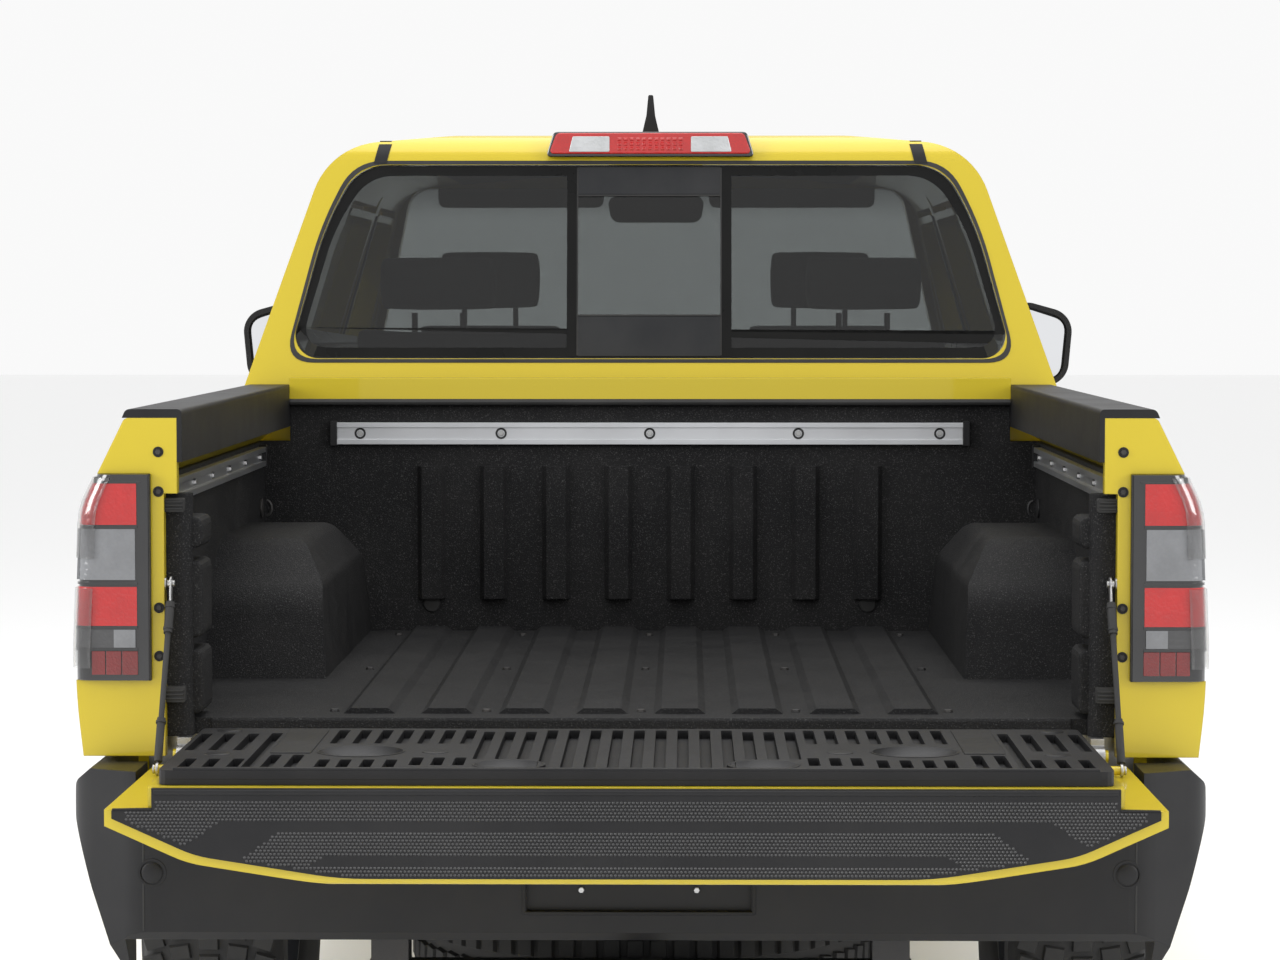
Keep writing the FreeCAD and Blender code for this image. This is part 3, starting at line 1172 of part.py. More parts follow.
y_rack, z_rack = y_front_axle - size("steer_arm"), z_axle - size("rack_drop")
stud_rise = size("rack_drop") - size("arm_drop") - size("seat_gap")
tie_bar = rod(11, (-x_kingpin + 8, y_rack, z_rack), (x_kingpin - 8, y_rack, z_rack))
tie_ends = [Part.makeCylinder(17, stud_rise + 11, Vector(side * (x_kingpin - 8), y_rack, z_rack - 11))
            for side in (1, -1)]
node("steering_tie_bar", tie_bar.fuse(tie_ends))
rack = rod(32, (-300, y_rack, z_rack), (300, y_rack, z_rack))
rack_feet = [block(side * 260 - 20, side * 260 + 20, y_rack - 20, y_rack + 20, z_rack, z_frame + 20) for side in (1, -1)]
rack_bar = cross_member(y_rack, z_frame + 36)
rack = rack.fuse(rack_bar.fuse(rack_feet)).cut(rod(11 + size("pin_clearance"), (-400, y_rack, z_rack), (400, y_rack, z_rack)))
node("front_suspension", Part.makeCompound([suspension, mirrored(suspension), rack]))


# Engine, gearbox, shafts, exhaust, tank
engine = block(-215, 215, y_front_axle - 380, y_front_axle + 260, z_frame + 78, z_frame + 560)
engine_feet = [block(side * 305 - 95, side * 305 + 95, y_front_axle - 180, y_front_axle - 100, z_frame_top, z_frame_top + 30)
               for side in (1, -1)]
engine = engine.fuse(engine_feet)
gearbox = Part.makeCone(GEAR_ROOM - 6, 75, 760, Vector(0, y_front_axle - 380, z_drive), Vector(0, -1, 0))
gearbox = gearbox.cut(cross_member(y_front_axle - 330, z_frame + 36).fuse(cross_member(y_rack, z_frame + 36)))
y_box_end = y_front_axle - 1140
shaft_start = Vector(0, y_box_end, z_drive)
shaft_end = Vector(0, y_rear_axle + 288, z_axle + 26)
shaft = rod(38, tuple(shaft_start), tuple(shaft_end))
collar = rod(60, (0, y_box_end + 10, z_drive), (0, y_box_end - 30, z_drive))
drive_line = gearbox.fuse([collar, shaft]).cut(rear_axle)
node("powertrain", engine.fuse(drive_line))

z_pipe, z_over = z_frame + 10, z_frame + 150
x_tail_pipe = x_spring + 86
pipe = tube_path(26, [(250, y_front_axle - 240, z_frame + 130), (250, y_door - 330, z_pipe),
                      (250, y_cab_back + 300, z_pipe), (250, y_cab_back - 160, z_over),
                      (250, y_rear_axle - 70, z_over), (x_tail_pipe, y_rear_axle - 240, z_over),
                      (x_tail_pipe, y_rear_axle - 560, z_over - 10), (700, y_rear_axle - 700, z_over - 20)], 70)
silencer = rod(74, (250, y_door - 500, z_pipe), (250, y_post - 340, z_pipe))
hanger = block(300, x_frame - half_wide, y_post - 220, y_post - 180, z_frame + 20, z_frame + 60)
node("exhaust", pipe.fuse([silencer, hanger]))

tank = prism([(y_cab_back + 160, z_frame - 50, 40), (y_post - 260, z_frame - 50, 40), (y_post - 260, z_frame_top - 20, 30),
              (y_cab_back + 160, z_frame_top - 20, 30)], "YZ", -x_rail_side - 165, -x_rail_side)
node("fuel_tank", tank)


# Seats, dashboard and steering column
floor = z_cab_floor
seat_top = floor + size("seat_height")
y_seat = y_post + 190
x_seat = size("seat_middle")
seat_half = size("seat_half")


def front_seat(x):
    """A front seat: base, cushion, reclined back and headrest."""
    cushion = prism([(y_seat - 20, floor + 130, 30), (y_seat + 500, floor + 150, 30), (y_seat + 520, seat_top + 10, 60),
                     (y_seat + 60, seat_top - 30, 20), (y_seat - 20, seat_top - 30, 20)], "YZ",
                    x - seat_half + 10, x + seat_half - 10)
    back = prism([(y_seat - 60, seat_top - 90, 30), (y_seat + 70, seat_top - 60, 30), (y_seat - 70, seat_top + 560, 50),
                  (y_seat - 180, seat_top + 550, 50)], "YZ", x - seat_half + 20, x + seat_half - 20)
    rest = prism([(y_seat - 170, seat_top + 600, 30), (y_seat - 80, seat_top + 595, 30),
                  (y_seat - 100, seat_top + 760, 40), (y_seat - 180, seat_top + 750, 40)], "YZ", x - 135, x + 135)
    stems = [rod(8, (x + side * 60, y_seat - 128, seat_top + 520), (x + side * 60, y_seat - 130, seat_top + 640))
             for side in (1, -1)]
    base = block(x - 190, x + 190, y_seat + 20, y_seat + 440, floor, floor + 160)
    return cushion.fuse([back, rest, base] + stems)


y_bench = y_cab_back + size("back_wall") + 110
half_bench = 640
bench = prism([(y_bench, floor, 0), (y_bench + 400, floor, 20), (y_bench + 500, seat_top - 110, 30),
               (y_bench + 500, seat_top + 10, 60), (y_bench, seat_top - 20, 0)], "YZ", -half_bench, half_bench)
bench_back = prism([(y_bench - 60, floor + 120, 0), (y_bench + 120, seat_top - 60, 30), (y_bench + 30, seat_top + 520, 50),
                    (y_bench - 60, seat_top + 520, 30)], "YZ", -half_bench, half_bench)
bench_rests = []
for x in (-440, 0, 440):
    bench_rests.append(prism([(y_bench - 50, seat_top + 556, 20), (y_bench + 34, seat_top + 556, 25),
                              (y_bench + 22, seat_top + 680, 40), (y_bench - 46, seat_top + 680, 30)], "YZ", x - 120, x + 120))
    bench_rests.append(block(x - 50, x + 50, y_bench - 16, y_bench + 4, seat_top + 500, seat_top + 570))
node("seats", Part.makeCompound([front_seat(x_seat), front_seat(-x_seat), bench.fuse([bench_back] + bench_rests)]))

y_dash = y_door - 130
dash = prism([(firewall - 50, floor + 190, 0), (firewall - 50, z_belt - 112, 0), (y_dash + 140, z_belt - 90, 60),
              (y_dash - 60, z_belt - 66, 70), (y_dash - 110, z_belt - 200, 80), (y_dash - 20, floor + 260, 60)], "YZ",
             -size("body_half") + 190, size("body_half") - 190)
tunnel = prism([(y_seat - 60, floor, 0), (firewall - 60, floor, 0), (firewall - 60, floor + 300, 0),
                (y_dash - 80, floor + 320, 80), (y_seat + 420, floor + 230, 60), (y_seat - 60, floor + 300, 40)], "YZ", -105, 105)
x_driver = -x_seat
COLUMN_TILT = 24.0
column_along = Vector(0, math.cos(math.radians(COLUMN_TILT)), -math.sin(math.radians(COLUMN_TILT)))
wheel_middle = Vector(x_driver, y_dash - 330, seat_top + 210)
column_start = wheel_middle + column_along * 60
column = Part.makeCylinder(34, 270, column_start, column_along)
SHAFT = 11.0
shaft_hole = Part.makeCylinder(SHAFT + size("pin_clearance"), 200, wheel_middle, column_along)
node("dashboard", dash.fuse([tunnel, column]).cut(shaft_hole))

ring_profile = []
for step in range(6):
    angle = math.radians(60 * step)
    ring_profile.append((size("wheel_ring") + size("wheel_grip") * math.cos(angle), size("wheel_grip") * math.sin(angle), 0))
ring = Part.Face(rounded_wire(ring_profile, "XZ")).revolve(Vector(0, 0, 0), Vector(0, 0, 1), 360)
ring.rotate(Vector(0, 0, 0), Vector(1, 0, 0), 90 + COLUMN_TILT)
ring.translate(wheel_middle)
hub = Part.makeCylinder(52, 42, wheel_middle - column_along * 12, column_along)
shaft = Part.makeCylinder(SHAFT, 170, wheel_middle + column_along * 10, column_along)
spokes = []
for angle in (90, 210, 330):
    spoke = Part.makeBox(30, size("wheel_ring") - 30, 14, Vector(-15, 36, -7))
    spoke.rotate(Vector(0, 0, 0), Vector(0, 0, 1), angle)
    spoke.rotate(Vector(0, 0, 0), Vector(1, 0, 0), 90 + COLUMN_TILT)
    spoke.translate(wheel_middle + column_along * 8)
    spokes.append(spoke)
node("steering_wheel", ring.fuse([hub, shaft] + spokes))

mast = prism([(-25, z_roof - 40, 0), (25, z_roof - 40, 0), (9, z_roof + 28, 30), (5, z_roof + 70, 3), (-5, z_roof + 70, 3),
              (-9, z_roof + 28, 30)], "XZ", y_cab_back + 150, y_cab_back + 250)
mast = mast.common(prism([(y_cab_back + 150, z_roof - 41, 0), (y_cab_back + 250, z_roof - 41, 0),
                          (y_cab_back + 170, z_roof + 71, 0), (y_cab_back + 150, z_roof + 71, 0)], "YZ", -40, 40))
node("roof_aerial", mast.cut(cab))
rear_view = prism([(-120, z_rail + 15, 20), (120, z_rail + 15, 20), (110, z_rail - 50, 25), (-110, z_rail - 50, 25)], "XZ",
                  pillar_line(z_rail, 0) - 150, pillar_line(z_rail, 0) - 128)
stem = rod(9, (0, pillar_line(z_rail, 0) - 132, z_rail - 10), (0, pillar_line(z_rail + 20, size("pane_inset") + size("pane")) + 3, z_rail + 20))
glass_side = prism([(pillar_line(z_rail - 200, size("pane_inset") + size("pane")), z_rail - 200, 0),
                    (pillar_line(z_roof, size("pane_inset") + size("pane")), z_roof, 0),
                    (pillar_line(z_roof, size("pane_inset") + size("pane")) + 300, z_roof, 0),
                    (pillar_line(z_rail - 200, size("pane_inset") + size("pane")) + 300, z_rail - 200, 0)], "YZ", -300, 300)
node("interior_mirror", rear_view.fuse(stem).cut(glass_side))


# Wheels: tyre and rim as bodies about their own axle line
def profile(body, name, points):
    """A closed sketch on the body's own XY plane whose corners are bound to the sheet."""
    sketch = body.newObject("Sketcher::SketchObject", name)
    plane = [f for f in body.Origin.OriginFeatures if f.Role == "XY_Plane"][0]
    sketch.AttachmentSupport = [(plane, "")]
    sketch.MapMode = "FlatFace"
    values = [(float(sheet.evalExpression(a)), float(sheet.evalExpression(b))) for a, b in points]
    count = len(points)
    for i in range(count):
        start, end = values[i], values[(i + 1) % count]
        sketch.addGeometry(Part.LineSegment(Vector(*start, 0), Vector(*end, 0)), False)
    for i in range(count):
        sketch.addConstraint(Sketcher.Constraint("Coincident", i, 2, (i + 1) % count, 1))
    for i in range(count):
        for kind, value, expression in zip(("DistanceX", "DistanceY"), values[i], points[i]):
            index = sketch.addConstraint(Sketcher.Constraint(kind, -1, 1, i, 1, value))
            sketch.setExpression(f"Constraints[{index}]", expression)
    return sketch


def turned(label, points):
    """A body turned about its X axis from a profile given as (along the axle, radius) expressions."""
    body = doc.addObject("PartDesign::Body", label + "_body")
    sketch = profile(body, label + "_profile", points)
    revolution = body.newObject("PartDesign::Revolution", label + "_turned")
    revolution.Profile = sketch
    revolution.ReferenceAxis = (sketch, ["H_Axis"])
    revolution.Angle = 360
    sketch.Visibility = False
    return body


def both_sides(half):
    return half + [("-(" + a + ")", b) for a, b in reversed(half)]


tyre_body = turned("tyre", both_sides([
    ("sizes.tyre_width / 2", "sizes.rim_radius"),
    ("sizes.tyre_width / 2", "sizes.tyre_radius - 18"),
    ("sizes.tyre_width / 2 - 14", "sizes.tyre_radius"),
]))
barrel_body = turned("barrel", [
    ("-sizes.rim_width / 2", "sizes.rim_radius - sizes.rim_wall"),
    ("sizes.rim_width / 2", "sizes.rim_radius - sizes.rim_wall"),
    ("sizes.rim_width / 2", "sizes.rim_radius"),
    ("-sizes.rim_width / 2", "sizes.rim_radius"),
])
doc.recompute()

FACE_OUT = 62.0
BORE_END = 44.0
SPOKES = 6


def rim_solid():
    """A spoked rim with its hub, brake disc and stub bore, facing +X."""
    back = FACE_OUT - size("spoke_thickness")
    spoke = prism([(-34, size("hub_radius") - 20, 0), (34, size("hub_radius") - 20, 0), (46, size("rim_radius") - 5, 0),
                   (10, size("rim_radius") - 5, 0), (0, size("rim_radius") - 60, 8), (-10, size("rim_radius") - 5, 0),
                   (-46, size("rim_radius") - 5, 0)], "YZ", back, FACE_OUT)
    spokes = []
    for i in range(SPOKES):
        copy = spoke.copy()
        copy.rotate(Vector(0, 0, 0), Vector(1, 0, 0), 360 / SPOKES * i)
        spokes.append(copy)
    within = Part.makeCylinder(size("rim_radius") - 4, 200, Vector(-100, 0, 0), Vector(1, 0, 0))
    face = spokes[0].fuse(spokes[1:]).common(within)
    hub = rod(size("hub_radius"), (-32, 0, 0), (FACE_OUT, 0, 0))
    disc = rod(size("disc_radius"), (-26, 0, 0), (-4, 0, 0))
    bore = rod(size("stub_radius") + size("pin_clearance"), (-100, 0, 0), (BORE_END, 0, 0))
    lugs = []
    for i in range(6):
        angle = math.radians(60 * i + 30)
        y, z = size("lug_circle") / 2 * math.cos(angle), size("lug_circle") / 2 * math.sin(angle)
        nut = [(y + 11 * math.cos(math.radians(60 * k)), z + 11 * math.sin(math.radians(60 * k)), 0) for k in range(6)]
        lugs.append(prism(nut, "YZ", FACE_OUT - 10, FACE_OUT + 8))
    return barrel_body.Shape.fuse([face, hub, disc] + lugs).cut(bore)


rim = rim_solid()
tyre = tyre_body.Shape
wheel_places = {
    "front_right": (size("half_track"), y_front_axle, 1), "front_left": (-size("half_track"), y_front_axle, -1),
    "rear_right": (size("half_track"), y_rear_axle, 1), "rear_left": (-size("half_track"), y_rear_axle, -1),
}
for place, (x, y, side) in wheel_places.items():
    for name, form in (("wheel_rim", rim), ("wheel_tyre", tyre)):
        shape = form.copy()
        if side < 0:
            shape.rotate(Vector(0, 0, 0), Vector(0, 0, 1), 180)
        shape.translate(Vector(x, y, z_axle))
        node(f"{name}_{place}", shape)

z_spare = z_frame + kick - size("tyre_width") / 2 - 20
y_spare = y_rear_axle - 150 - size("tyre_radius") - 30
spare = []
for form in (tyre, barrel_body.Shape):
    shape = form.copy()
    shape.rotate(Vector(0, 0, 0), Vector(0, 1, 0), 90)
    shape.translate(Vector(0, y_spare, z_spare))
    spare.append(shape)
plate = Part.makeCylinder(size("rim_radius") - 4, 12, Vector(0, y_spare, z_spare - 6))
winch = Part.makeCylinder(16, z_frame_top + kick + 60 - z_spare, Vector(0, y_spare, z_spare))
winch_bar = block(-x_frame + half_wide, x_frame - half_wide, y_spare - 30, y_spare + 30, z_frame_top + kick - 60, z_frame_top + kick - 20)
node("spare_tyre", spare[0])
node("spare_wheel_carrier", spare[1].fuse([plate, winch, winch_bar]))

doc.recompute()
for item in doc.Objects:
    if "Invalid" in item.State or "Error" in item.State:
        raise RuntimeError("The document has a fault at " + item.Name)
for part in nodes:
    if part.Shape.isNull() or not part.Shape.isValid():
        raise RuntimeError("No sound shape for " + part.Label)
os.makedirs("parts", exist_ok=True)
for part in nodes:
    part.Shape.exportStep(f"parts/{part.Label}.step")
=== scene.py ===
# %% [markdown]
# # Pickup truck with its tailgate lowered
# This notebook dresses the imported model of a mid-size crew-cab pickup. The frame has +Z up, +Y forwards and
# +X to the truck's right-hand side, in metres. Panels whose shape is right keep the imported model's mesh and
# get a finish; pieces with finer forms, such as lamps, tyres and seats, are built here on the places that
# the model's boxes give.

# %%
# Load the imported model
import bpy
import bmesh
import json
import math
from mathutils import Matrix, Vector
from mathutils.bvhtree import BVHTree


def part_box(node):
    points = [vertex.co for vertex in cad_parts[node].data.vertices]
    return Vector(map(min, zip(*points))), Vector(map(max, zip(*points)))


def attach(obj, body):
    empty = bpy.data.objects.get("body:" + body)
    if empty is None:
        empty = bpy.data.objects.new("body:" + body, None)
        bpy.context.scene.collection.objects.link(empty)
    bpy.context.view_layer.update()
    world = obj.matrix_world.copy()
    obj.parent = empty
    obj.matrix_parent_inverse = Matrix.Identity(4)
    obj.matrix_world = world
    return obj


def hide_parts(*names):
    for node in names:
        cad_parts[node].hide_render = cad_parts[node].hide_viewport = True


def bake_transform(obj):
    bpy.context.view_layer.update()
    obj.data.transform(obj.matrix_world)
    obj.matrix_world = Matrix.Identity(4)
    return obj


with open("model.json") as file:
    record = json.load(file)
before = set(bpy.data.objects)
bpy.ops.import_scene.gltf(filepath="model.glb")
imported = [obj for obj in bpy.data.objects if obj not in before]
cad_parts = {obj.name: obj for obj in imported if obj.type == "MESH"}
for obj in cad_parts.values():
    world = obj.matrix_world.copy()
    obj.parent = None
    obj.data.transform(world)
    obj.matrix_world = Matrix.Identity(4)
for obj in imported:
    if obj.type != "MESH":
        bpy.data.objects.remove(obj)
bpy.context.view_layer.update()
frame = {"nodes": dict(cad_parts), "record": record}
nodes = frame["nodes"]
scene = bpy.context.scene

# %% [markdown]
# ## Shader helpers
# A finish is a small graph of nodes. Three short functions place a node with its values, join two sockets
# and squeeze one range of numbers into another, so that each finish below reads as a list of what it does.

# %%
# Place, join and squeeze


def place(tree, kind, **values):
    """A new shader node, with its inputs set by name."""
    made = tree.nodes.new(kind)
    for key, value in values.items():
        made.inputs[key.replace("_", " ")].default_value = value
    return made


def squeeze(tree, source, low, high, to_low, to_high):
    """A value moved from one range to another, and held there."""
    made = place(tree, "ShaderNodeMapRange")
    for key, value in (("From Min", low), ("From Max", high), ("To Min", to_low), ("To Max", to_high)):
        made.inputs[key].default_value = value
    tree.links.new(source, made.inputs["Value"])
    return made.outputs["Result"]


def arithmetic(tree, operation, first, second):
    """One sum on two sockets or numbers."""
    made = tree.nodes.new("ShaderNodeMath")
    made.operation = operation
    for socket, source in zip(made.inputs, (first, second)):
        if isinstance(source, (int, float)):
            socket.default_value = source
        else:
            tree.links.new(source, socket)
    return made.outputs[0]


def blend_colours(tree, share, first, second):
    """A mix of two colours, by a share that is a socket."""
    made = tree.nodes.new("ShaderNodeMix")
    made.data_type = "RGBA"
    tree.links.new(share, made.inputs[0])
    for socket, source in ((made.inputs[6], first), (made.inputs[7], second)):
        if isinstance(source, tuple):
            socket.default_value = source
        else:
            tree.links.new(source, socket)
    return made.outputs[2]


COLOUR, NUMBER = "NodeSocketColor", "NodeSocketFloat"


def new_group(name, inputs, outputs):
    """A shader node group with named inputs and outputs."""
    group = bpy.data.node_groups.new(name, "ShaderNodeTree")
    for label, kind, value in inputs:
        group.interface.new_socket(name=label, in_out="INPUT", socket_type=kind).default_value = value
    for label, kind in outputs:
        group.interface.new_socket(name=label, in_out="OUTPUT", socket_type=kind)
    return group, group.nodes.new("NodeGroupInput"), group.nodes.new("NodeGroupOutput")


print("shader helpers ready")

# %% [markdown]
# ## Clouded colour
# No real surface has one even colour: dust lies in broad clouds, and small specks of lighter grit or flake
# catch the light. Noise in the object's own coordinates gives both, at the sizes they have in metres. It is
# a group, because every finish on the truck uses it with its own amounts.

# %%
# Group: clouded colour


def clouded_colour():
    group, entry, leave = new_group("clouded_colour", [("Colour", COLOUR, (0.5, 0.5, 0.5, 1)),
                                                       ("Dust Colour", COLOUR, (0.2, 0.19, 0.18, 1)),
                                                       ("Dust", NUMBER, 0.1), ("Cloud Scale", NUMBER, 6.0),
                                                       ("Speck Colour", COLOUR, (0.3, 0.3, 0.3, 1)),
                                                       ("Speck", NUMBER, 0.0), ("Speck Scale", NUMBER, 400.0),
                                                       ("Roughness", NUMBER, 0.5),
                                                       ("Roughness Spread", NUMBER, 0.08)],
                                    [("Colour", COLOUR), ("Roughness", NUMBER)])
    where = group.nodes.new("ShaderNodeTexCoord")
    cloud = place(group, "ShaderNodeTexNoise", Detail=5.0, Roughness=0.6)
    speck = place(group, "ShaderNodeTexNoise", Detail=3.0, Roughness=0.75)
    for noise, scale in ((cloud, "Cloud Scale"), (speck, "Speck Scale")):
        group.links.new(where.outputs["Object"], noise.inputs["Vector"])
        group.links.new(entry.outputs[scale], noise.inputs["Scale"])
    broad = squeeze(group, cloud.outputs["Fac"], 0.38, 0.72, 0.0, 1.0)
    dusty = blend_colours(group, arithmetic(group, "MULTIPLY", broad, entry.outputs["Dust"]),
                          entry.outputs["Colour"], entry.outputs["Dust Colour"])
    bright = squeeze(group, speck.outputs["Fac"], 0.58, 0.7, 0.0, 1.0)
    shown = arithmetic(group, "MULTIPLY", bright, entry.outputs["Speck"])
    group.links.new(blend_colours(group, shown, dusty, entry.outputs["Speck Colour"]), leave.inputs["Colour"])
    swing = arithmetic(group, "MULTIPLY", arithmetic(group, "SUBTRACT", broad, 0.4),
                       entry.outputs["Roughness Spread"])
    group.links.new(arithmetic(group, "ADD", entry.outputs["Roughness"], swing), leave.inputs["Roughness"])
    return group


CLOUDED = clouded_colour()
print("group", CLOUDED.name)

# %% [markdown]
# ## Grain and weave
# Moulded plastic has a grain of small cells, and cloth has crossing threads. Both only raise the surface a
# little, so the groups put out a height, and each finish turns it into a bump of its own depth.

# %%
# Groups: moulded grain and woven threads


def moulded_grain():
    group, entry, leave = new_group("moulded_grain", [("Scale", NUMBER, 900.0), ("Coarse", NUMBER, 0.3)],
                                    [("Height", NUMBER)])
    where = group.nodes.new("ShaderNodeTexCoord")
    cells = group.nodes.new("ShaderNodeTexVoronoi")
    waves = place(group, "ShaderNodeTexNoise", Scale=120.0, Detail=4.0)
    group.links.new(where.outputs["Object"], cells.inputs["Vector"])
    group.links.new(where.outputs["Object"], waves.inputs["Vector"])
    group.links.new(entry.outputs["Scale"], cells.inputs["Scale"])
    rough = arithmetic(group, "MULTIPLY", waves.outputs["Fac"], entry.outputs["Coarse"])
    group.links.new(arithmetic(group, "ADD", cells.outputs["Distance"], rough), leave.inputs["Height"])
    return group


def woven_threads():
    group, entry, leave = new_group("woven_threads", [("Scale", NUMBER, 220.0)],
                                    [("Height", NUMBER), ("Thread", NUMBER)])
    where = group.nodes.new("ShaderNodeTexCoord")
    height = None
    for direction in ("X", "Y", "Z"):
        wave = place(group, "ShaderNodeTexWave", Distortion=0.6, Detail=1.0)
        wave.bands_direction = direction
        group.links.new(where.outputs["Object"], wave.inputs["Vector"])
        group.links.new(entry.outputs["Scale"], wave.inputs["Scale"])
        height = wave.outputs["Fac"] if height is None else arithmetic(group, "MAXIMUM", height,
                                                                       wave.outputs["Fac"])
    group.links.new(height, leave.inputs["Height"])
    group.links.new(squeeze(group, height, 0.4, 1.0, 0.0, 1.0), leave.inputs["Thread"])
    return group


GRAIN, WEAVE = moulded_grain(), woven_threads()
print("groups", GRAIN.name, WEAVE.name)

# %% [markdown]
# ## The finishes
# One function lays out a finish: the clouded colour feeds a Principled surface, a grain or weave feeds its
# bump, and the Bevel node rounds the shading of sharp pressed edges. Values that are the same all over,
# such as the coat or the metal share, are set on the surface's own sockets.

# %%
# A finish
GRAIN_RISE = 0.0008


def finish(name, colour, roughness, dust=0.06, speck=0.0, grain=None, grain_depth=0.2, weave=None,
           edge=0.0015, dust_colour=(0.16, 0.155, 0.15, 1), speck_colour=(0.3, 0.3, 0.29, 1),
           speck_scale=400.0, cloud_scale=6.0, spread=0.08, **surface_values):
    """A material for one kind of surface."""
    made = bpy.data.materials.new(name)
    made.use_nodes = True
    tree = made.node_tree
    surface = tree.nodes["Principled BSDF"]
    for key, value in surface_values.items():
        surface.inputs[key.replace("_", " ")].default_value = value
    tone = tree.nodes.new("ShaderNodeGroup")
    tone.node_tree = CLOUDED
    for key, value in (("Colour", colour + (1,)), ("Dust Colour", dust_colour), ("Dust", dust),
                       ("Cloud Scale", cloud_scale), ("Speck Colour", speck_colour), ("Speck", speck),
                       ("Speck Scale", speck_scale), ("Roughness", roughness), ("Roughness Spread", spread)):
        tone.inputs[key].default_value = value
    tree.links.new(tone.outputs["Colour"], surface.inputs["Base Color"])
    tree.links.new(tone.outputs["Roughness"], surface.inputs["Roughness"])
    soft_edge = None
    if edge:
        soft_edge = place(tree, "ShaderNodeBevel", Radius=edge)
        soft_edge.samples = 3
        tree.links.new(soft_edge.outputs["Normal"], surface.inputs["Normal"])
    if grain or weave:
        relief = tree.nodes.new("ShaderNodeGroup")
        relief.node_tree = WEAVE if weave else GRAIN
        relief.inputs["Scale"].default_value = weave or grain
        raised = place(tree, "ShaderNodeBump", Strength=grain_depth, Distance=GRAIN_RISE)
        tree.links.new(relief.outputs["Height"], raised.inputs["Height"])
        if soft_edge:
            tree.links.new(soft_edge.outputs["Normal"], raised.inputs["Normal"])
        tree.links.new(raised.outputs["Normal"], surface.inputs["Normal"])
    return made


print("finish function ready")

# %% [markdown]
# ## Body finishes
# The paint is a warm yellow under a clear coat, with fine flake and a little dust. Trim is black moulded
# plastic, the bed is sprayed with a speckled liner, and the steel below is painted black or left plated.

# %%
# The record's slots
BLACK = (0.008, 0.008, 0.009)
LOOKS = {"body_paint": finish("yellow_paint", (0.53, 0.405, 0.006), 0.34, dust=0.04,
                              dust_colour=(0.5, 0.41, 0.04, 1), cloud_scale=2.4, speck=0.35,
                              speck_scale=1400.0, speck_colour=(0.74, 0.6, 0.03, 1), edge=0.003,
                              Coat_Weight=0.6, Coat_Roughness=0.03, Metallic=0.12),
         "black_plastic": finish("grained_black", BLACK, 0.5, dust=0.04, grain=900.0, edge=0.0015,
                                 Specular_IOR_Level=0.28),
         "liner": finish("sprayed_liner", (0.0115, 0.0115, 0.0122), 0.66, dust=0.05, speck=0.4,
                         speck_scale=430.0, grain=420.0, grain_depth=0.9, speck_colour=(0.24, 0.24, 0.235, 1),
                         edge=0.003, Specular_IOR_Level=0.12),
         "aluminium": finish("satin_aluminium", (0.62, 0.63, 0.65), 0.36, dust=0.08, grain=700.0,
                             grain_depth=0.06, Metallic=1.0),
         "steel": finish("plated_steel", (0.5, 0.5, 0.5), 0.34, dust=0.22, dust_colour=(0.09, 0.07, 0.055, 1),
                         cloud_scale=9.0, grain=500.0, grain_depth=0.08, Metallic=1.0),
         "black_steel": finish("chassis_black", (0.022, 0.022, 0.023), 0.5, dust=0.3,
                               dust_colour=(0.1, 0.085, 0.07, 1), cloud_scale=7.0, grain=300.0,
                               grain_depth=0.25, Metallic=0.15),
         "cast_iron": finish("cast_iron", (0.15, 0.145, 0.14), 0.62, dust=0.5,
                             dust_colour=(0.09, 0.065, 0.045, 1), cloud_scale=9.0, grain=350.0,
                             grain_depth=0.5, Metallic=0.7),
         "wheel_alloy": finish("painted_alloy", (0.23, 0.235, 0.25), 0.3, dust=0.1, grain=1200.0,
                               grain_depth=0.04, Metallic=0.85, Coat_Weight=0.6, Coat_Roughness=0.08),
         "tyre": finish("tyre_rubber", (0.016, 0.016, 0.016), 0.74, dust=0.25,
                        dust_colour=(0.075, 0.07, 0.063, 1), cloud_scale=12.0, grain=600.0, grain_depth=0.4),
         "seat_fabric": finish("seat_cloth", (0.03, 0.03, 0.034), 0.85, dust=0.1, weave=190.0,
                               grain_depth=0.6, edge=0.0, Sheen_Weight=0.35),}
GLOSS = finish("gloss_black", (0.008, 0.008, 0.009), 0.12, dust=0.03, edge=0.001, Coat_Weight=1.0,
               Coat_Roughness=0.02)
RUBBER = finish("seal_rubber", (0.012, 0.012, 0.012), 0.7, dust=0.12, grain=1500.0, grain_depth=0.2)
SMOOTH = finish("smooth_black", (0.009, 0.009, 0.010), 0.42, dust=0.035, grain=1600.0, grain_depth=0.12,
                Specular_IOR_Level=0.28)
PRINTED = finish("printed_border", (0.007, 0.0072, 0.0072), 0.3, dust=0.02, edge=0.0, Specular_IOR_Level=0.12)
# Trim studs: a lighter grey than the trim's black, as a painted glint; their specular shine comes from the
# shader.
PAINTED_GLINT_STUDS = finish("trim_studs_painted_glint", (0.028, 0.028, 0.029), 0.34, dust=0.04, edge=0.0, Specular_IOR_Level=0.6)
MATT = finish("matt_bar", (0.012, 0.013, 0.015), 0.55, dust=0.08, grain=1800.0, grain_depth=0.1,
              Specular_IOR_Level=0.3)
CHROME = finish("bright_metal", (0.75, 0.76, 0.78), 0.07, dust=0.04, edge=0.001, Metallic=1.0)
MIRROR = finish("mirror_face", (0.82, 0.83, 0.85), 0.02, dust=0.02, spread=0.02, edge=0.0, Metallic=1.0)
print("finishes", len(bpy.data.materials))

# %% [markdown]
# ## Glass and lamp lenses
# Car glass is a thin tinted slab: light goes through it and loses some on the way, and the face reflects
# more towards grazing angles, which the Principled surface does by itself. The rear panes are dark and the
# windscreen nearly clear, so the tint follows the place along the truck. Lamp lenses are coloured plastic
# with small prisms behind a gloss face.

# %%
# Glass and lenses


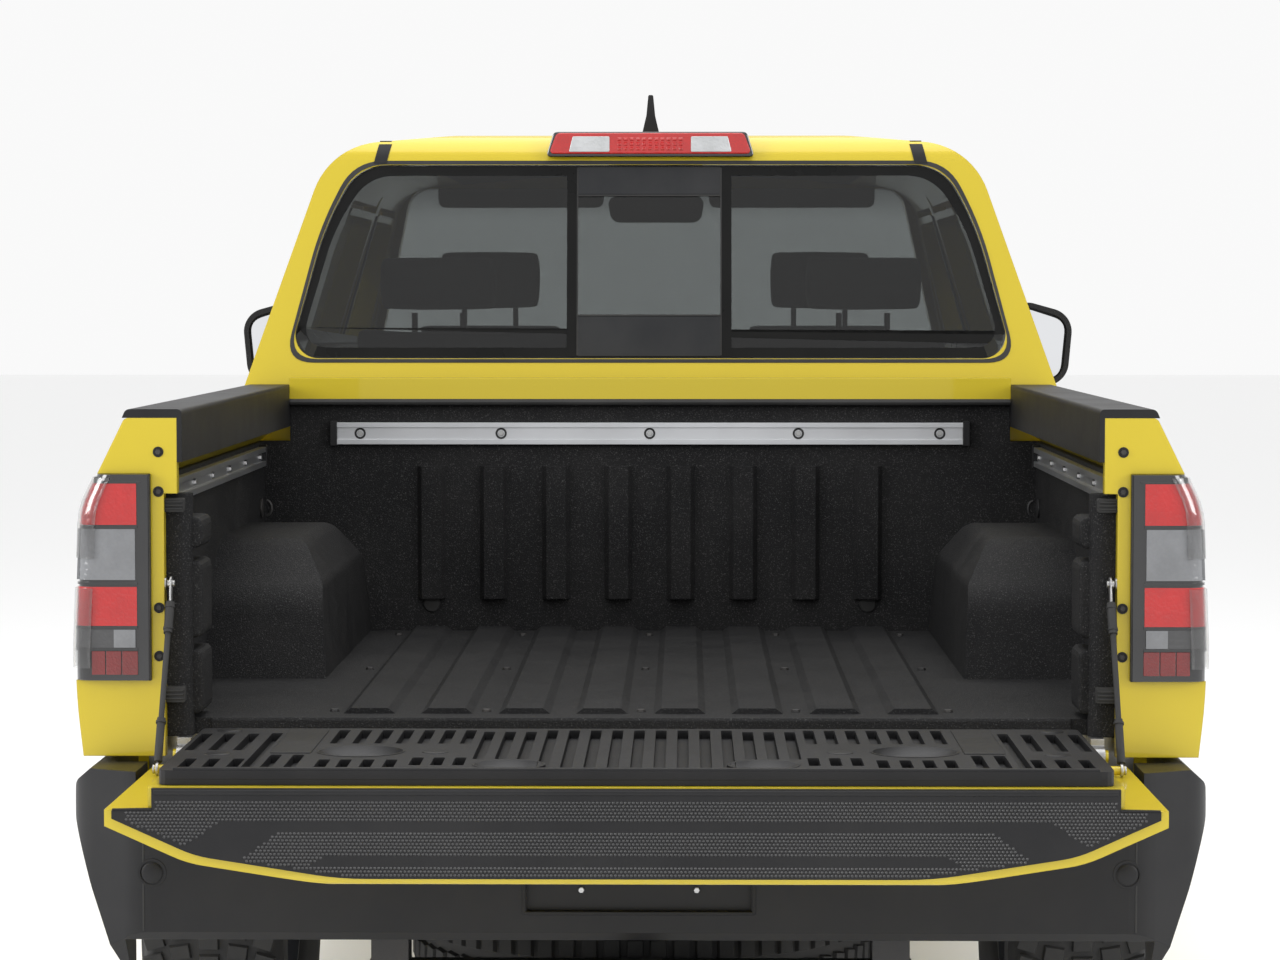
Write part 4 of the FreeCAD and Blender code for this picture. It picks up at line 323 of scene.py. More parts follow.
def glass(name, dark, clear, change_at=0.0):
    """Tinted glass whose tint changes at a place along the truck."""
    made = bpy.data.materials.new(name)
    made.use_nodes = True
    tree = made.node_tree
    surface = tree.nodes["Principled BSDF"]
    surface.inputs["Transmission Weight"].default_value = 1.0
    surface.inputs["IOR"].default_value = 1.45
    where = tree.nodes.new("ShaderNodeTexCoord")
    apart = tree.nodes.new("ShaderNodeSeparateXYZ")
    tree.links.new(where.outputs["Object"], apart.inputs[0])
    share = squeeze(tree, apart.outputs["Y"], change_at - 0.05, change_at + 0.05, 0.0, 1.0)
    tree.links.new(blend_colours(tree, share, dark + (1,), clear + (1,)), surface.inputs["Base Color"])
    smear = place(tree, "ShaderNodeTexNoise", Scale=9.0, Detail=4.0)
    tree.links.new(where.outputs["Object"], smear.inputs["Vector"])
    tree.links.new(squeeze(tree, smear.outputs["Fac"], 0.4, 0.7, 0.0, 0.02), surface.inputs["Roughness"])
    return made


def lens(name, colour, prism=160.0, deep=0.35, glow=0.0):
    """Lamp plastic: a clouded colour over small square prisms."""
    made = finish(name, colour, 0.2, dust=0.35, dust_colour=tuple(v * 0.45 for v in colour) + (1,),
                  cloud_scale=22.0, edge=0.0, Coat_Weight=1.0, Coat_Roughness=0.02)
    tree = made.node_tree
    surface = tree.nodes["Principled BSDF"]
    where = tree.nodes.new("ShaderNodeTexCoord")
    cells = place(tree, "ShaderNodeTexVoronoi", Scale=prism)
    cells.distance = "CHEBYCHEV"
    tree.links.new(where.outputs["Object"], cells.inputs["Vector"])
    raised = place(tree, "ShaderNodeBump", Strength=deep, Distance=0.002)
    tree.links.new(cells.outputs["Distance"], raised.inputs["Height"])
    tree.links.new(raised.outputs["Normal"], surface.inputs["Normal"])
    surface.inputs["Emission Color"].default_value = colour + (1,)
    surface.inputs["Emission Strength"].default_value = glow
    return made


LOOKS["tinted_glass"] = glass("tinted_glass", (0.16, 0.17, 0.17), (0.72, 0.76, 0.75), 0.9)
LOOKS["red_lens"] = lens("red_lamp_lens", (0.40, 0.005, 0.005), glow=0.12)
LOOKS["clear_lens"] = lens("clear_lamp_lens", (0.17, 0.175, 0.185), prism=110.0, deep=0.5)
DEEP_RED = lens("reflector_red", (0.16, 0.004, 0.004), prism=300.0, deep=0.5)
SMOKED = lens("smoked_lens", (0.04, 0.04, 0.042), prism=140.0, deep=0.4)
WHITE_LENS = lens("bright_lens", (0.50, 0.51, 0.52), prism=150.0, deep=0.4)
COVER = glass("clear_cover", (0.9, 0.9, 0.9), (0.92, 0.93, 0.93), 0.0)
for row in frame["record"]["subparts"]:
    slots = nodes[row["node"]].data.materials
    slots.clear()
    slots.append(LOOKS[row["material_slot"]])
nodes["rear_bumper"].data.materials[0] = SMOOTH
print("materials", len(bpy.data.materials))

# %% [markdown]
# ## Studio
# A pale floor, a white surround and three large soft lights, with the camera where the photograph was taken
# from: low, close behind the truck and a little to its right.

# %%
# Floor, lights and camera
floor_mesh = bpy.data.meshes.new("studio_floor")
floor_mesh.from_pydata([(-60, -60, 0), (60, -60, 0), (60, 60, 0), (-60, 60, 0)], [], [(0, 1, 2, 3)])
floor = bpy.data.objects.new("studio_floor", floor_mesh)
scene.collection.objects.link(floor)
pale = bpy.data.materials.new("pale_floor")
pale.use_nodes = True
pale_surface = pale.node_tree.nodes["Principled BSDF"]
pale_surface.inputs["Base Color"].default_value = (0.93, 0.93, 0.93, 1)
pale_surface.inputs["Roughness"].default_value = 0.9
floor_mesh.materials.append(pale)
world = bpy.data.worlds.new("studio")
world.use_nodes = True
surround = world.node_tree.nodes["Background"]
surround.inputs["Color"].default_value = (1, 1, 1, 1)
surround.inputs["Strength"].default_value = 0.95
scene.world = world


def softbox(name, where, target, width, height, power):
    """A large soft light, aimed at a point."""
    lamp = bpy.data.lights.new(name, "AREA")
    lamp.shape = "RECTANGLE"
    lamp.size, lamp.size_y, lamp.energy = width, height, power
    stand = bpy.data.objects.new(name, lamp)
    stand.location = where
    stand.rotation_euler = (Vector(target) - Vector(where)).to_track_quat("-Z", "Y").to_euler()
    scene.collection.objects.link(stand)


softbox("overhead", (0, -1.0, 7.0), (0, -1.0, 0), 5.0, 9.0, 300)
softbox("left_side", (-6.5, -5.0, 3.2), (0, -1.0, 1.0), 3.0, 3.0, 260)
softbox("right_side", (6.5, -5.5, 3.2), (0, -1.0, 1.0), 3.0, 3.0, 200)
LENS_LENGTH, FILM_WIDTH = 99.56, 36.0
EYE, TILT_DOWN, TURN_LEFT = (0.0712, -7.9435, 1.515), 2.975, 0.728
camera_data = bpy.data.cameras.new("camera")
camera_data.lens, camera_data.sensor_width = LENS_LENGTH, FILM_WIDTH
camera = bpy.data.objects.new("camera", camera_data)
camera.location = EYE
camera.rotation_euler = (math.radians(90 - TILT_DOWN), 0, math.radians(TURN_LEFT))
scene.collection.objects.link(camera)
scene.camera = camera
scene.view_settings.view_transform = "Standard"
print("studio ready")

# %% [markdown]
# ## Mesh helpers
# Most trim on a truck is either a pushed outline, a turned profile, a bent bar, or a thin sheet that
# follows a panel. Each helper returns plain points and faces, so that several forms can be joined into one
# piece before it is made.

# %%
# Outlines with round corners


def rounded(corners, steps=5):
    """A flat outline from (a, b, radius) corners, with each corner turned as an arc."""
    outline = []
    for i, (a, b, radius) in enumerate(corners):
        here = Vector((a, b))
        before = Vector(corners[i - 1][:2]) - here
        after = Vector(corners[(i + 1) % len(corners)][:2]) - here
        if radius <= 0:
            outline.append(tuple(here))
            continue
        half = before.angle(after) / 2
        run = min(radius / math.tan(half), before.length * 0.49, after.length * 0.49)
        start, end = here + before.normalized() * run, here + after.normalized() * run
        for k in range(steps + 1):
            t = k / steps
            outline.append(tuple(start * (1 - t) ** 2 + here * 2 * t * (1 - t) + end * t * t))
    return outline


def spaced(low, high, count):
    """Evenly spaced numbers, both ends included."""
    return [low + (high - low) * k / (count - 1) for k in range(count)]


def arc(a, b, radius, start, end, steps):
    """Points round a centre, from one angle to another in degrees."""
    turns = [math.radians(start + (end - start) * k / steps) for k in range(steps + 1)]
    return [(a + radius * math.cos(turn), b + radius * math.sin(turn)) for turn in turns]


def circle(a, b, radius, count):
    return [(a + radius * math.cos(math.tau * k / count), b + radius * math.sin(math.tau * k / count))
            for k in range(count)]


def box_outline(a0, a1, b0, b1, radius=0.0, steps=3):
    return rounded([(a0, b0, radius), (a1, b0, radius), (a1, b1, radius), (a0, b1, radius)], steps)


print("outline helpers ready")

# %%
# Pushed outlines, turned profiles, bars and sheets
PLANES = {"XY": lambda a, b, c: (a, b, c), "XZ": lambda a, b, c: (a, c, b), "YZ": lambda a, b, c: (c, a, b)}
NEAR_AXIS = 0.0005


def pushed(outline, plane, low, high):
    """A closed form from an outline pushed between two levels."""
    count, lay = len(outline), PLANES[plane]
    points = [lay(a, b, level) for level in (low, high) for a, b in outline]
    faces = [tuple(range(count)), tuple(range(count, 2 * count))]
    faces += [(i, (i + 1) % count, count + (i + 1) % count, count + i) for i in range(count)]
    return points, faces


def slab(plane, a0, a1, b0, b1, low, high, radius=0.0):
    """A box with round corners: its sides in a plane, then its two levels."""
    return pushed(box_outline(a0, a1, b0, b1, radius), plane, low, high)


def tube_faces(rows, steps):
    """The faces along rows of points, each row a ring, and the two end faces."""
    faces = [(r * steps + k, r * steps + (k + 1) % steps, (r + 1) * steps + (k + 1) % steps, (r + 1) * steps
              + k) for r in range(rows - 1) for k in range(steps)]
    return faces + [tuple(range(steps)), tuple((rows - 1) * steps + k for k in range(steps))]


def turned(profile, foot, along, steps=24):
    """A closed form from (radius, height) pairs turned about a line; its ends lie near the line."""
    along = Vector(along).normalized()
    side = along.orthogonal().normalized()
    other = along.cross(side)
    points = [tuple(Vector(foot) + along * h + (side * math.cos(math.tau * k / steps)
                                                + other * math.sin(math.tau * k / steps)) * r)
              for r, h in profile for k in range(steps)]
    return points, tube_faces(len(profile), steps)


def knob(profile, foot, along, steps=24, crown=0.0):
    """A turned form closed on its line at both ends; crown raises the middle of the far end."""
    ends = [(NEAR_AXIS, profile[0][1])], [(NEAR_AXIS, profile[-1][1] + crown)]
    return turned(ends[0] + profile + ends[1], foot, along, steps)


def turned_ring(profile, foot, along, steps=48):
    """A ring from a closed (radius, height) profile."""
    points, faces = turned(profile, foot, along, steps)
    last = (len(profile) - 1) * steps
    return points, faces[:-2] + [(last + k, last + (k + 1) % steps, (k + 1) % steps, k) for k in range(steps)]


def bar(path, radius, steps=8, flat=1.0, up=(0, 0, 1)):
    """A bar along a line of points, round or flattened across the up direction, with closed ends."""
    line, made = [Vector(p) for p in path], []
    for i, here in enumerate(line):
        before, after = line[max(i - 1, 0)], line[min(i + 1, len(line) - 1)]
        along = (after - before).normalized()
        side = along.cross(Vector(up)).normalized()
        rise = side.cross(along)
        made += [tuple(here + side * radius * math.cos(math.tau * k / steps)
                       + rise * radius * flat * math.sin(math.tau * k / steps)) for k in range(steps)]
    return made, tube_faces(len(line), steps)


def sheet_between(outer, inner, closed=False):
    """A closed sheet between two grids of points; closed joins each row's end to its start."""
    rows, columns = len(outer), len(outer[0])
    points = [tuple(p) for grid in (outer, inner) for row in grid for p in row]
    last = columns if closed else columns - 1

    def at(layer, row, column):
        return layer * rows * columns + row * columns + column % columns
    faces = []
    for row in range(rows - 1):
        for column in range(last):
            for layer in (0, 1):
                faces.append((at(layer, row, column), at(layer, row, column + 1),
                              at(layer, row + 1, column + 1), at(layer, row + 1, column)))
    for row in (0, rows - 1):
        faces += [(at(0, row, c), at(0, row, c + 1), at(1, row, c + 1), at(1, row, c)) for c in range(last)]
    if not closed:
        for column in (0, columns - 1):
            faces += [(at(0, r, column), at(0, r + 1, column), at(1, r + 1, column), at(1, r, column))
                      for r in range(rows - 1)]
    return points, faces


def joined(forms):
    """One form from a list of forms; a single form stays as it is."""
    if isinstance(forms, tuple):
        return forms
    points, faces = [], []
    for more_points, more_faces in forms:
        start = len(points)
        points += more_points
        faces += [tuple(start + i for i in face) for face in more_faces]
    return points, faces


def mirror_x(form):
    points, faces = joined(form)
    return [(-x, y, z) for x, y, z in points], faces


def both(form):
    """A form, or a list of them, with its mirror image across the truck."""
    return joined([joined(form), mirror_x(form)])


print("form helpers ready")

# %%
# A finished piece


def look_of(look, slot):
    """A material and its slot: a slot's name brings its own material; other materials are black trim."""
    if isinstance(look, str):
        return LOOKS[look], slot or look
    return look, slot or "black_plastic"


def dress(made, body, stands_for, across=None):
    """Gives a finished object its body, or fixes its place when it spans two, and hides the nodes it stands
    for.
    """
    if across:
        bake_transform(made)
    else:
        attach(made, body)
    for node_name in stands_for:
        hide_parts(node_name)
    return made


def piece(name, form, look=SMOOTH, body="chassis", slot=None, edge=0.0, smooth=False, stands_for=(),
          segments=2, across=None):
    """An object from points and faces, or from a list of such forms, with outward faces and a finish."""
    points, faces = joined(form)
    mesh = bpy.data.meshes.new(name)
    mesh.from_pydata(points, [], faces)
    work = bmesh.new()
    work.from_mesh(mesh)
    bmesh.ops.remove_doubles(work, verts=work.verts, dist=0.00002)
    bmesh.ops.recalc_face_normals(work, faces=work.faces)
    work.to_mesh(mesh)
    work.free()
    mesh.materials.append(look_of(look, slot)[0])
    made = bpy.data.objects.new(name, mesh)
    scene.collection.objects.link(made)
    if smooth:
        mesh.shade_smooth()
        mesh.set_sharp_from_angle(angle=math.radians(38))
    if edge:
        round_off = made.modifiers.new("rounded_edges", "BEVEL")
        round_off.width, round_off.segments = edge, segments
        round_off.limit_method, round_off.angle_limit = "ANGLE", math.radians(35)
        round_off.harden_normals = False
    return dress(made, body, stands_for, across)


def mirrored_pair(name, form, bodies, look=SMOOTH, slot=None, **more):
    """A right-hand piece and its mirror image, each on its own body."""
    for side_name, shape in (("right", form), ("left", mirror_x(form))):
        piece(f"{name}_{side_name}", shape, look, f"{bodies}_{side_name}", slot, **more)


trees = {}


def onto(node_name, start, toward):
    """Where a straight line from a start meets a node's skin, and the skin's direction there."""
    if node_name not in trees:
        mesh = nodes[node_name].data
        trees[node_name] = BVHTree.FromPolygons([v.co.copy() for v in mesh.vertices],
                                                [tuple(p.vertices) for p in mesh.polygons])
    where, normal, _, _ = trees[node_name].ray_cast(Vector(start), Vector(toward))
    return where, normal


def draped(node_name, toward, starts, out, sunk, closed=False):
    """A thin sheet over a grid of places on a node's skin, from out above it to sunk below it."""
    toward = Vector(toward)
    outer, inner = [], []
    for row in starts:
        hits = [onto(node_name, start, toward)[0] for start in row]
        known = [h for h in hits if h is not None]
        if not known:
            continue
        hits = [h if h is not None else known[0] for h in hits]
        outer.append([h - toward * out for h in hits])
        inner.append([h + toward * sunk for h in hits])
    return sheet_between(outer, inner, closed)


def lifted(loops, plane, level):
    """Rows of flat places, raised to a level, as starts for rays."""
    return [[PLANES[plane](a, b, level) for a, b in loop] for loop in loops]


def ray_grid(plane, across, upward, level):
    """A grid of starts; across and upward are (low, high, count)."""
    return lifted([[(a, b) for a in spaced(*across)] for b in spaced(*upward)], plane, level)


print("piece helpers ready")

# %% [markdown]
# ## A tree for repeats
# Bolts, texture points, tread blocks and studs are one shape many times over. This Geometry Nodes tree puts
# a small tapered stud on every point of a mesh: its number of sides and its taper are inputs, and each
# point carries its own turn. With four sides it is a block, with six a bolt head or a texture point. The
# instances are realised at the end, because the export keeps only real faces.

# %%
# Geometry Nodes: one stud on each point


def stud_tree():
    tree = bpy.data.node_groups.new("repeated_stud", "GeometryNodeTree")
    for label, kind in (("Geometry", "Geometry"), ("Sides", "Int"), ("Top Share", "Float"),
                        ("Size", "Vector"), ("Spin", "Float"), ("Finish", "Material")):
        tree.interface.new_socket(name=label, in_out="INPUT", socket_type="NodeSocket" + kind)
    tree.interface.new_socket(name="Geometry", in_out="OUTPUT", socket_type="NodeSocketGeometry")
    entry, leave = tree.nodes.new("NodeGroupInput"), tree.nodes.new("NodeGroupOutput")
    stud = place(tree, "GeometryNodeMeshCone", Radius_Bottom=0.5, Depth=1.0)
    stud.fill_type = "NGON"
    top = arithmetic(tree, "MULTIPLY", entry.outputs["Top Share"], 0.5)
    tree.links.new(entry.outputs["Sides"], stud.inputs["Vertices"])
    tree.links.new(top, stud.inputs["Radius Top"])
    spin = tree.nodes.new("ShaderNodeCombineXYZ")
    tree.links.new(entry.outputs["Spin"], spin.inputs["Z"])
    spun = tree.nodes.new("GeometryNodeTransform")
    sized = tree.nodes.new("GeometryNodeTransform")
    tree.links.new(stud.outputs["Mesh"], spun.inputs["Geometry"])
    tree.links.new(spin.outputs[0], spun.inputs["Rotation"])
    tree.links.new(spun.outputs[0], sized.inputs["Geometry"])
    tree.links.new(entry.outputs["Size"], sized.inputs["Scale"])
    turn = tree.nodes.new("GeometryNodeInputNamedAttribute")
    turn.data_type = "FLOAT_VECTOR"
    turn.inputs["Name"].default_value = "turn"
    spread = tree.nodes.new("GeometryNodeInstanceOnPoints")
    tree.links.new(entry.outputs["Geometry"], spread.inputs["Points"])
    tree.links.new(sized.outputs[0], spread.inputs["Instance"])
    tree.links.new(turn.outputs["Attribute"], spread.inputs["Rotation"])
    real = tree.nodes.new("GeometryNodeRealizeInstances")
    paint = tree.nodes.new("GeometryNodeSetMaterial")
    tree.links.new(spread.outputs[0], real.inputs[0])
    tree.links.new(real.outputs[0], paint.inputs["Geometry"])
    tree.links.new(entry.outputs["Finish"], paint.inputs["Material"])
    tree.links.new(paint.outputs[0], leave.inputs["Geometry"])
    return tree


STUD = stud_tree()
KEYS = {item.name: item.identifier for item in STUD.interface.items_tree if item.in_out == "INPUT"}


def repeated(name, places, sides, taper, size, look, body="chassis", slot=None, spin=0.0, stands_for=()):
    """Studs on a list of (point, turn), made by the tree and kept as a plain mesh."""
    cloud = bpy.data.meshes.new(name + "_places")
    cloud.from_pydata([tuple(where) for where, _ in places], [], [])
    turns = cloud.attributes.new("turn", "FLOAT_VECTOR", "POINT")
    for i, (_, turn) in enumerate(places):
        turns.data[i].vector = turn
    made = bpy.data.objects.new(name, cloud)
    scene.collection.objects.link(made)
    tree = made.modifiers.new("studs", "NODES")
    tree.node_group = STUD
    for key, value in (("Sides", sides), ("Top Share", taper), ("Size", size), ("Spin", spin),
                       ("Finish", look_of(look, slot)[0])):
        tree[KEYS[key]] = value
    bpy.context.view_layer.update()
    made.data = bpy.data.meshes.new_from_object(made.evaluated_get(bpy.context.evaluated_depsgraph_get()))
    made.modifiers.clear()
    made.data.name = name
    return dress(made, body, stands_for)


def bolts(name, places, across, tall, look, slot=None):
    """Six-sided bolt heads."""
    return repeated(name, places, 6, 0.85, (across, across, tall), look, slot=slot)


def blocks(name, places, wide, long, tall, taper, look, body="chassis", stands_for=()):
    """Blocks: a four-sided stud is a square on its corner, so it is turned and grown to its sides."""
    size = (wide * math.sqrt(2), long * math.sqrt(2), tall)
    return repeated(name, places, 4, taper, size, look, body, spin=math.radians(45), stands_for=stands_for)


QUARTER = math.pi / 2
TO_BACK, TO_FRONT = (QUARTER, 0, 0), (-QUARTER, 0, 0)
TO_RIGHT, TO_LEFT, UP = (0, QUARTER, 0), (0, -QUARTER, 0), (0, 0, 0)
print("tree inputs", sorted(KEYS))

# %% [markdown]
# ## The tailgate's liner
# The liner is one moulded sheet with narrow slots along the truck, whose far walls catch the light, and two
# dished rounds for cups. It could be a bump in a material, but the slots are deep enough to see into, so
# the sheet is a flat outline with holes, pushed to its thickness, over a floor a little below it.

# %%
# Where the slots are
gate_low, gate_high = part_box("tailgate_liner")
LINER_TOP, LINER_NEAR, LINER_FAR = gate_high.z, gate_low.y, gate_high.y + 0.022
SLOT_WIDE = 0.017
slot_rows = [((-0.679, -0.643, -0.605), -2.618, -2.413), ((-0.662, -0.627, -0.591), -2.825, -2.715),
             ((-0.569,), -2.822, -2.405), ((-0.541, -0.507), -2.826, -2.668),
             ((-0.4665, -0.432, -0.398, -0.365, -0.332, -0.299, -0.266), -2.535, -2.366),
             ((-0.463, -0.431, -0.397, -0.363), -2.826, -2.722), ((-0.3258, -0.294, -0.262), -2.786, -2.698),
             ((-0.236, -0.203, -0.170), -2.715, -2.385),
             ((-0.1368, -0.1025, -0.0683, -0.0342), -2.824, -2.366)]
slots = [(x, near, far) for across, near, far in slot_rows for x in across]
slots = slots + [(-x, near, far) for x, near, far in slots] + [(0.0, -2.824, -2.366)]
dishes = [(side * x, y, r) for side in (1, -1)
          for x, y, r in ((-0.418, -2.629, 0.063), (-0.187, -2.778, 0.05))]
print("slots", len(slots), "dishes", len(dishes))

# %%
# The slotted sheet


def sheet_with_holes(outline, holes, low, high):
    """A flat sheet with holes: Blender fills a curve of several outlines, and the result is pushed up."""
    drawing = bpy.data.curves.new("drawing", "CURVE")
    drawing.dimensions, drawing.fill_mode = "2D", "BOTH"
    drawing.extrude = (high - low) / 2
    for ring in [outline] + holes:
        line = drawing.splines.new("POLY")
        line.points.add(len(ring) - 1)
        for point, (a, b) in zip(line.points, ring):
            point.co = (a, b, 0, 1)
        line.use_cyclic_u = True
    holder = bpy.data.objects.new("drawing", drawing)
    scene.collection.objects.link(holder)
    bpy.context.view_layer.update()
    flat = bpy.data.meshes.new_from_object(holder.evaluated_get(bpy.context.evaluated_depsgraph_get()))
    points = [(v.co.x, v.co.y, v.co.z + (low + high) / 2) for v in flat.vertices]
    faces = [tuple(p.vertices) for p in flat.polygons]
    bpy.data.objects.remove(holder)
    return points, faces


liner_outline = rounded([(-0.694, LINER_NEAR, 0.02), (0.694, LINER_NEAR, 0.02), (0.694, LINER_FAR, 0.012),
                         (-0.694, LINER_FAR, 0.012)], 4)
holes = [box_outline(x - SLOT_WIDE / 2, x + SLOT_WIDE / 2, near, far, 0.004) for x, near, far in slots]
holes += [circle(x, y, r, 40) for x, y, r in dishes]
SLOT_FLOOR = LINER_TOP - 0.013
liner = joined([sheet_with_holes(liner_outline, holes, SLOT_FLOOR, LINER_TOP),
                pushed(liner_outline, "XY", gate_low.z + 0.0005, SLOT_FLOOR)])
piece("gate_liner_sheet", liner, "black_plastic", "tailgate", slot="liner", edge=0.0012,
      stands_for=["tailgate_liner"])
bowls = []
for x, y, r in dishes:
    bowls.append(turned_ring([(r + 0.004, LINER_TOP + 0.0008), (r + 0.0005, LINER_TOP + 0.0008),
                              (r - 0.012, LINER_TOP - 0.010), (r * 0.5, LINER_TOP - 0.0125),
                              (0.002, LINER_TOP - 0.0125), (0.002, LINER_TOP - 0.0128),
                              (r - 0.01, LINER_TOP - 0.0128), (r + 0.004, LINER_TOP - 0.003)], (x, y, 0),
                             (0, 0, 1), 40))
piece("gate_liner_dishes", bowls, SMOOTH, "tailgate", slot="liner", smooth=True)
print("liner", [round(v, 3) for v in (LINER_NEAR, LINER_FAR, LINER_TOP)])

# %%
# Panels, screw covers and borders on the liner
DISH_PANEL_OUT, DISH_PANEL_IN = -0.553, -0.491
SCREW_COVERS = ((-0.649, -2.378), (-0.63, -2.664), (-0.305, -2.64))
panels = [slab("XY", side * DISH_PANEL_OUT, side * DISH_PANEL_IN, -2.655, -2.372, LINER_TOP - 0.001, LINER_TOP
               + 0.0015, 0.004) for side in (1, -1)]
panels.append(slab("XY", -0.672, 0.672, LINER_NEAR + 0.0012, LINER_NEAR + 0.0145, LINER_TOP - 0.002, LINER_TOP
                   + 0.0035, 0.003))
for x, y in SCREW_COVERS:
    for side in (1, -1):
        panels.append(turned([(NEAR_AXIS, LINER_TOP + 0.0025), (0.013, LINER_TOP + 0.0022),
                              (0.019, LINER_TOP + 0.0012), (0.0205, LINER_TOP - 0.001),
                              (NEAR_AXIS, LINER_TOP - 0.001)], (side * x, y, 0), (0, 0, 1)))
piece("gate_liner_covers", panels, body="tailgate", slot="liner", edge=0.0008)
print("covers", len(panels))

# %% [markdown]
# ## The tailgate's top trim
# Along the gate's top edge, which faces the camera here, runs a black moulding with a fine texture of tiny
# points, and two smooth bands that turn down at their ends. The points are real geometry: a hexagonal field
# of studs with the bands left out of it.

# %%
# The field of points
PITCH, FACE = 0.0058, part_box("tailgate_top_trim")[0].y
ROW_STEP = PITCH * 0.866
FIELD_TOP, FIELD_LOW, COLUMNS = 0.789, 0.665, 130


def below(x, z, x_bend, z_top, slope):
    """Whether a point is under a line that is level towards the middle and falls beyond a bend."""
    return z < z_top - max(0.0, abs(x) - x_bend) * slope


def trim_edge(x):
    """The trim's lower edge: shallow at the ends, deep at the middle."""
    return 0.6775 + max(0.0, abs(x) - 0.42) * 0.145 + max(0.0, abs(x) - 0.62) * 0.28


def textured(x, z):
    """Whether a point lies inside the trim's outline and in neither of its two smooth bands."""
    if z > 0.7855 or abs(x) > (0.694 if z > 0.769 else 0.738) or z < trim_edge(x):
        return False
    in_first = below(x, z, 0.6006, 0.7553, 0.66) and not below(x, z, 0.5167, 0.7405, 0.753)
    in_second = abs(x) < 0.4503 + (0.7059 - z) * 1.43 and 0.6928 < z < 0.7059
    return not (in_first or in_second)


field = []
for row in range(int((FIELD_TOP + 0.001 - FIELD_LOW) / ROW_STEP)):
    z, shift = FIELD_TOP - row * ROW_STEP, PITCH / 2 * (row % 2)
    field += [((column * PITCH + shift, FACE + 0.0002, z), TO_BACK) for column in range(-COLUMNS, COLUMNS + 1)
              if textured(column * PITCH + shift, z)]
# The studs carry the lighter grey finish, a painted glint over the trim's black.
repeated("gate_trim_texture", field, 6, 0.35, (PITCH * 0.9, PITCH * 0.9, 0.0016), PAINTED_GLINT_STUDS, "tailgate")
print("texture points", len(field))

# %% [markdown]
# ## Bed floor lip
# Between the bed floor and the lowered gate the real floor rounds down in a speckled lip. The gate's liner
# sweeps close past it as the gate closes, so it is only a thin strip.

# %%
# The lip and the gate's top edge
FLOOR_END, BED_FLOOR = -2.2875, 0.8385
lip = [(FLOOR_END + 0.01, BED_FLOOR), (FLOOR_END + 0.01, 0.815), (FLOOR_END - 0.002, 0.815),
       (FLOOR_END - 0.0035, 0.820), (FLOOR_END - 0.0035, 0.834), (FLOOR_END - 0.001, BED_FLOOR)]
piece("bed_floor_lip", pushed(lip, "YZ", -0.69, 0.69), "liner", edge=0.001)
top_edge = bar([(-0.697, FACE + 0.003, 0.7985), (0.697, FACE + 0.003, 0.7985)], 0.0052, 10)
band_ends = [pushed([(side * 0.7, 0.7725), (side * 0.7, 0.7755), (side * 0.757, 0.7745),
                     (side * 0.757, 0.7722)], "XZ", FACE - 0.001, FACE + 0.006) for side in (1, -1)]
piece("gate_trim_edge", [top_edge] + band_ends, body="tailgate", smooth=True)
print("lip and edge at", round(FACE, 4))

# %% [markdown]
# ## Tail lamps
# Each lamp wraps round the body's corner: a gloss black housing with a strip inboard, then red, clear, red,
# smoked and dark red fields one above another behind a clear edge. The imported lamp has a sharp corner, so
# the housing is built again with a round one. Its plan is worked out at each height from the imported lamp's
# own side.

# %%
# The lamp's plan at a height
lamp_low, lamp_high = 0.905, 1.233
LAMP_BACK, LAMP_IN, LAMP_END = -2.3575, 0.7785, -2.155


def lamp_side(z):
    """The body side's x at a lamp's height."""
    return onto("rear_lamps", (1.5, -2.30, min(max(z, 0.907), 1.231)), (-1, 0, 0))[0].x


CORNER, CORNER_STEPS = 0.026, 6


def lamp_path(z, start, end, out):
    """Points from a place on the rear face, round the corner and forward along the side."""
    side = lamp_side(z)
    centre = (side - CORNER, LAMP_BACK + CORNER)
    path = [(start + (centre[0] - start) * k / 3, LAMP_BACK - out, z) for k in range(4)]
    path += [(a, b, z) for a, b in arc(*centre, CORNER + out, -90, 0, CORNER_STEPS)[1:]]
    return path + [(side + out, centre[1] + (end - centre[1]) * k / 4, z) for k in range(1, 5)]


def lamp_sheet(levels, start, end, out, sunk):
    """A field of lens round the corner; start and end are numbers or functions of the height."""
    def value(given, z):
        return given(z) if callable(given) else given
    outer = [lamp_path(z, value(start, z), value(end, z), out) for z in levels]
    inner = [lamp_path(z, value(start, z), value(end, z), -sunk) for z in levels]
    return sheet_between(outer, inner)


def lamp_end(z):
    """The slanting front edge of the lamp."""
    return LAMP_END - 0.05 * (lamp_high - z) / (lamp_high - lamp_low)


housing_levels = spaced(lamp_low, lamp_high, 12)
housing = lamp_sheet(housing_levels, LAMP_IN, lamp_end, 0.0, 0.030)
back_box = slab("XY", LAMP_IN, 0.865, -2.350, -2.20, lamp_low + 0.004, lamp_high - 0.004)
piece("tail_lamp_housings", both([housing, back_box]), GLOSS, slot="red_lens", edge=0.002,
      stands_for=["rear_lamps"])
print("lamp side at mid height", round(lamp_side(1.07), 4))

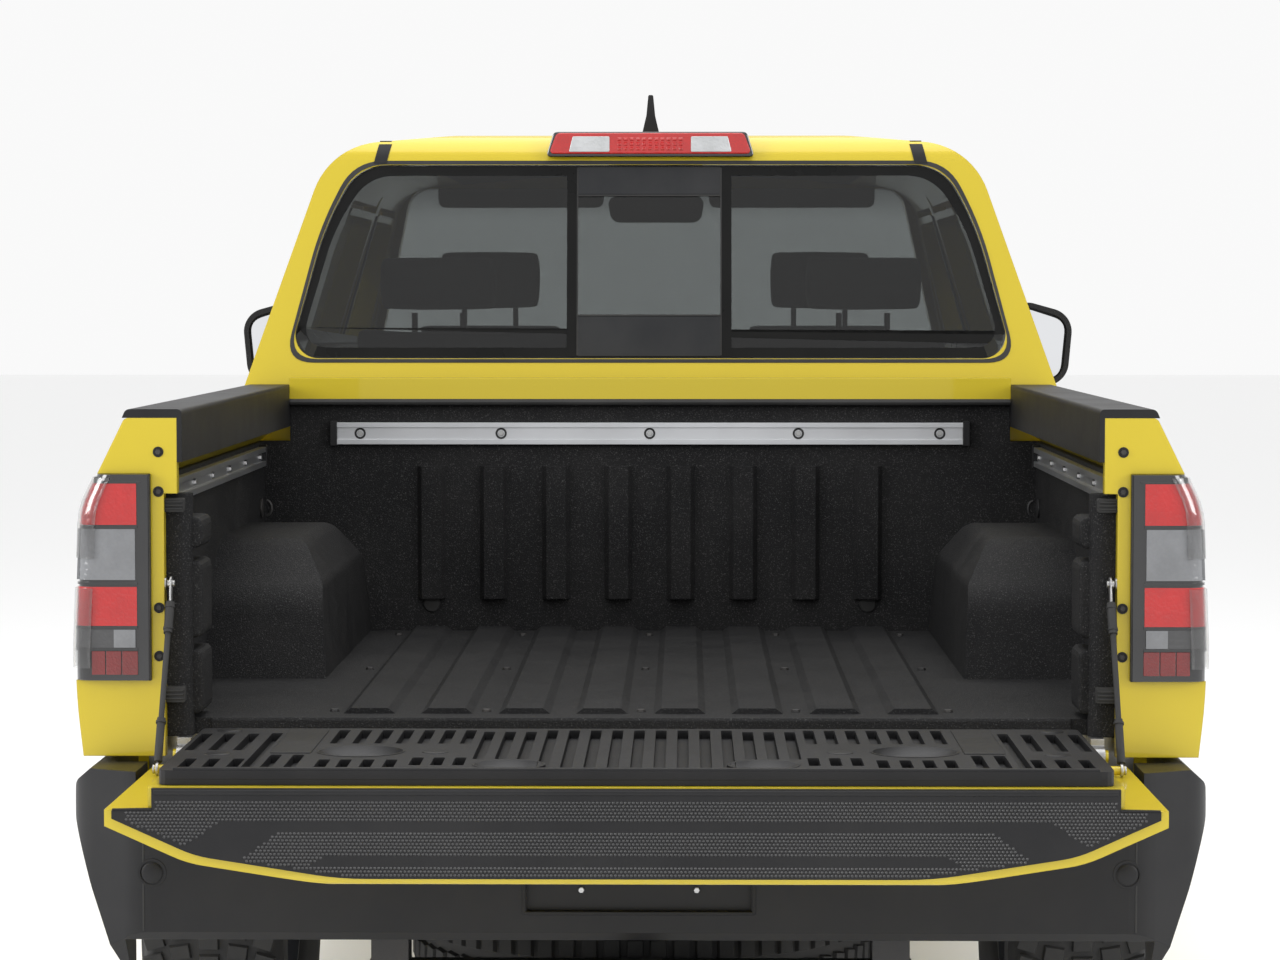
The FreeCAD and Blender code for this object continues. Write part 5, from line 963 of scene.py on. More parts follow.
# %%
# The lens fields, rear view from the top down
OUT = 0.0022
upper_red = lamp_sheet(spaced(1.1530, 1.2185, 6), 0.7975, lambda z: lamp_end(z) - 0.018, OUT, 0.001)
lower_red = lamp_sheet(spaced(0.9925, 1.0545, 6), 0.7975, lambda z: lamp_end(z) - 0.016, OUT, 0.001)
piece("tail_lamp_red_fields", both([upper_red, lower_red]), "red_lens", smooth=True)
reverse_field = lamp_sheet(spaced(1.0655, 1.1465, 6), 0.8000, lambda z: -2.345, OUT, 0.001)
piece("tail_lamp_reverse_fields", both(reverse_field), "clear_lens", smooth=True)
smoked = lamp_sheet(spaced(0.9575, 0.9870, 4), 0.8000, lambda z: lamp_end(z) - 0.014, OUT, 0.001)
piece("tail_lamp_smoked_fields", both(smoked), SMOKED, slot="red_lens", smooth=True)
clear_part = slab("XZ", 0.8000, 0.8345, 0.9580, 0.9865, LAMP_BACK - OUT - 0.0009, LAMP_BACK, 0.001)
piece("tail_lamp_side_lights", both(clear_part), "clear_lens")
reflectors = [slab("XZ", x0, x1, 0.9145, 0.9525, LAMP_BACK - OUT, LAMP_BACK, 0.0015)
              for x0, x1 in ((0.7965, 0.8215), (0.8230, 0.8470), (0.8485, 0.8700))]
piece("tail_lamp_reflectors", both(reflectors), DEEP_RED, slot="red_lens", edge=0.0006)
print("lens fields proud by", OUT)

# %%
# Dividers between the fields, clear edges and seals
dividers = []
for z in (1.1497, 1.0600, 0.9897, 0.9550):
    dividers.append(lamp_sheet([z - 0.0022, z + 0.0022], 0.7965, lambda z: lamp_end(z) - 0.016, OUT + 0.0008,
                               0.0))
dividers.append(lamp_sheet([1.2195, 1.2225], 0.790, lambda z: lamp_end(z) - 0.01, OUT, 0.0))
piece("tail_lamp_dividers", both(dividers), GLOSS, slot="red_lens", smooth=True)
edge_levels_high = spaced(1.10, 1.228, 8)
edge_levels_low = spaced(0.925, 1.052, 8)


def edge_cover(levels):
    """The clear outer edge of the lens, which stands a little proud of the fields."""
    outer = [lamp_path(z, lamp_side(z) - 0.022, lamp_end(z) - 0.008, 0.0062) for z in levels]
    inner = [lamp_path(z, lamp_side(z) - 0.022, lamp_end(z) - 0.008, 0.0042) for z in levels]
    return sheet_between(outer, inner)


piece("tail_lamp_clear_edges", both([edge_cover(edge_levels_high), edge_cover(edge_levels_low)]), COVER,
      slot="clear_lens", smooth=True)
seal = slab("XZ", 0.7768, 0.7785, lamp_low, lamp_high, LAMP_BACK - 0.001, LAMP_BACK + 0.02)
piece("tail_lamp_seals", both(seal), RUBBER)
print("dividers", len(dividers))

# %% [markdown]
# ## High stop lamp
# The lamp over the rear window has a dark base, a red lens that leans with the body, and two clear
# segments.

# %%
# Base, lens and segments
stop_face = onto("rear_lamps", (0.0, -4.0, 1.825), (0, 1, 0))[0].y
stop_back = stop_face + 0.03


def stop_outline(grow):
    return rounded([(-0.213 - grow, 1.7985 - grow, 0.008), (0.213 + grow, 1.7985 - grow, 0.008),
                    (0.197 + grow, 1.8495 + grow * 0.4, 0.012), (-0.197 - grow, 1.8495 + grow * 0.4, 0.012)],
                   4)


piece("stop_lamp_base", pushed(stop_outline(0.0), "XZ", stop_face + 0.0015, stop_back), GLOSS,
      slot="red_lens", edge=0.002)
piece("stop_lamp_lens", pushed(stop_outline(-0.006), "XZ", stop_face - 0.002, stop_face + 0.006), "red_lens",
      edge=0.0025, segments=3)
segment = [(0.083, 1.8085, 0.003), (0.166, 1.8085, 0.003), (0.158, 1.8400, 0.003), (0.083, 1.8400, 0.003)]
piece("stop_lamp_segments", both(pushed(rounded(segment), "XZ", stop_face - 0.0035, stop_face)), WHITE_LENS,
      slot="clear_lens", edge=0.0012)
cells = [((x * 0.0125, stop_face - 0.002, z), TO_BACK) for x in range(-5, 6) for z in (1.815, 1.8245, 1.834)]
repeated("stop_lamp_cells", cells, 4, 0.55, (0.0125, 0.0095, 0.0016), "red_lens", spin=math.radians(45))
print("stop lamp face", round(stop_face, 4))

# %% [markdown]
# ## Rear window
# The glass has a black printed border, two fixed side panes and a sliding middle pane in a matt frame. Each
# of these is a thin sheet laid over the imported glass, from rays cast at it from behind.

# %%
# The printed border and the slider


def window_loop(inset):
    """The window's outline, moved inward: its foot, its bent sides and its head."""
    foot, head, stretch = 0.738, 0.598, 0.068
    low, bend, high = 1.388, 1.657, 1.783
    return rounded([(-foot + inset, low + inset, 0.048), (foot - inset, low + inset, 0.048),
                    (head + stretch - inset, bend, 0.9), (head - inset, high - inset, 0.10),
                    (-head + inset, high - inset, 0.10), (-head - stretch + inset, bend, 0.9)], 8)


def glass_patches(out, *sides):
    """Thin sheets on the rear glass, from (x, x, z, z) sides, as one form."""
    return [draped("cab_glass", (0, 1, 0), ray_grid("XZ", (x0, x1, 7), (z0, z1, 3), -2.0), out, 0.0002)
            for x0, x1, z0, z1 in sides]


border = draped("cab_glass", (0, 1, 0), lifted([window_loop(0.0025), window_loop(0.022)], "XZ", -2.0), 0.0006,
                0.0002, True)
piece("rear_window_border", border, PRINTED)
SLIDE_LEFT, SLIDE_RIGHT, POST = -0.148, 0.144, 0.022
piece("rear_window_posts", glass_patches(0.0016, (SLIDE_LEFT - POST, SLIDE_LEFT, 1.392, 1.779),
                                         (SLIDE_RIGHT, SLIDE_RIGHT + POST, 1.392, 1.779)), PRINTED)
piece("rear_window_slider_bars", glass_patches(0.0040, (SLIDE_LEFT + 0.001, SLIDE_RIGHT - 0.001, 1.392,
                                                        1.474),
                                               (SLIDE_LEFT + 0.001, SLIDE_RIGHT - 0.001, 1.722, 1.779)), MATT,
      edge=0.0012)
runners = glass_patches(0.0046, (SLIDE_LEFT, SLIDE_RIGHT, 1.474, 1.4775),
                        (SLIDE_LEFT, SLIDE_RIGHT, 1.7185, 1.722))
runners += glass_patches(0.0030, (SLIDE_LEFT - 0.002, SLIDE_LEFT + 0.001, 1.394, 1.777),
                         (SLIDE_RIGHT - 0.001, SLIDE_RIGHT + 0.002, 1.394, 1.777))
piece("rear_window_seams", runners, RUBBER)
seal = draped("cab_shell", (0, 1, 0), lifted([window_loop(-0.0085), window_loop(-0.001)], "XZ", -2.0), 0.0012,
              0.002, True)
piece("rear_window_seal", seal, RUBBER)
print("border points", len(window_loop(0)))

# %% [markdown]
# ## Roof mouldings
# A black moulding lies in each roof ditch and ends on the rear face, where it shows as a short upright
# strip.

# %%
# Ditch mouldings, from the rear face forward over the roof
mouldings = []
for side in (1, -1):
    rear = [[(side * (0.557 + dx - (z - 1.77) * 0.25), -2.0, z) for dx in (-0.013, -0.006, 0.006, 0.013)]
            for z in (1.786, 1.80, 1.815, 1.826)]
    mouldings.append(draped("cab_shell", (0, 1, 0), rear, 0.0022, 0.001))
    over = [[(side * (0.543 + dx), y, 2.3) for dx in (-0.012, -0.005, 0.005, 0.012)]
            for y in [-0.66 + 1.44 * k / 16 for k in range(17)]]
    mouldings.append(draped("cab_shell", (0, 0, -1), over, 0.0022, 0.001))
piece("roof_mouldings", mouldings, smooth=True)
print("mouldings", len(mouldings))

# %% [markdown]
# ## Tailgate jamb
# The flange beside each lamp carries bolts, the striker pin, two rubber blocks and the cable's stud. These
# are turned profiles and small round-cornered blocks, standing on the flange and on the liner's post.

# %%
# Strikers, blocks and bolts
FLANGE = onto("bed_panels", (0.766, -4.0, 1.10), (0, 1, 0))[0].y
post_face = onto("bed_tub", (0.735, -4.0, 1.10), (0, 1, 0))[0].y
striker = knob([(0.0056, 0.0), (0.0050, 0.030), (0.0056, 0.031), (0.0056, 0.035)],
               (0.763, FLANGE + 0.0355, 1.150), (-1, 0, 0), 20, crown=0.0005)
piece("gate_strikers", both(striker), "black_steel", slot="steel", smooth=True)
blocks_low = ((1.172, 1.194), (0.868, 0.893))
rest_blocks = []
for z0, z1 in blocks_low:
    rest_blocks.append(slab("XZ", 0.7255, 0.7580, z0, z1, post_face - 0.016, post_face + 0.01, 0.003))
    rest_blocks += [slab("XZ", 0.7275, 0.7560, z - 0.0014, z + 0.0014, post_face - 0.0185, post_face - 0.015,
                         0.0006) for z in spaced(z0, z1, 5)[1:4]]
piece("gate_rest_blocks", both(rest_blocks), RUBBER, edge=0.0012)
heads = [((side * 0.7645, FLANGE + 0.0003, z), TO_BACK) for side in (1, -1)
         for z in (1.205, 0.943, 1.268, 1.02)]
bolts("jamb_bolts", heads, 0.0105, 0.0042, "black_steel", "steel")
jamb_washers = [knob([(0.0085, 0), (0.0085, 0.0014)], place_at, (0, -1, 0), 16) for place_at, _ in heads[:4]]
piece("jamb_washers", both(jamb_washers), slot="steel")
print("flange at", round(FLANGE, 4), "post face", round(post_face, 4))

# %%
# Moulded blocks of the liner beside each jamb
moulded = [slab("XZ", 0.7005, 0.750, z0, z1, -2.303, -2.19, 0.014)
           for z0, z1 in ((0.846, 0.950), (0.968, 1.092), (1.112, 1.162))]
piece("liner_corner_blocks", both(moulded), "liner", edge=0.006, segments=3)
print("corner blocks", 2 * len(moulded))

# %%
# The gate cables, with their tabs and sleeves
stud, eye = Vector((0.746, -2.3315, 1.058)), Vector((0.746, -2.4975, 0.783))
along = (eye - stud).normalized()
tab = pushed(rounded([(-2.345, 1.070, 0.008), (-2.322, 1.070, 0.008), (-2.3335, 1.022, 0.007),
                      (-2.352, 1.026, 0.007)]), "YZ", 0.7445, 0.7475)
stud_head = knob([(0.0105, 0), (0.0105, 0.004), (0.006, 0.006), (0.006, 0.012)], stud + Vector((0.012, 0, 0)),
                 (-1, 0, 0), 18)
anchor = knob([(0.0058, 0), (0.0058, 0.016)], stud + Vector((-0.002, 0, 0)), (1, 0, 0), 18)
piece("cable_tabs", both([tab, stud_head, anchor]), "steel", edge=0.0006, stands_for=["tailgate_cables"])
reach = (eye - stud).length


def along_cable(start, end, radius):
    """A round length of the cable, made in short steps."""
    steps = max(3, int((end - start) / 0.008))
    return bar([tuple(stud + along * (start + (end - start) * k / steps)) for k in range(steps + 1)], radius,
               12, up=(1, 0, 0))


bend = ("tailgate", (0.0, stud.y, stud.z), (0.0, eye.y, eye.z))
piece("gate_cables", both(along_cable(0.006, reach - 0.007, 0.0030)), "black_steel", smooth=True,
      stands_for=["tailgate_cables"], across=bend)
sleeves = [along_cable(start, end, radius) for radius, start,
           end in ((0.0072, 0.034, 0.088), (0.0046, 0.088, 0.235), (0.0066, 0.235, reach - 0.012),
                   (0.0082, 0.040, 0.044), (0.0082, 0.078, 0.082), (0.0082, 0.240, 0.244))]
piece("cable_sleeves", both(sleeves), RUBBER, smooth=True, across=bend)
eyes = turned_ring([(0.0045, -0.002), (0.0105, -0.002), (0.0105, 0.002), (0.0045, 0.002)], eye, (1, 0, 0), 20)
eye_bolt = knob([(0.0044, -0.006), (0.0044, 0.004), (0.0075, 0.004), (0.0075, 0.007)], eye, (1, 0, 0), 16)
piece("cable_eyes", both([eyes, eye_bolt]), "steel", "tailgate", edge=0.0004, stands_for=["tailgate_cables"])
print("cable length", round(reach, 4))

# %%
# The gate's handle, on its outer face
outer_face = onto("tailgate_shell", (0.0, -2.705, 0.30), (0, 0, 1))[0].z
plate = slab("XY", -0.120, 0.120, -2.745, -2.665, outer_face - 0.004, outer_face + 0.003, 0.018)
piece("gate_handle_plate", plate, GLOSS, "tailgate", edge=0.0015)
grip = [slab("XY", -0.092, 0.092, -2.722, -2.694, outer_face - 0.017, outer_face - 0.010, 0.010)]
grip += [slab("XY", x0, x1, -2.722, -2.694, outer_face - 0.012, outer_face - 0.003, 0.008)
         for x0, x1 in ((-0.092, -0.070), (0.070, 0.092))]
piece("gate_handle_grip", grip, body="tailgate", edge=0.002)
print("gate outer face", round(outer_face, 4))

# %% [markdown]
# ## Bed fittings
# Bolts hold the aluminium rails, plugs close the drain holes at the front wall, tie-down loops stand at the
# corners, and a dark seal runs under the painted header.

# %%
# Rail bolts, end stops and seal
front_rail_face = onto("utility_rails", (0.0, -2.0, 1.238), (0, 1, 0))[0].y
front_places = [((x, front_rail_face + 0.0002, 1.238), TO_BACK) for x in (-0.585, -0.30, 0.0, 0.30, 0.585)]
side_face = onto("utility_rails", (0.0, -1.5, 1.195), (1, 0, 0))[0].x
side_places = [((side * (side_face - 0.0002), -2.10 + k * 0.235, 1.195), turn)
               for side, turn in ((1, TO_LEFT), (-1, TO_RIGHT)) for k in range(6)]
bolts("rail_bolts", front_places + side_places, 0.013, 0.005, "steel")
rings = [turned_ring([(0.0075, 0), (0.0115, 0), (0.0115, 0.0016), (0.0075, 0.0016)], place_at, (0, -1, 0), 20)
         for place_at, _ in front_places]
piece("rail_bolt_rings", rings, RUBBER, slot="steel")
stops = [slab("XZ", 0.7635, 0.7795, 1.172, 1.218, y0, y1, 0.003)
         for y0, y1 in ((-2.196, -2.182), (-0.890, -0.876))]
piece("rail_end_stops", both(stops), edge=0.001)
piece("front_rail_end_stops", both(slab("XZ", 0.631, 0.645, 1.213, 1.263, -0.815, -0.798, 0.003)), edge=0.001)
header_seal = bar([(-0.726, -0.8145, 1.3015), (0.726, -0.8145, 1.3015)], 0.0065, 8)
piece("header_seal", header_seal, RUBBER, smooth=True)
print("rail bolts", len(front_places + side_places))

# %%
# Tie-down loops, drain plugs and floor screws
loops = []
for x, y, z in ((0.7725, -2.19, 1.0), (0.7725, -0.86, 1.09)):
    loops.append(knob([(0.019, 0), (0.019, 0.003), (0.016, 0.0045)], (x + 0.007, y, z), (-1, 0, 0), 20))
    ring = [(x - 0.004 - 0.010 * math.sin(math.pi * k / 8), y, z - 0.015 * math.cos(math.pi * k / 8))
            for k in range(9)]
    loops.append(bar(ring, 0.003, 8, up=(0, 1, 0)))
piece("tie_down_loops", both(loops), "black_steel", slot="steel", smooth=True)
wall_face = onto("bed_tub", (0.441, -2.0, 0.90), (0, 1, 0))[0].y
plugs = [knob([(0.017, 0), (0.016, 0.003)], (0.441 * side, wall_face, 0.893), (0, -1, 0), 20, crown=0.0015)
         for side in (1, -1)]
piece("drain_plugs", plugs, RUBBER, smooth=True)
screws = [((x, y, 0.8378), UP) for x in (-0.50, -0.252, 0.0, 0.252, 0.50) for y in (-2.20, -1.55, -0.90)]
bolts("bed_floor_screws", screws, 0.016, 0.0045, "black_steel", "steel")
print("front wall face", round(wall_face, 4))

# %% [markdown]
# ## Rear bumper
# The step has rows of rubber ribs, the plate recess a raised frame with two small lamps, and each end a
# round cap.

# %%
# Tread ribs, plate recess and caps
shelf_face = onto("rear_bumper", (0.5, -2.44, 2.0), (0, 0, -1))[0].z
ribs = [((side * (0.245 + k * 0.032), -2.395, shelf_face - 0.0005), UP) for side in (1, -1)
        for k in range(14)]
blocks("step_treads", ribs, 0.014, 0.075, 0.0025, 0.9, RUBBER)
bumper_face = onto("rear_bumper", (0.4, -4.0, 0.66), (0, 1, 0))[0].y
recess_face = onto("rear_bumper", (0.0, -4.0, 0.62), (0, 1, 0))[0].y
frame_sides = ((-0.179, 0.179, 0.699, 0.705), (-0.179, 0.179, 0.552, 0.558), (0.176, 0.182, 0.553, 0.704),
               (-0.182, -0.176, 0.553, 0.704))
frame_bars = [slab("XZ", *sides, bumper_face - 0.003, recess_face + 0.002, 0.002) for sides in frame_sides]
piece("plate_recess_frame", frame_bars, "black_plastic", edge=0.0012)
plate_lamp = slab("XZ", 0.083, 0.127, 0.686, 0.698, recess_face - 0.008, recess_face + 0.001, 0.002)
piece("plate_lamps", both(plate_lamp), "clear_lens", edge=0.001)
bolts("plate_bolts", [((x, recess_face + 0.0002, z), TO_BACK) for x in (-0.09, 0.09) for z in (0.59, 0.665)],
      0.011, 0.004, "steel")
cap_at = onto("rear_bumper", (0.759, -4.0, 0.617), (0, 1, 0))[0] + Vector((0, 0.001, 0))
caps = [knob([(0.0165, 0.0), (0.0165, 0.0022), (0.0135, 0.0038)], cap_at, (0, -1, 0), 28),
        turned_ring([(0.0185, 0.0), (0.0225, 0.0), (0.0225, 0.0018), (0.0185, 0.0018)], cap_at, (0, -1, 0),
                    28)]
piece("bumper_sensor_caps", both(caps), smooth=True)
seam = draped("rear_bumper", (0, 1, 0), ray_grid("XZ", (0.7715, 0.7745, 2), (0.50, 0.76, 11), -4.0), 0.0006,
              0.001)
piece("bumper_seams", both(seam), RUBBER)
print("bumper face", round(bumper_face, 4), "recess", round(recess_face, 4), "shelf", round(shelf_face, 4))

# %% [markdown]
# ## Tyres
# A tyre is a turned profile with a bulging sidewall, a bead and two moulded ribs, and a tread of blocks
# that stand between grooves. The blocks are the stud tree again: four-sided studs on points round the
# casing, in five rows that are set half a step apart. One function makes a tyre about any line, so that it
# serves the spare one too.

# %%
# The casing and its tread
TYRE_R, TYRE_MID = 0.401, 0.785
CASING = [(0.2245, -0.098), (0.236, -0.108), (0.246, -0.1145), (0.2545, -0.1165), (0.262, -0.1195),
          (0.300, -0.1303), (0.318, -0.1306), (0.338, -0.128), (0.3405, -0.1295), (0.347, -0.1290),
          (0.3495, -0.1255), (0.366, -0.1195), (0.3805, -0.112), (0.3885, -0.101), (0.3925, -0.085),
          (0.3940, -0.045)]
casing_profile = CASING + [(r, -h) for r, h in reversed(CASING)]
BLOCK_ROWS = [(-0.0985, 0.0), (-0.0515, 0.5), (0.0, 0.0), (0.0515, 0.5), (0.0985, 0.0)]
BLOCKS_ROUND = 66


def tread_places(middle, along):
    """Block places round a tyre, with the turn that stands each block on the casing."""
    middle, along = Vector(middle), Vector(along).normalized()
    side = along.orthogonal().normalized()
    other = along.cross(side)
    found = []
    for row, (height, shift) in enumerate(BLOCK_ROWS):
        base = 0.3905 if abs(height) > 0.09 else 0.3930
        for k in range(BLOCKS_ROUND):
            angle = math.tau * (k + shift) / BLOCKS_ROUND
            out = side * math.cos(angle) + other * math.sin(angle)
            turn = Matrix((along, out.cross(along), out)).transposed()
            skew = Matrix.Rotation(0.30 * (row - 2) / 2, 3, out)
            found.append((middle + along * height + out * base, tuple((skew @ turn).to_euler())))
    return found


def tyre(name, middle, along, body, stands_for):
    piece(name + "_casing", turned_ring(casing_profile, middle, along, 96), "tyre", body, smooth=True,
          stands_for=[stands_for])
    blocks(name + "_tread", tread_places(middle, along), 0.038, 0.0285, 0.0080, 0.86, "tyre", body,
           [stands_for])


wheels = {}
for end, y in (("front", 1.9565), ("rear", -1.2435)):
    for side_name, side in (("right", 1), ("left", -1)):
        middle = (side * TYRE_MID, y, TYRE_R)
        wheels[f"{end}_{side_name}"] = (middle, (side, 0, 0))
        tyre(f"tyre_{end}_{side_name}", middle, (side, 0, 0), f"wheel_{end}_{side_name}",
             f"wheel_tyre_{end}_{side_name}")
spare_low, spare_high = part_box("spare_tyre")
spare_middle = (spare_low + spare_high) / 2
tyre("spare_wheel", spare_middle, (0, 0, 1), "chassis", "spare_tyre")
print("tread blocks a tyre", len(BLOCK_ROWS) * BLOCKS_ROUND)

# %% [markdown]
# ## Wheel fittings
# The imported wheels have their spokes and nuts. What they lack is a centre cap, a valve, and the brake
# caliper that straddles each front disc and stays with the steering knuckle as the wheel turns.

# %%
# Caps, valves and calipers
RIM_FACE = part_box("wheel_rim_front_right")[1].x - TYRE_MID
HUB_FACE = RIM_FACE - 0.0135
VALVE_RADIUS, VALVE_TURN = 0.168, 0.52
for key, (middle, out) in wheels.items():
    middle, out = Vector(middle), Vector(out)
    cap = [knob([(0.034, 0.0), (0.034, 0.010), (0.030, 0.0135), (0.012, 0.0155)], middle
                + out * (HUB_FACE - 0.004), out, 32, crown=0.0005),
           turned_ring([(0.0345, 0.0), (0.038, 0.0), (0.038, 0.005), (0.0345, 0.005)], middle
                       + out * (HUB_FACE - 0.002), out, 32)]
    piece(f"wheel_cap_{key}", cap, SMOOTH, f"wheel_{key}", slot="wheel_alloy", smooth=True)
    spoke = Vector((0, math.cos(VALVE_TURN), math.sin(VALVE_TURN)))
    valve = knob([(0.0045, -0.02), (0.0045, 0.012), (0.0055, 0.013), (0.0055, 0.022)], middle
                 + spoke * VALVE_RADIUS + out * 0.055, spoke * 0.5 + out * 0.9, 10)
    piece(f"valve_{key}", valve, RUBBER, f"wheel_{key}", slot="tyre", smooth=True)
AXLE_Y = wheels["front_right"][0][1]


def behind_axle(radius, start, end):
    return arc(AXLE_Y, TYRE_R, radius, start, end, 8)


caliper = [pushed(behind_axle(0.170, 150, 210) + behind_axle(0.108, 208, 152), "YZ", x0, x1)
           for x0, x1 in ((0.735, 0.7555), (0.7845, 0.800))]
caliper.append(pushed(behind_axle(0.157, 155, 205) + behind_axle(0.173, 205, 155), "YZ", 0.737, 0.799))
mirrored_pair("brake_caliper", caliper, "knuckle", "cast_iron", edge=0.003)
print("wheel face beyond the middle", round(RIM_FACE, 4))

# %% [markdown]
# ## Door trim
# Round each door glass runs a black moulding, with a gloss panel on the post between the doors and a
# body-side strip low down. All of them are thin sheets laid on the door's skin by rays from outside.

# %%
# Window mouldings, post panels and strips
front_glass = [(0.3325, 1.249, 0.014), (1.243, 1.249, 0.030), (0.7926, 1.689, 0.045), (0.3325, 1.689, 0.018)]
rear_glass = [(-0.5037, 1.249, 0.040), (0.2325, 1.249, 0.014), (0.2325, 1.689, 0.018),
              (-0.3629, 1.689, 0.050)]


def grown(corners, by):
    """An outline moved outward on all sides."""
    middle_a = sum(c[0] for c in corners) / len(corners)
    middle_b = sum(c[1] for c in corners) / len(corners)
    return rounded([(a + math.copysign(by, a - middle_a), b + math.copysign(by, b - middle_b), r + by)
                    for a, b, r in corners], 6)


def on_side(node_name, loops, out, closed=False):
    return draped(node_name, (-1, 0, 0), lifted(loops, "YZ", 1.6), out, 0.001, closed)


def strip(node_name, y0, y1, z0, z1, out, count=16):
    """A strip along the side, with rows near its edges so that they can be rounded."""
    return on_side(node_name, [[(y, z0 + (z1 - z0) * share) for y in spaced(y0, y1, count + 1)]
                               for share in (0, 0.3, 0.7, 1)], out)


for label, corners in (("front", front_glass), ("rear", rear_glass)):
    ring = on_side(f"{label}_door_right", [grown(corners, 0.003), grown(corners, 0.014)], 0.0022, True)
    mirrored_pair(f"{label}_window_moulding", ring, f"{label}_door")
for label, y0, y1 in (("front", 0.293, 0.3195), ("rear", 0.2455, 0.272)):
    panel = strip(f"{label}_door_right", y0, y1, 1.262, 1.715, 0.0018)
    mirrored_pair(f"{label}_post_panel", panel, f"{label}_door", GLOSS)
for label, y0, y1 in (("front", 0.31, 1.318), ("rear", -0.42, 0.262)):
    low_strip = strip(f"{label}_door_right", y0, y1, 0.640, 0.672, 0.009)
    mirrored_pair(f"{label}_side_strip", low_strip, f"{label}_door", edge=0.003)
print("door trim done")

# %%
# Handle cups, inserts and fuel flap


def superellipse(share, half_y, half_z, y, z):
    """A loop between an oval and a box, at a share of its size."""
    turns = [math.tau * k / 28 for k in range(28)]
    return [(y + half_y * share * math.copysign(abs(math.cos(t)) ** 0.6, math.cos(t)), z
             + half_z * share * math.copysign(abs(math.sin(t)) ** 0.6, math.sin(t))) for t in turns]


for label, y_edge in (("front", 0.2865), ("rear", -0.5635)):
    node_name = f"{label}_door_right"
    y_cup = y_edge + 0.150
    cup = on_side(node_name, [superellipse(share, 0.058, 0.026, y_cup, 1.116)
                              for share in (1.0, 0.8, 0.45, 0.04)], 0.0008, True)
    mirrored_pair(f"{label}_handle_cup", cup, f"{label}_door", GLOSS)
    handle_face = onto(node_name, (1.6, y_cup, 1.115), (-1, 0, 0))[0].x
    insert = slab("YZ", y_edge + 0.062, y_edge + 0.238, 1.104, 1.126, handle_face - 0.001, handle_face
                  + 0.0022, 0.009)
    mirrored_pair(f"{label}_handle_insert", insert, f"{label}_door", GLOSS, edge=0.0012)
FLAP = (-1.075, -0.915, 0.985, 1.145)


def flap_loops(radius, insets):
    """Round-cornered squares inside the flap's opening."""
    return [box_outline(FLAP[0] + s, FLAP[1] - s, FLAP[2] + s, FLAP[3] - s, radius, 5) for s in insets]


piece("fuel_flap_seam", mirror_x(on_side("bed_panels", flap_loops(0.022, (0.0, 0.003)), 0.0007, True)),
      RUBBER)
flap = on_side("bed_panels", flap_loops(0.020, (0.0035, 0.0235, 0.0535, 0.079)), 0.0014, True)
piece("fuel_flap", mirror_x(flap), "body_paint", smooth=True)
print("fuel flap on the left side")

# %% [markdown]
# ## Mirrors
# Each door mirror gets its silvered glass, set a little into the shell's bay, on a thin dark backing.

# %%
# Mirror glass
glass_outline = [(0.9225, 1.2925, 0.022), (1.0315, 1.309, 0.040), (1.045, 1.4515, 0.040),
                 (0.9145, 1.4935, 0.032)]
GLASS_BACK, GLASS_FACE = 1.1362, 1.1330
mirror_loop = rounded(glass_outline, 6)
mirrored_pair("mirror_glass", pushed(mirror_loop, "XZ", GLASS_FACE, GLASS_BACK), "front_door", MIRROR,
              slot="tinted_glass", edge=0.0008)
mirrored_pair("mirror_backing", pushed(mirror_loop, "XZ", GLASS_BACK, GLASS_BACK + 0.001), "front_door",
              RUBBER)
print("mirror glass at y", GLASS_FACE)

# %% [markdown]
# ## Nose
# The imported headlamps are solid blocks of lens. A dark surround, two bright projectors in metal rings, and
# a light bar give them depth, and the grille gets a gloss frame and a mesh of small studs.

# %%
# Headlamp faces


def front_patch(node_name, x0, x1, z0, z1, out, count=10):
    starts = ray_grid("XZ", (x0, x1, count + 1), (z0, z1, 4), 4.0)
    return draped(node_name, (0, -1, 0), starts, out, 0.001)


piece("headlamp_surrounds", both(front_patch("headlamps", 0.486, 0.800, 0.877, 1.028, 0.0016)), GLOSS)
projectors, bright_rings = [], []
for x, radius in ((0.585, 0.048), (0.700, 0.043)):
    near = max(onto("headlamps", (x + dx, 4.0, 0.955), (0, -1, 0))[0].y for dx in (-radius, 0, radius))
    projectors.append(knob([(radius * 0.62, 0.0), (radius * 0.60, 0.007), (radius * 0.4, 0.0115)],
                           (x, near - 0.004, 0.955), (0, 1, 0), 28, crown=0.002))
    bright_rings.append(turned_ring([(radius * 0.72, 0.0), (radius, -0.012), (radius, 0.004),
                                     (radius * 0.93, 0.006), (radius * 0.80, 0.002)],
                                    (x, near - 0.001, 0.955), (0, 1, 0), 36))
piece("headlamp_projectors", both(projectors), WHITE_LENS, slot="clear_lens", smooth=True)
piece("headlamp_rings", both(bright_rings), CHROME, slot="clear_lens", smooth=True)
light_bars = [front_patch("headlamps", 0.492, 0.790, 1.006, 1.018, 0.0042),
              front_patch("headlamps", 0.492, 0.506, 0.890, 1.006, 0.0042, 2)]
piece("headlamp_light_bars", both(light_bars), WHITE_LENS, slot="clear_lens", smooth=True)
piece("side_markers", both(strip("front_wings", 2.46, 2.52, 0.905, 0.925, 0.003, 4)), "red_lens")
print("projectors", 2 * len(projectors))

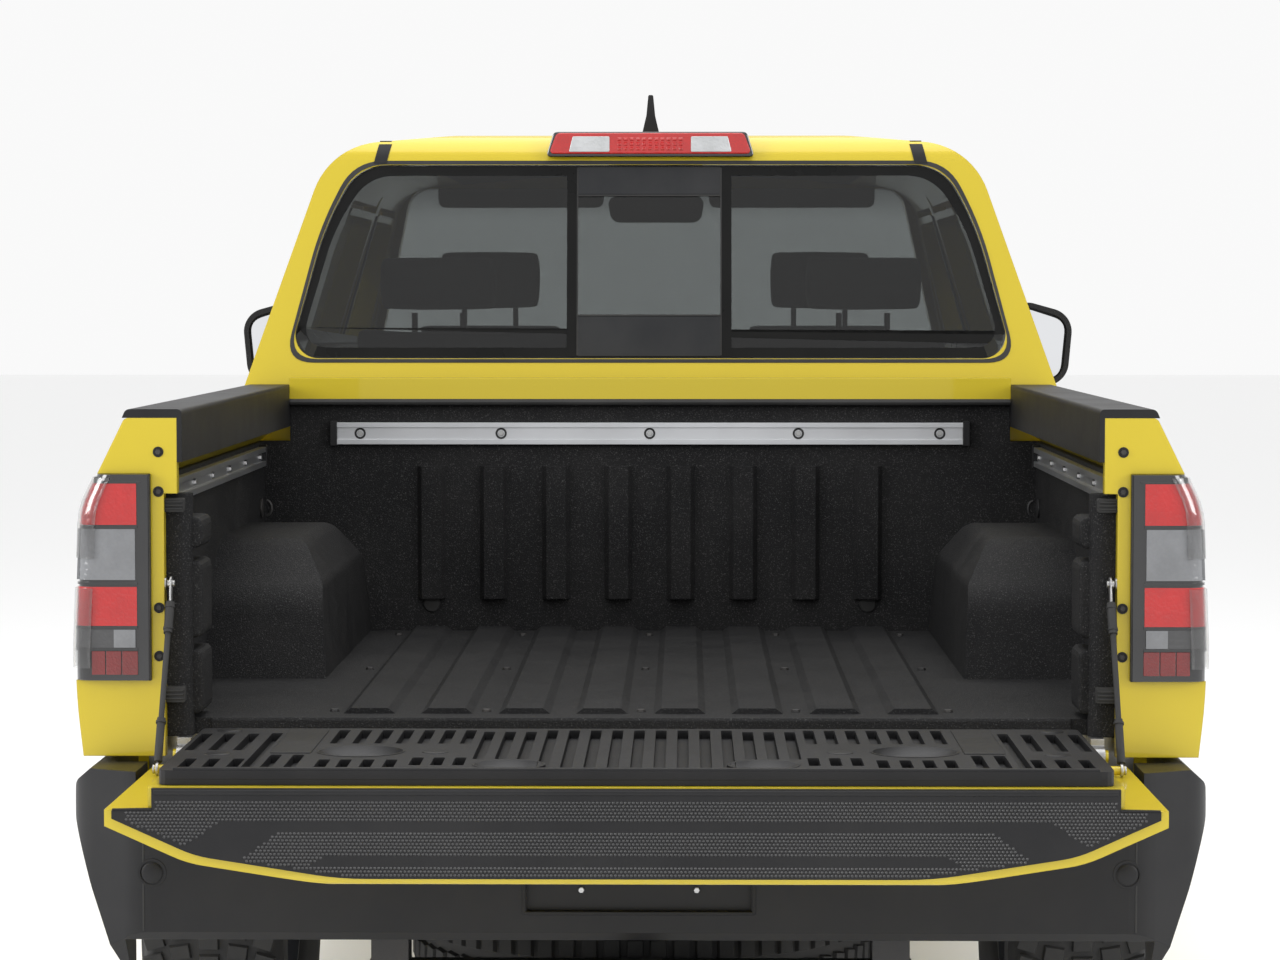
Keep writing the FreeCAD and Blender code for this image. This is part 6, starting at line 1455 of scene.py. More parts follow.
# %%
# Grille mesh and frame, bumper intake and lamps
grille_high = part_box("grille")[1]
mesh_places = []
for row in range(30):
    z = 0.802 + row * 0.0076
    for column in range(-48, 49):
        x = column * 0.0088 + (0.0044 if row % 2 else 0)
        if abs(x) < 0.425 and z < grille_high.z - 0.040:
            found = onto("grille", (x, 4.0, z), (0, -1, 0))[0]
            if found is not None and found.y < grille_high.y - 0.06:
                mesh_places.append(((x, found.y - 0.0004, z), TO_FRONT))
repeated("grille_mesh", mesh_places, 6, 0.55, (0.0072, 0.0072, 0.004), SMOOTH)


def frame_loop(inset, low_radius, high_radius):
    """A loop inside the grille's outline, with larger corners at the top."""
    half, low, high = 0.466 - inset, 0.774 + inset, grille_high.z - 0.004 - inset
    return rounded([(-half, low, low_radius), (half, low, low_radius), (half, high, high_radius),
                    (-half, high, high_radius)], 6)


loops = [frame_loop(0.0, 0.020, 0.038), frame_loop(0.018, 0.012, 0.026)]
frame_ring = sheet_between(lifted(loops, "XZ", grille_high.y + 0.003),
                           lifted(loops, "XZ", grille_high.y - 0.004), True)
piece("grille_frame", frame_ring, GLOSS, edge=0.0015)
INTAKE_Y = 2.785
intake_places = [((column * 0.012 + 0.006 * (row % 2), INTAKE_Y, 0.452 + row * 0.0105), TO_FRONT)
                 for row in range(11) for column in range(-33, 34)]
piece("intake_back", slab("XZ", -0.425, 0.425, 0.436, 0.574, INTAKE_Y - 0.006, INTAKE_Y, 0.02))
repeated("intake_mesh", intake_places, 6, 0.55, (0.0098, 0.0098, 0.005), SMOOTH)
fog_x, fog_z = 0.600, 0.505
fog_face = min(onto("front_bumper", (fog_x + dx, 4.0, fog_z), (0, -1, 0))[0].y for dx in (-0.04, 0.04))
fog_at = (fog_x, fog_face, fog_z)
piece("fog_lamps", both(knob([(0.036, -0.01), (0.035, 0.006)], fog_at, (0, 1, 0), 28, crown=0.005)),
      WHITE_LENS, slot="clear_lens", smooth=True)
fog_rim = turned_ring([(0.037, -0.015), (0.056, -0.03), (0.056, 0.008), (0.050, 0.012), (0.040, 0.006)],
                      fog_at, (0, 1, 0), 36)
piece("fog_lamp_rims", both(fog_rim), smooth=True)
print("grille mesh points", len(mesh_places), "intake points", len(intake_places))

# %% [markdown]
# ## Wipers, washers and cowl
# Two wiper arms lie on the windscreen's foot, bent bars with a flat blade each, and the cowl has rows of
# ribs.

# %%
# Wipers, cowl ribs and washer jets


def on_screen(x, z):
    """A place on the windscreen, seen from the front."""
    return onto("cab_glass", (x, 4.0, z), (0, -1, 0))[0]


wiper_forms, blade_forms = [], []
for foot_x, tip_x in ((-0.08, -0.64), (0.56, 0.02)):
    foot, tip = on_screen(foot_x, 1.262), on_screen(tip_x, 1.300)
    away = Vector((0, 0.55, 0.5)).normalized()
    line = [foot.lerp(tip, k / 8) + away * (0.030 - 0.012 * k / 8) for k in range(9)]
    wiper_forms.append(bar(line[:6], 0.0075, 8, 0.6))
    wiper_forms.append(knob([(0.015, -0.016), (0.014, 0.010)], line[0], away, 16, crown=0.004))
    blade = [on_screen(foot_x + (tip_x - foot_x) * t, 1.262 + 0.075 * t)
             for t in [0.30 + 0.75 * k / 8 for k in range(9)]]
    blade_forms.append(bar([p + away * 0.009 for p in blade], 0.0062, 6, 1.2))
piece("wiper_arms", wiper_forms, smooth=True)
piece("wiper_blades", blade_forms, RUBBER, smooth=True)
cowl_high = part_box("cowl_panel")[1]
cowl_ribs = [((x * 0.021, 1.555, cowl_high.z - 0.0004), UP) for x in range(-31, 32)]
blocks("cowl_ribs", cowl_ribs, 0.011, 0.055, 0.004, 0.8, SMOOTH)
jets = [knob([(0.010, 0), (0.008, 0.006)], onto("hood", (x, 1.66, 2.5),
                                                (0, 0, -1))[0] - Vector((0, 0, 0.001)), (0, 0, 1), 14,
             crown=0.002) for x in (-0.30, 0.30)]
piece("washer_jets", jets, body="hood", smooth=True)
print("wiper feet", [round(v, 3) for v in on_screen(-0.08, 1.262)])

# %% [markdown]
# ## Seats
# Seats are sprung foam under cloth: crowned in the middle, pulled in at the seams, with firmer bolsters at
# the sides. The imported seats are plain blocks, so each pad is built a little smaller than its block,
# remeshed into even small faces, and blown up by Blender's Cloth with a little pressure. How far a point
# may move is capped, and the simulation's last frame is kept as a plain mesh.

# %%
# Shapes of the pads, before they are blown up
FLOOR, SEAT_Y, SEAT_X = 0.600, 0.4765, 0.385


def slab_across(outline, x0, x1):
    """A pad part from a side-view outline with round corners."""
    return pushed(rounded(outline, 4), "YZ", x0, x1)


def front_pad(main, side, half, inner, outer):
    """A front seat's middle pad between its two bolsters."""
    return joined([slab_across(main, SEAT_X - half, SEAT_X + half),
                   slab_across(side, SEAT_X - outer, SEAT_X - inner),
                   slab_across(side, SEAT_X + inner, SEAT_X + outer)])


def bench_pad(shape, back, down):
    """Three pads side by side, tied by a middle one that is a little lower."""
    spans = ((-0.626, -0.216), (-0.206, 0.206), (0.216, 0.626))
    return joined([slab_across(shape, x0, x1) for x0, x1 in spans]
                  + [slab_across([(a - back, b - down, r) for a, b, r in shape], -0.24, 0.24)])


def headrest(x, y, z, half, tall):
    return slab_across([(y - 0.033, z + 0.012, 0.03), (y + 0.040, z + 0.008, 0.03),
                        (y + 0.022, z + tall, 0.04), (y - 0.044, z + tall - 0.006, 0.04)], x - half, x + half)


front_cushion = front_pad([(SEAT_Y, 0.745, 0.03), (SEAT_Y + 0.485, 0.765, 0.04),
                           (SEAT_Y + 0.495, 0.895, 0.05), (SEAT_Y + 0.40, 0.905, 0.05),
                           (SEAT_Y + 0.06, 0.868, 0.02), (SEAT_Y, 0.868, 0.03)],
                          [(SEAT_Y + 0.01, 0.75, 0.03), (SEAT_Y + 0.475, 0.775, 0.04),
                           (SEAT_Y + 0.475, 0.915, 0.05), (SEAT_Y + 0.30, 0.922, 0.10),
                           (SEAT_Y + 0.01, 0.888, 0.04)], 0.17, 0.150, 0.238)
front_back = front_pad([(SEAT_Y - 0.045, 0.87, 0.02), (SEAT_Y + 0.040, 0.885, 0.03),
                        (SEAT_Y - 0.090, 1.470, 0.04), (SEAT_Y - 0.165, 1.465, 0.03)],
                       [(SEAT_Y - 0.045, 0.89, 0.02), (SEAT_Y + 0.060, 0.90, 0.04),
                        (SEAT_Y - 0.035, 1.32, 0.15), (SEAT_Y - 0.095, 1.42, 0.05),
                        (SEAT_Y - 0.155, 1.42, 0.03)], 0.165, 0.145, 0.228)
bench_cushion = bench_pad([(-0.560, 0.640, 0.03), (-0.190, 0.640, 0.03), (-0.088, 0.825, 0.04),
                           (-0.088, 0.905, 0.05), (-0.20, 0.918, 0.08), (-0.500, 0.890, 0.03),
                           (-0.560, 0.890, 0.02)], 0.012, 0.014)
bench_back = bench_pad([(-0.620, 0.900, 0.02), (-0.480, 0.915, 0.03), (-0.560, 1.462, 0.04),
                        (-0.622, 1.462, 0.02)], 0.010, 0.008)
bench_rest_top = onto("seats", (0.0, -0.595, 2.5), (0, 0, -1))[0].z
print("bench rest top", round(bench_rest_top, 3))

# %%
# Remesh, blow up and keep


def remeshed(name, form, voxel):
    """A form as one closed skin of small even faces."""
    mesh = bpy.data.meshes.new(name)
    mesh.from_pydata(form[0], [], form[1])
    work = bmesh.new()
    work.from_mesh(mesh)
    bmesh.ops.recalc_face_normals(work, faces=work.faces)
    work.to_mesh(mesh)
    work.free()
    made = bpy.data.objects.new(name, mesh)
    scene.collection.objects.link(made)
    even = made.modifiers.new("even", "REMESH")
    even.mode, even.voxel_size = "VOXEL", voxel
    bpy.context.view_layer.update()
    made.data = bpy.data.meshes.new_from_object(made.evaluated_get(bpy.context.evaluated_depsgraph_get()))
    made.modifiers.clear()
    return made


PRESSURE, LAST_FRAME = 4.0, 20


def blow_up(pads, cap):
    """Inflates several pads together, with a cap on how far each point moves."""
    before = {}
    for pad in pads:
        before[pad.name] = [v.co.copy() for v in pad.data.vertices]
        cloth = pad.modifiers.new("blown", "CLOTH")
        cloth.settings.use_pressure = True
        cloth.settings.uniform_pressure_force = PRESSURE
        cloth.settings.quality = 4
        cloth.settings.effector_weights.gravity = 0.0
        cloth.point_cache.frame_start, cloth.point_cache.frame_end = 1, LAST_FRAME
    for frame_number in range(1, LAST_FRAME + 1):
        scene.frame_set(frame_number)
    graph = bpy.context.evaluated_depsgraph_get()
    results = [bpy.data.meshes.new_from_object(pad.evaluated_get(graph)) for pad in pads]
    for pad, mesh in zip(pads, results):
        pad.modifiers.clear()
        for vertex, start in zip(mesh.vertices, before[pad.name]):
            move = vertex.co - start
            if move.length > cap:
                vertex.co = start + move.normalized() * cap
        pad.data = mesh
    scene.frame_set(1)


REST_FOOT = 1.478
pads = {name: remeshed(name, form, voxel)
        for name, form, voxel in (("front_cushion", front_cushion, 0.011), ("front_back", front_back, 0.011),
                  ("front_headrest", headrest(SEAT_X, SEAT_Y - 0.135, REST_FOOT, 0.112, 0.142), 0.009),
                  ("bench_cushion", bench_cushion, 0.014), ("bench_back", bench_back, 0.014),
                  ("bench_headrest", headrest(0.0, -0.590, REST_FOOT, 0.118, bench_rest_top - 1.490), 0.010))}
blow_up([pads[k] for k in ("front_cushion", "front_back", "bench_cushion", "bench_back")], 0.022)
blow_up([pads[k] for k in ("front_headrest", "bench_headrest")], 0.014)
print("pad faces", {k: len(p.data.polygons) for k, p in pads.items()})

# %%
# The pads in their places


def place_pad(source, name, shift, folded=False):
    """A pad's mesh at its seat, finished and put on the chassis; a folded rest lies forward over the back."""
    mesh = source.data.copy()
    for vertex in mesh.vertices:
        vertex.co.x += shift
        if folded:
            out, up = vertex.co.y + 0.590, vertex.co.z - REST_FOOT
            vertex.co.y, vertex.co.z = -0.585 + up, 1.425 - out
    mesh.materials.clear()
    mesh.materials.append(LOOKS["seat_fabric"])
    mesh.shade_smooth()
    made = bpy.data.objects.new(name, mesh)
    scene.collection.objects.link(made)
    soft = made.modifiers.new("soft", "SUBSURF")
    soft.levels = soft.render_levels = 1
    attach(made, "chassis")
    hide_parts("seats")
    return made


placed = []
for side_name, shift in (("right", 0.0), ("left", -2 * SEAT_X)):
    for part in ("front_cushion", "front_back", "front_headrest"):
        placed.append(place_pad(pads[part], f"{part}_{side_name}", shift))
placed.append(place_pad(pads["bench_cushion"], "rear_bench_cushion", 0.0))
placed.append(place_pad(pads["bench_back"], "rear_bench_back", 0.0))
for side_name, shift in (("left", -0.44), ("middle", 0.0), ("right", 0.44)):
    placed.append(place_pad(pads["bench_headrest"], f"bench_headrest_{side_name}", shift,
                            side_name == "middle"))
for source in pads.values():
    bpy.data.objects.remove(source)
print("pads", len(placed))

# %% [markdown]
# ## Seams and seat frames
# Sewn seams come after the pads are blown up: each is a thin bead that follows rays cast onto the finished
# pad. The frames under the seats, the headrest stems and the belt buckles are plain hard parts.

# %%
# Beads on the pads


BEAD_RADIUS = 0.0024


def bead(pad, starts, toward):
    """A sewn bead along a line of rays cast at a pad."""
    tree = BVHTree.FromPolygons([v.co.copy() for v in pad.data.vertices],
                                [tuple(p.vertices) for p in pad.data.polygons])
    hits = [tree.ray_cast(Vector(s), Vector(toward))[0] for s in starts]
    return bar([h for h in hits if h is not None], BEAD_RADIUS, 6, up=(0.3, 0.2, 0.9))


pad_by_name = {p.name: p for p in placed}
DOWN, BACK = (0, 0, -1), (0, -1, 0)
seams = []
for side_name, x in (("right", SEAT_X), ("left", -SEAT_X)):
    cushion, back = pad_by_name[f"front_cushion_{side_name}"], pad_by_name[f"front_back_{side_name}"]
    across = spaced(x - 0.15, x + 0.15, 13)
    for dx in (-0.158, 0.158):
        seams.append(bead(cushion, [(x + dx, y, 1.3) for y in spaced(SEAT_Y + 0.09, SEAT_Y + 0.46, 15)],
                          DOWN))
        seams.append(bead(back, [(x + dx, 1.4, z) for z in spaced(0.95, 1.41, 17)], BACK))
    seams += [bead(cushion, [(a, y, 1.3) for a in across], DOWN) for y in (SEAT_Y + 0.20, SEAT_Y + 0.34)]
    seams += [bead(back, [(a, 1.4, z) for a in across], BACK) for z in (1.08, 1.26)]
bench, bench_rear = pad_by_name["rear_bench_cushion"], pad_by_name["rear_bench_back"]
for x in (-0.55, -0.29, 0.29, 0.55):
    seams.append(bead(bench, [(x, y, 1.3) for y in spaced(-0.47, -0.11, 13)], DOWN))
    seams.append(bead(bench_rear, [(x, 0.3, z) for z in spaced(0.95, 1.40, 15)], BACK))
piece("seat_seams", seams, slot="seat_fabric", smooth=True)
print("seams", len(seams))

# %%
# Seat frames, stems and buckles
frames = []
for x in (SEAT_X, -SEAT_X):
    frames.append(slab("XY", x - 0.185, x + 0.185, SEAT_Y + 0.03, SEAT_Y + 0.43, 0.665, 0.752, 0.03))
    for dx in (-0.165, 0.165):
        frames.append(slab("XY", x + dx - 0.018, x + dx + 0.018, SEAT_Y + 0.0, SEAT_Y + 0.46, FLOOR + 0.001,
                           0.668, 0.006))
    frames.append(pushed(rounded([(SEAT_Y - 0.02, 0.76, 0.03), (SEAT_Y + 0.10, 0.76, 0.02),
                                  (SEAT_Y + 0.05, 0.90, 0.02), (SEAT_Y - 0.035, 0.90, 0.02)]), "YZ",
                         x - 0.248, x - 0.236))
    for dx in (-0.06, 0.06):
        frames.append(bar([(x + dx, SEAT_Y - 0.125, 1.44), (x + dx, SEAT_Y - 0.130, 1.50)], 0.0065, 10,
                          up=(0, 1, 0)))
frames.append(slab("XY", -0.60, 0.60, -0.55, -0.22, FLOOR + 0.001, 0.645, 0.02))
for x in (-0.44, 0.44):
    for dx in (-0.05, 0.05):
        frames.append(bar([(x + dx, -0.588, 1.41), (x + dx, -0.590, 1.48)], 0.0065, 10, up=(0, 1, 0)))
piece("seat_frames", frames, edge=0.0015, stands_for=["seats"])
buckles = [slab("XY", x - 0.012, x + 0.012, SEAT_Y + 0.015, SEAT_Y + 0.045, 0.76, 0.955, 0.004)
           for x in (SEAT_X - 0.257, -SEAT_X + 0.257)]
piece("belt_buckles", buckles, edge=0.003)
print("frames", len(frames))

# %% [markdown]
# ## Dashboard
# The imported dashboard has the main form. A screen, four vents with slats, two dials, knobs, a gear lever
# and pedals bring it to life through the glass and with a door open.

# %%
# Screen, vents, dials and controls


def on_dash(x, z):
    """A place on the dashboard's face, seen from the seats."""
    return onto("dashboard", (x, 0.60, z), (0, 1, 0))[0]


screen_at = on_dash(0.0, 1.085)
screen = slab("XZ", -0.125, 0.125, 1.045, 1.150, screen_at.y - 0.020, screen_at.y + 0.03, 0.012)
piece("dash_screen", screen, GLOSS, edge=0.002)
vent_rims, slats = [], []
for x in (-0.64, -0.165, 0.165, 0.64):
    at = on_dash(x, 1.075)
    vent_rims.append(turned_ring([(0.034, -0.003), (0.041, -0.001), (0.041, 0.006), (0.034, 0.006)],
                                 (x, at.y - 0.004, 1.075), (0, 1, 0), 28))
    slats += [((x, at.y + 0.001, 1.075 + dz), TO_BACK) for dz in (-0.02, -0.01, 0.0, 0.01, 0.02)]
piece("vent_rims", vent_rims, CHROME, smooth=True)
blocks("vent_slats", slats, 0.055, 0.004, 0.006, 0.8, SMOOTH)
cluster_y, dial_xs = on_dash(-0.30, 1.10).y, (-0.455, -0.315)
rims = [turned_ring([(0.040, -0.004), (0.046, -0.004), (0.046, 0.01), (0.040, 0.01)],
                    (x, cluster_y - 0.006, 1.105), (0, 1, 0), 32) for x in dial_xs]
piece("dial_rims", rims, CHROME, smooth=True)
dials = [knob([(0.040, 0), (0.040, 0.003)], (x, cluster_y - 0.004, 1.105), (0, 1, 0), 28) for x in dial_xs]
piece("dial_faces", dials, GLOSS)
knobs = [knob([(0.016, -0.022), (0.018, 0.004)], (x, on_dash(x, 0.985).y + 0.001, 0.985), (0, 1, 0), 20)
         for x in (-0.08, 0.0, 0.08)]
piece("climate_knobs", knobs, smooth=True)
tunnel_top = onto("dashboard", (0.0, 0.86, 2.0), (0, 0, -1))[0]
lever = [bar([(0.0, 0.86, tunnel_top.z - 0.004), (0.0, 0.852, tunnel_top.z + 0.06),
              (0.0, 0.842, tunnel_top.z + 0.12)], 0.008, 10, up=(0, 1, 0)),
         turned([(0.0005, -0.03), (0.018, -0.026), (0.025, 0.0), (0.021, 0.028), (0.0005, 0.036)],
                (0.0, 0.842, tunnel_top.z + 0.14), (0, -0.08, 1), 24),
         knob([(0.052, 0.0), (0.045, 0.012), (0.020, 0.035)], (0.0, 0.86, tunnel_top.z - 0.002), (0, 0, 1),
              24, crown=0.001)]
piece("gear_lever", lever, smooth=True)
pedals = [slab("XZ", x - w, x + w, 0.700, 0.780, 1.205, 1.222, 0.010)
          for x, w in ((-0.30, 0.026), (-0.385, 0.034), (-0.47, 0.030))]
pedals += [bar([(x, 1.22, 0.76), (x, 1.27, 0.84), (x, 1.33, 0.88)], 0.007, 8) for x in (-0.30, -0.385, -0.47)]
piece("pedals", pedals, RUBBER, edge=0.002)
hub_middle = Vector((-0.385, 0.8815, 1.140))
toward_driver = Vector((0, -math.cos(math.radians(24)), math.sin(math.radians(24))))
boss = knob([(0.062, -0.006), (0.066, 0.010), (0.055, 0.024), (0.025, 0.030)], hub_middle, toward_driver, 32,
            crown=0.001)
piece("steering_boss", boss, body="steering_wheel", smooth=True)
print("screen at", [round(v, 3) for v in screen_at])

# %% [markdown]
# ## Door cards
# Each door has an armrest and a speaker cover on its inner face, which swing with it.

# %%
# Armrests and speaker covers
for label, y0, y1 in (("front", 0.42, 1.05), ("rear", -0.36, 0.16)):
    node_name = f"{label}_door_right"
    inner = onto(node_name, (0.40, (y0 + y1) / 2, 0.98), (1, 0, 0))[0]
    rest = pushed(rounded([(inner.x - 0.055, 0.955, 0.015), (inner.x + 0.004, 0.940, 0.002),
                           (inner.x + 0.004, 1.010, 0.002), (inner.x - 0.055, 1.005, 0.015)]), "XZ", y0, y1)
    mirrored_pair(f"{label}_armrest", rest, f"{label}_door", edge=0.004)
    speaker_y = y0 + 0.50 if label == "front" else y0 + 0.10
    at = onto(node_name, (0.40, speaker_y, 0.70), (1, 0, 0))[0]
    cover = knob([(0.078, 0), (0.074, 0.008)], (at.x + 0.002, speaker_y, 0.70), (-1, 0, 0), 32, crown=0.002)
    mirrored_pair(f"{label}_speaker", cover, f"{label}_door", "black_plastic", smooth=True)
print("door cards done")

# %%
# Sun visors
visors = []
for side in (1, -1):
    at = onto("cab_glass", (side * 0.30, 0.80, 1.742), (0, 1, 0))[0]
    visors.append(slab("XZ", side * 0.130, side * 0.540, 1.733, 1.800, at.y - 0.075, at.y - 0.060, 0.020))
piece("sun_visors", visors, "seat_fabric", edge=0.005, segments=3)
print("visors at", round(at.y, 3))

# %% [markdown]
# ## Lower body
# Thin black strips edge the front bumper round a bare plate holder, and two hooks stand below it. The
# headlamps turn on to the sides, a painted filler closes the gap under each, and every wheel arch has a
# black lip.

# %%
# Bumper strips, plate holder and hooks
strips = [front_patch("front_bumper", -0.60, 0.60, 0.425, 0.445, 0.004, 24),
          front_patch("front_bumper", -0.50, 0.50, 0.592, 0.610, 0.004, 20)]
piece("bumper_strips", strips, edge=0.0012)
plate_face = onto("front_bumper", (0.0, 4.0, 0.65), (0, -1, 0))[0].y
holder = slab("XZ", -0.155, 0.155, 0.618, 0.690, plate_face - 0.001, plate_face + 0.004, 0.006)
piece("front_plate_holder", holder, edge=0.0015)
hooks = []
for x in (-0.36, 0.36):
    loop = [(x, 2.80 + 0.028 * math.sin(math.pi * k / 10), 0.400 - 0.03 * math.cos(math.pi * k / 10))
            for k in range(11)]
    hooks.append(bar([(x, 2.70, 0.430), (x, 2.76, 0.430)] + loop[::-1] + [(x, 2.74, 0.372)], 0.009, 8,
                     up=(1, 0, 0)))
piece("tow_hooks", hooks, "black_steel", smooth=True)
print("hooks", len(hooks))

# %%
# Headlamp sides and wheel-arch edges
AMBER = lens("amber_lens", (0.75, 0.22, 0.01), prism=220.0)
piece("headlamp_side_surrounds", both(strip("headlamps", 2.635, 2.775, 0.884, 1.022, 0.0016, 6)), GLOSS)
piece("headlamp_side_bars", both(strip("headlamps", 2.66, 2.772, 1.004, 1.016, 0.0040, 6)), WHITE_LENS,
      slot="clear_lens")
piece("headlamp_side_markers", both(strip("headlamps", 2.665, 2.735, 0.905, 0.935, 0.0036, 4)), AMBER,
      slot="clear_lens")
ARCH_X, ARCH_RADIUS = 0.908, 0.4705
for end, start, stop in (("rear", 14, 166), ("front", 6, 172)):
    wheel_y = wheels[end + "_right"][0][1]
    path = [(ARCH_X, y, z) for y, z in arc(wheel_y, TYRE_R, ARCH_RADIUS, start, stop, 36)]
    piece(end + "_arch_edges", both(bar(path, 0.0055, 6, up=(1, 0, 0))), smooth=True)
filler = slab("XZ", 0.4735, 0.872, 0.771, 0.8685, 2.68, 2.758, 0.004)
piece("headlamp_fillers", both(filler), "body_paint", edge=0.004)
print("arch edges and fillers done")

# %% [markdown]
# ## Cabin trim
# Inside, the painted shell is hidden by carpet on the floor and footwell, a pale cloth under the roof,
# plastic on the rear wall and posts, and a moulded card on each door. Each is a thin sheet laid on the
# shell by rays cast from inside.

# %%
# Carpet, headliner, rear wall and posts
CARPET = finish("carpet", (0.014, 0.014, 0.015), 0.95, dust=0.15, speck=0.25, speck_scale=700.0, weave=260.0,
                grain_depth=0.8, edge=0.0, Specular_IOR_Level=0.1)
PALE_CLOTH = finish("headliner_cloth", (0.09, 0.088, 0.082), 0.92, dust=0.05, weave=320.0, grain_depth=0.3,
                    edge=0.0)


def inner_sheet(name, node_name, toward, starts, look=SMOOTH, body="chassis", out=0.005):
    piece(name, draped(node_name, toward, starts, out, 0.002), look, body)


inner_sheet("cabin_carpet", "cab_shell", (0, 0, -1), ray_grid("XY", (-0.685, 0.685, 24), (-0.66, 1.36, 30),
                                                              0.75), CARPET)
inner_sheet("footwell_carpet", "cab_shell", (0, 1, 0), ray_grid("XZ", (-0.66, 0.66, 20), (0.612, 0.88, 8),
                                                                1.20), CARPET)
inner_sheet("headliner", "cab_shell", (0, 0, 1), ray_grid("XY", (-0.47, 0.47, 16), (-0.56, 0.72, 16), 1.60),
            PALE_CLOTH)
inner_sheet("rear_wall_trim", "cab_shell", (0, -1, 0), ray_grid("XZ", (-0.66, 0.66, 20), (0.612, 1.37, 10),
                                                                -0.45))
for side_name, side in (("right", 1), ("left", -1)):
    inner_sheet(f"centre_post_trim_{side_name}", "cab_shell", (side, 0, 0),
                ray_grid("YZ", (0.248, 0.318, 5), (0.62, 1.70, 24), side * 0.50))
print("cabin sheets done")

# %%
# Door cards
for label, y0, y1 in (("front", 0.345, 1.285), ("rear", -0.40, 0.225)):
    for side_name, side in (("right", 1), ("left", -1)):
        door = f"{label}_door_{side_name}"
        inner_sheet(f"{label}_door_card_{side_name}", door, (side, 0, 0),
                    ray_grid("YZ", (y0, y1, 18), (0.545, 1.165, 14), side * 0.42), "black_plastic", door,
                    0.004)
print("door cards done")

# %% [markdown]
# ## Under the bonnet
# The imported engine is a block. A ribbed cover, cam covers, pulleys, a fan in its shroud, hoses, a battery,
# a coolant bottle, an air box and the brake servo fill the bay, and a pad lines the bonnet.

# %%
# Engine covers, pulleys and fan
engine_top = onto("powertrain", (0.0, 1.90, 1.04), (0, 0, -1))[0].z
engine_front = onto("powertrain", (0.0, 2.50, engine_top - 0.20), (0, -1, 0))[0].y
cover = [slab("XY", -0.125, 0.125, 1.62, 2.17, engine_top - 0.002, engine_top + 0.040, 0.035)]
cover += [slab("XY", x - 0.006, x + 0.006, 1.68, 2.11, engine_top + 0.038, engine_top + 0.046, 0.005)
          for x in (-0.09, -0.06, -0.03, 0.0, 0.03, 0.06, 0.09)]
piece("engine_cover", cover, edge=0.004)
cams = slab("XY", 0.132, 0.208, 1.60, 2.19, engine_top - 0.002, engine_top + 0.018, 0.025)
piece("cam_covers", both(cams), "aluminium", edge=0.004)
cam_bolts = [((side * x, y, engine_top + 0.0178), UP) for side in (1, -1) for x in (0.141, 0.199)
             for y in (1.64, 1.80, 1.96, 2.12)]
bolts("cam_cover_bolts", cam_bolts, 0.013, 0.006, "steel")
pulleys = []
for x, drop, radius in ((0.0, 0.34, 0.075), (-0.13, 0.16, 0.036), (0.12, 0.19, 0.050), (0.0, 0.17, 0.044)):
    pulleys.append(knob([(radius * 0.4, 0), (radius * 0.4, 0.018), (radius, 0.014), (radius, 0.020),
                         (radius - 0.005, 0.023), (radius - 0.005, 0.035), (radius, 0.038), (radius, 0.044),
                         (radius * 0.5, 0.036)], (x, engine_front - 0.001, engine_top - drop), (0, 1, 0), 32))
piece("engine_pulleys", pulleys, "black_steel", smooth=True)
fan_y = onto("radiator_panel", (0.0, 2.40, 0.80), (0, 1, 0))[0].y
shroud = turned_ring([(0.182, 0.0), (0.200, 0.0), (0.196, 0.050), (0.182, 0.050)], (0, fan_y - 0.001, 0.790),
                     (0, -1, 0), 48)
blades = [knob([(0.045, 0), (0.040, 0.022)], (0, fan_y - 0.020, 0.790), (0, -1, 0), 28, crown=0.004)]
for k in range(7):
    sweep = 2 * math.pi * k / 7
    corners = [(r * math.cos(sweep + a), 0.790 + r * math.sin(sweep + a))
               for r, a in ((0.040, -0.30), (0.176, -0.20), (0.176, 0.16), (0.040, 0.30))]
    blades.append(pushed(corners, "XZ", fan_y - 0.036, fan_y - 0.032))
piece("fan_shroud", shroud, smooth=True)
piece("fan_blades", blades, edge=0.001)
print("engine top", round(engine_top, 3), "front", round(engine_front, 3), "fan", round(fan_y, 3))

# %%
# Hoses, battery, bottle, air box and servo
hoses = [bar([(0.16, fan_y + 0.002, 0.955), (0.16, fan_y - 0.07, 0.965), (0.13, 2.38, engine_top - 0.01),
              (0.10, 2.27, engine_top - 0.05), (0.10, engine_front - 0.01, engine_top - 0.06)], 0.019, 16),
         bar([(-0.42, 2.36, 0.90), (-0.33, 2.36, 0.90), (-0.22, 2.32, 0.93),
              (-0.15, engine_front - 0.004, 0.90)], 0.010, 12)]
duct = bar([(0.40, 2.08, 0.955), (0.30, 2.08, engine_top + 0.01), (0.20, 2.02, engine_top + 0.046),
            (0.10, 1.98, engine_top + 0.050)], 0.032, 20)
piece("engine_hoses", hoses + [duct], RUBBER, smooth=True)
battery = [slab("XY", 0.385, 0.600, 2.300, 2.475, 0.816, 0.965, 0.008),
           slab("XY", 0.380, 0.605, 2.295, 2.480, 0.945, 0.975, 0.008),
           slab("XY", 0.370, 0.615, 2.285, 2.490, 0.800, 0.830, 0.012)]
piece("battery", battery, edge=0.003)
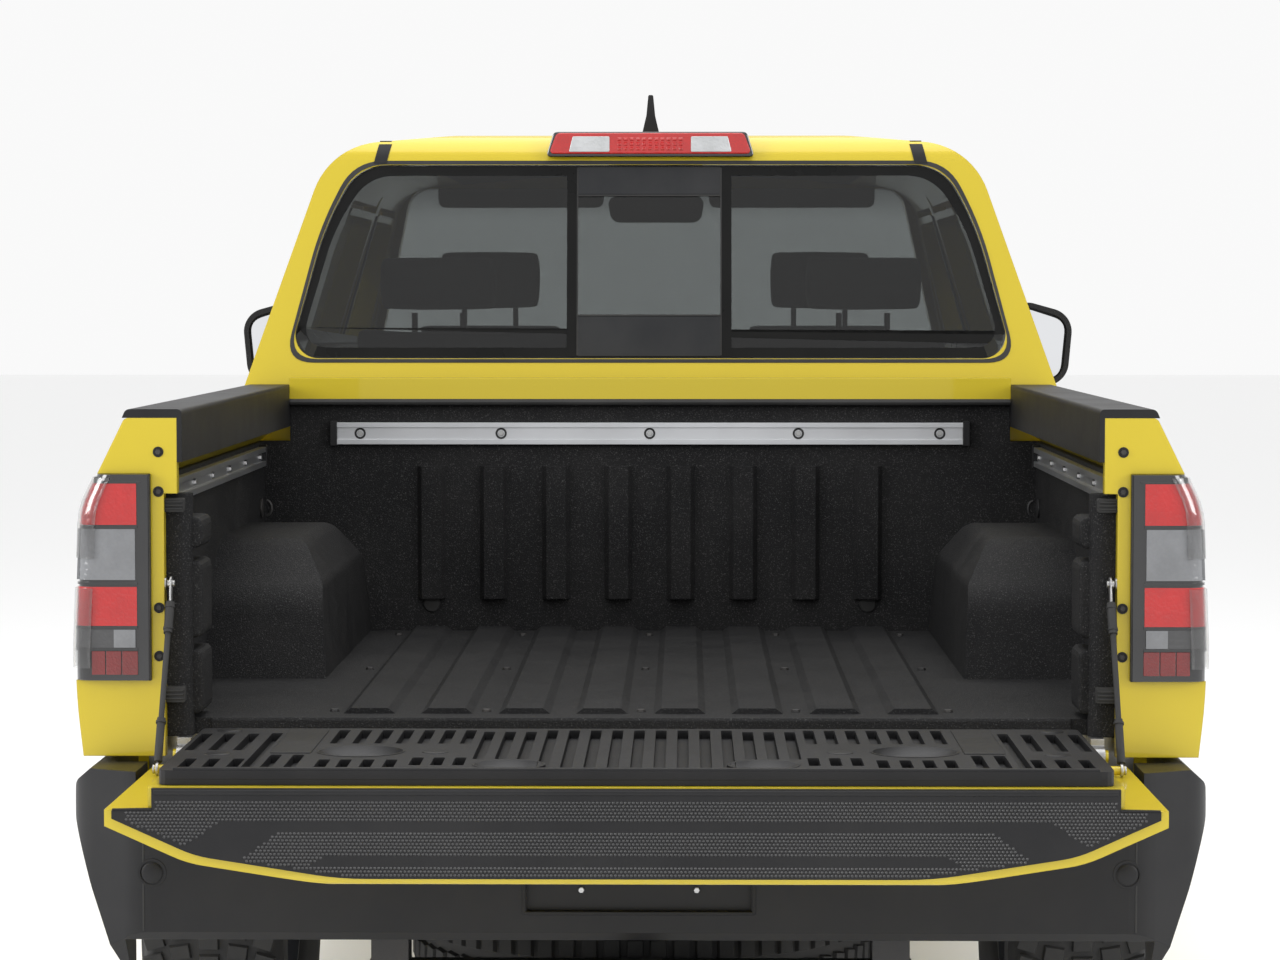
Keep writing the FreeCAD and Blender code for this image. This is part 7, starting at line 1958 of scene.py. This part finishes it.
posts = [knob([(0.014, 0), (0.014, 0.006), (0.008, 0.007), (0.0075, 0.020)], (x, 2.335, 0.974), (0, 0, 1), 20)
         for x in (0.415, 0.570)]
piece("battery_posts", posts, "steel", smooth=True)
BOTTLE = finish("milky_bottle", (0.42, 0.42, 0.38), 0.4, dust=0.25, edge=0.003, Transmission_Weight=0.25)
bottle = [slab("XY", -0.600, -0.415, 2.310, 2.480, 0.800, 0.955, 0.030),
          slab("XY", -0.594, -0.421, 2.316, 2.474, 0.955, 0.966, 0.028)]
piece("coolant_bottle", bottle, BOTTLE, slot="clear_lens", edge=0.008, segments=3)
bottle_cap = knob([(0.026, 0), (0.026, 0.018), (0.022, 0.024)], (-0.507, 2.395, 0.965), (0, 0, 1), 24)
piece("coolant_cap", bottle_cap, smooth=True)
air_box = [slab("XY", 0.375, 0.610, 1.960, 2.190, 0.815, 0.915, 0.030),
           slab("XY", 0.368, 0.617, 1.953, 2.197, 0.915, 0.927, 0.030),
           slab("XY", 0.380, 0.605, 1.965, 2.185, 0.927, 0.990, 0.035)]
piece("air_box", air_box, edge=0.005, segments=3)
servo_y = onto("cab_shell", (-0.385, 1.95, 0.93), (0, -1, 0))[0].y
servo = [knob([(0.085, -0.002), (0.108, 0.022), (0.113, 0.048), (0.106, 0.062), (0.070, 0.090),
               (0.030, 0.098)], (-0.385, servo_y, 0.93), (0, 1, 0), 40, crown=0.001),
         knob([(0.020, 0.095), (0.020, 0.215)], (-0.385, servo_y, 0.93), (0, 1, 0), 24, crown=0.001)]
piece("brake_servo", servo, "black_steel", smooth=True)
fluid = slab("XY", -0.415, -0.355, servo_y + 0.115, servo_y + 0.205, 0.945, 0.985, 0.012)
piece("brake_fluid_bottle", fluid, BOTTLE, slot="clear_lens", edge=0.004)
hood_pad = draped("hood", (0, 0, 1), ray_grid("XY", (-0.52, 0.52, 14), (1.70, 2.56, 12), 0.93), 0.006, 0.002)
piece("bonnet_pad", hood_pad, CARPET, "hood")
print("servo on", round(servo_y, 3))
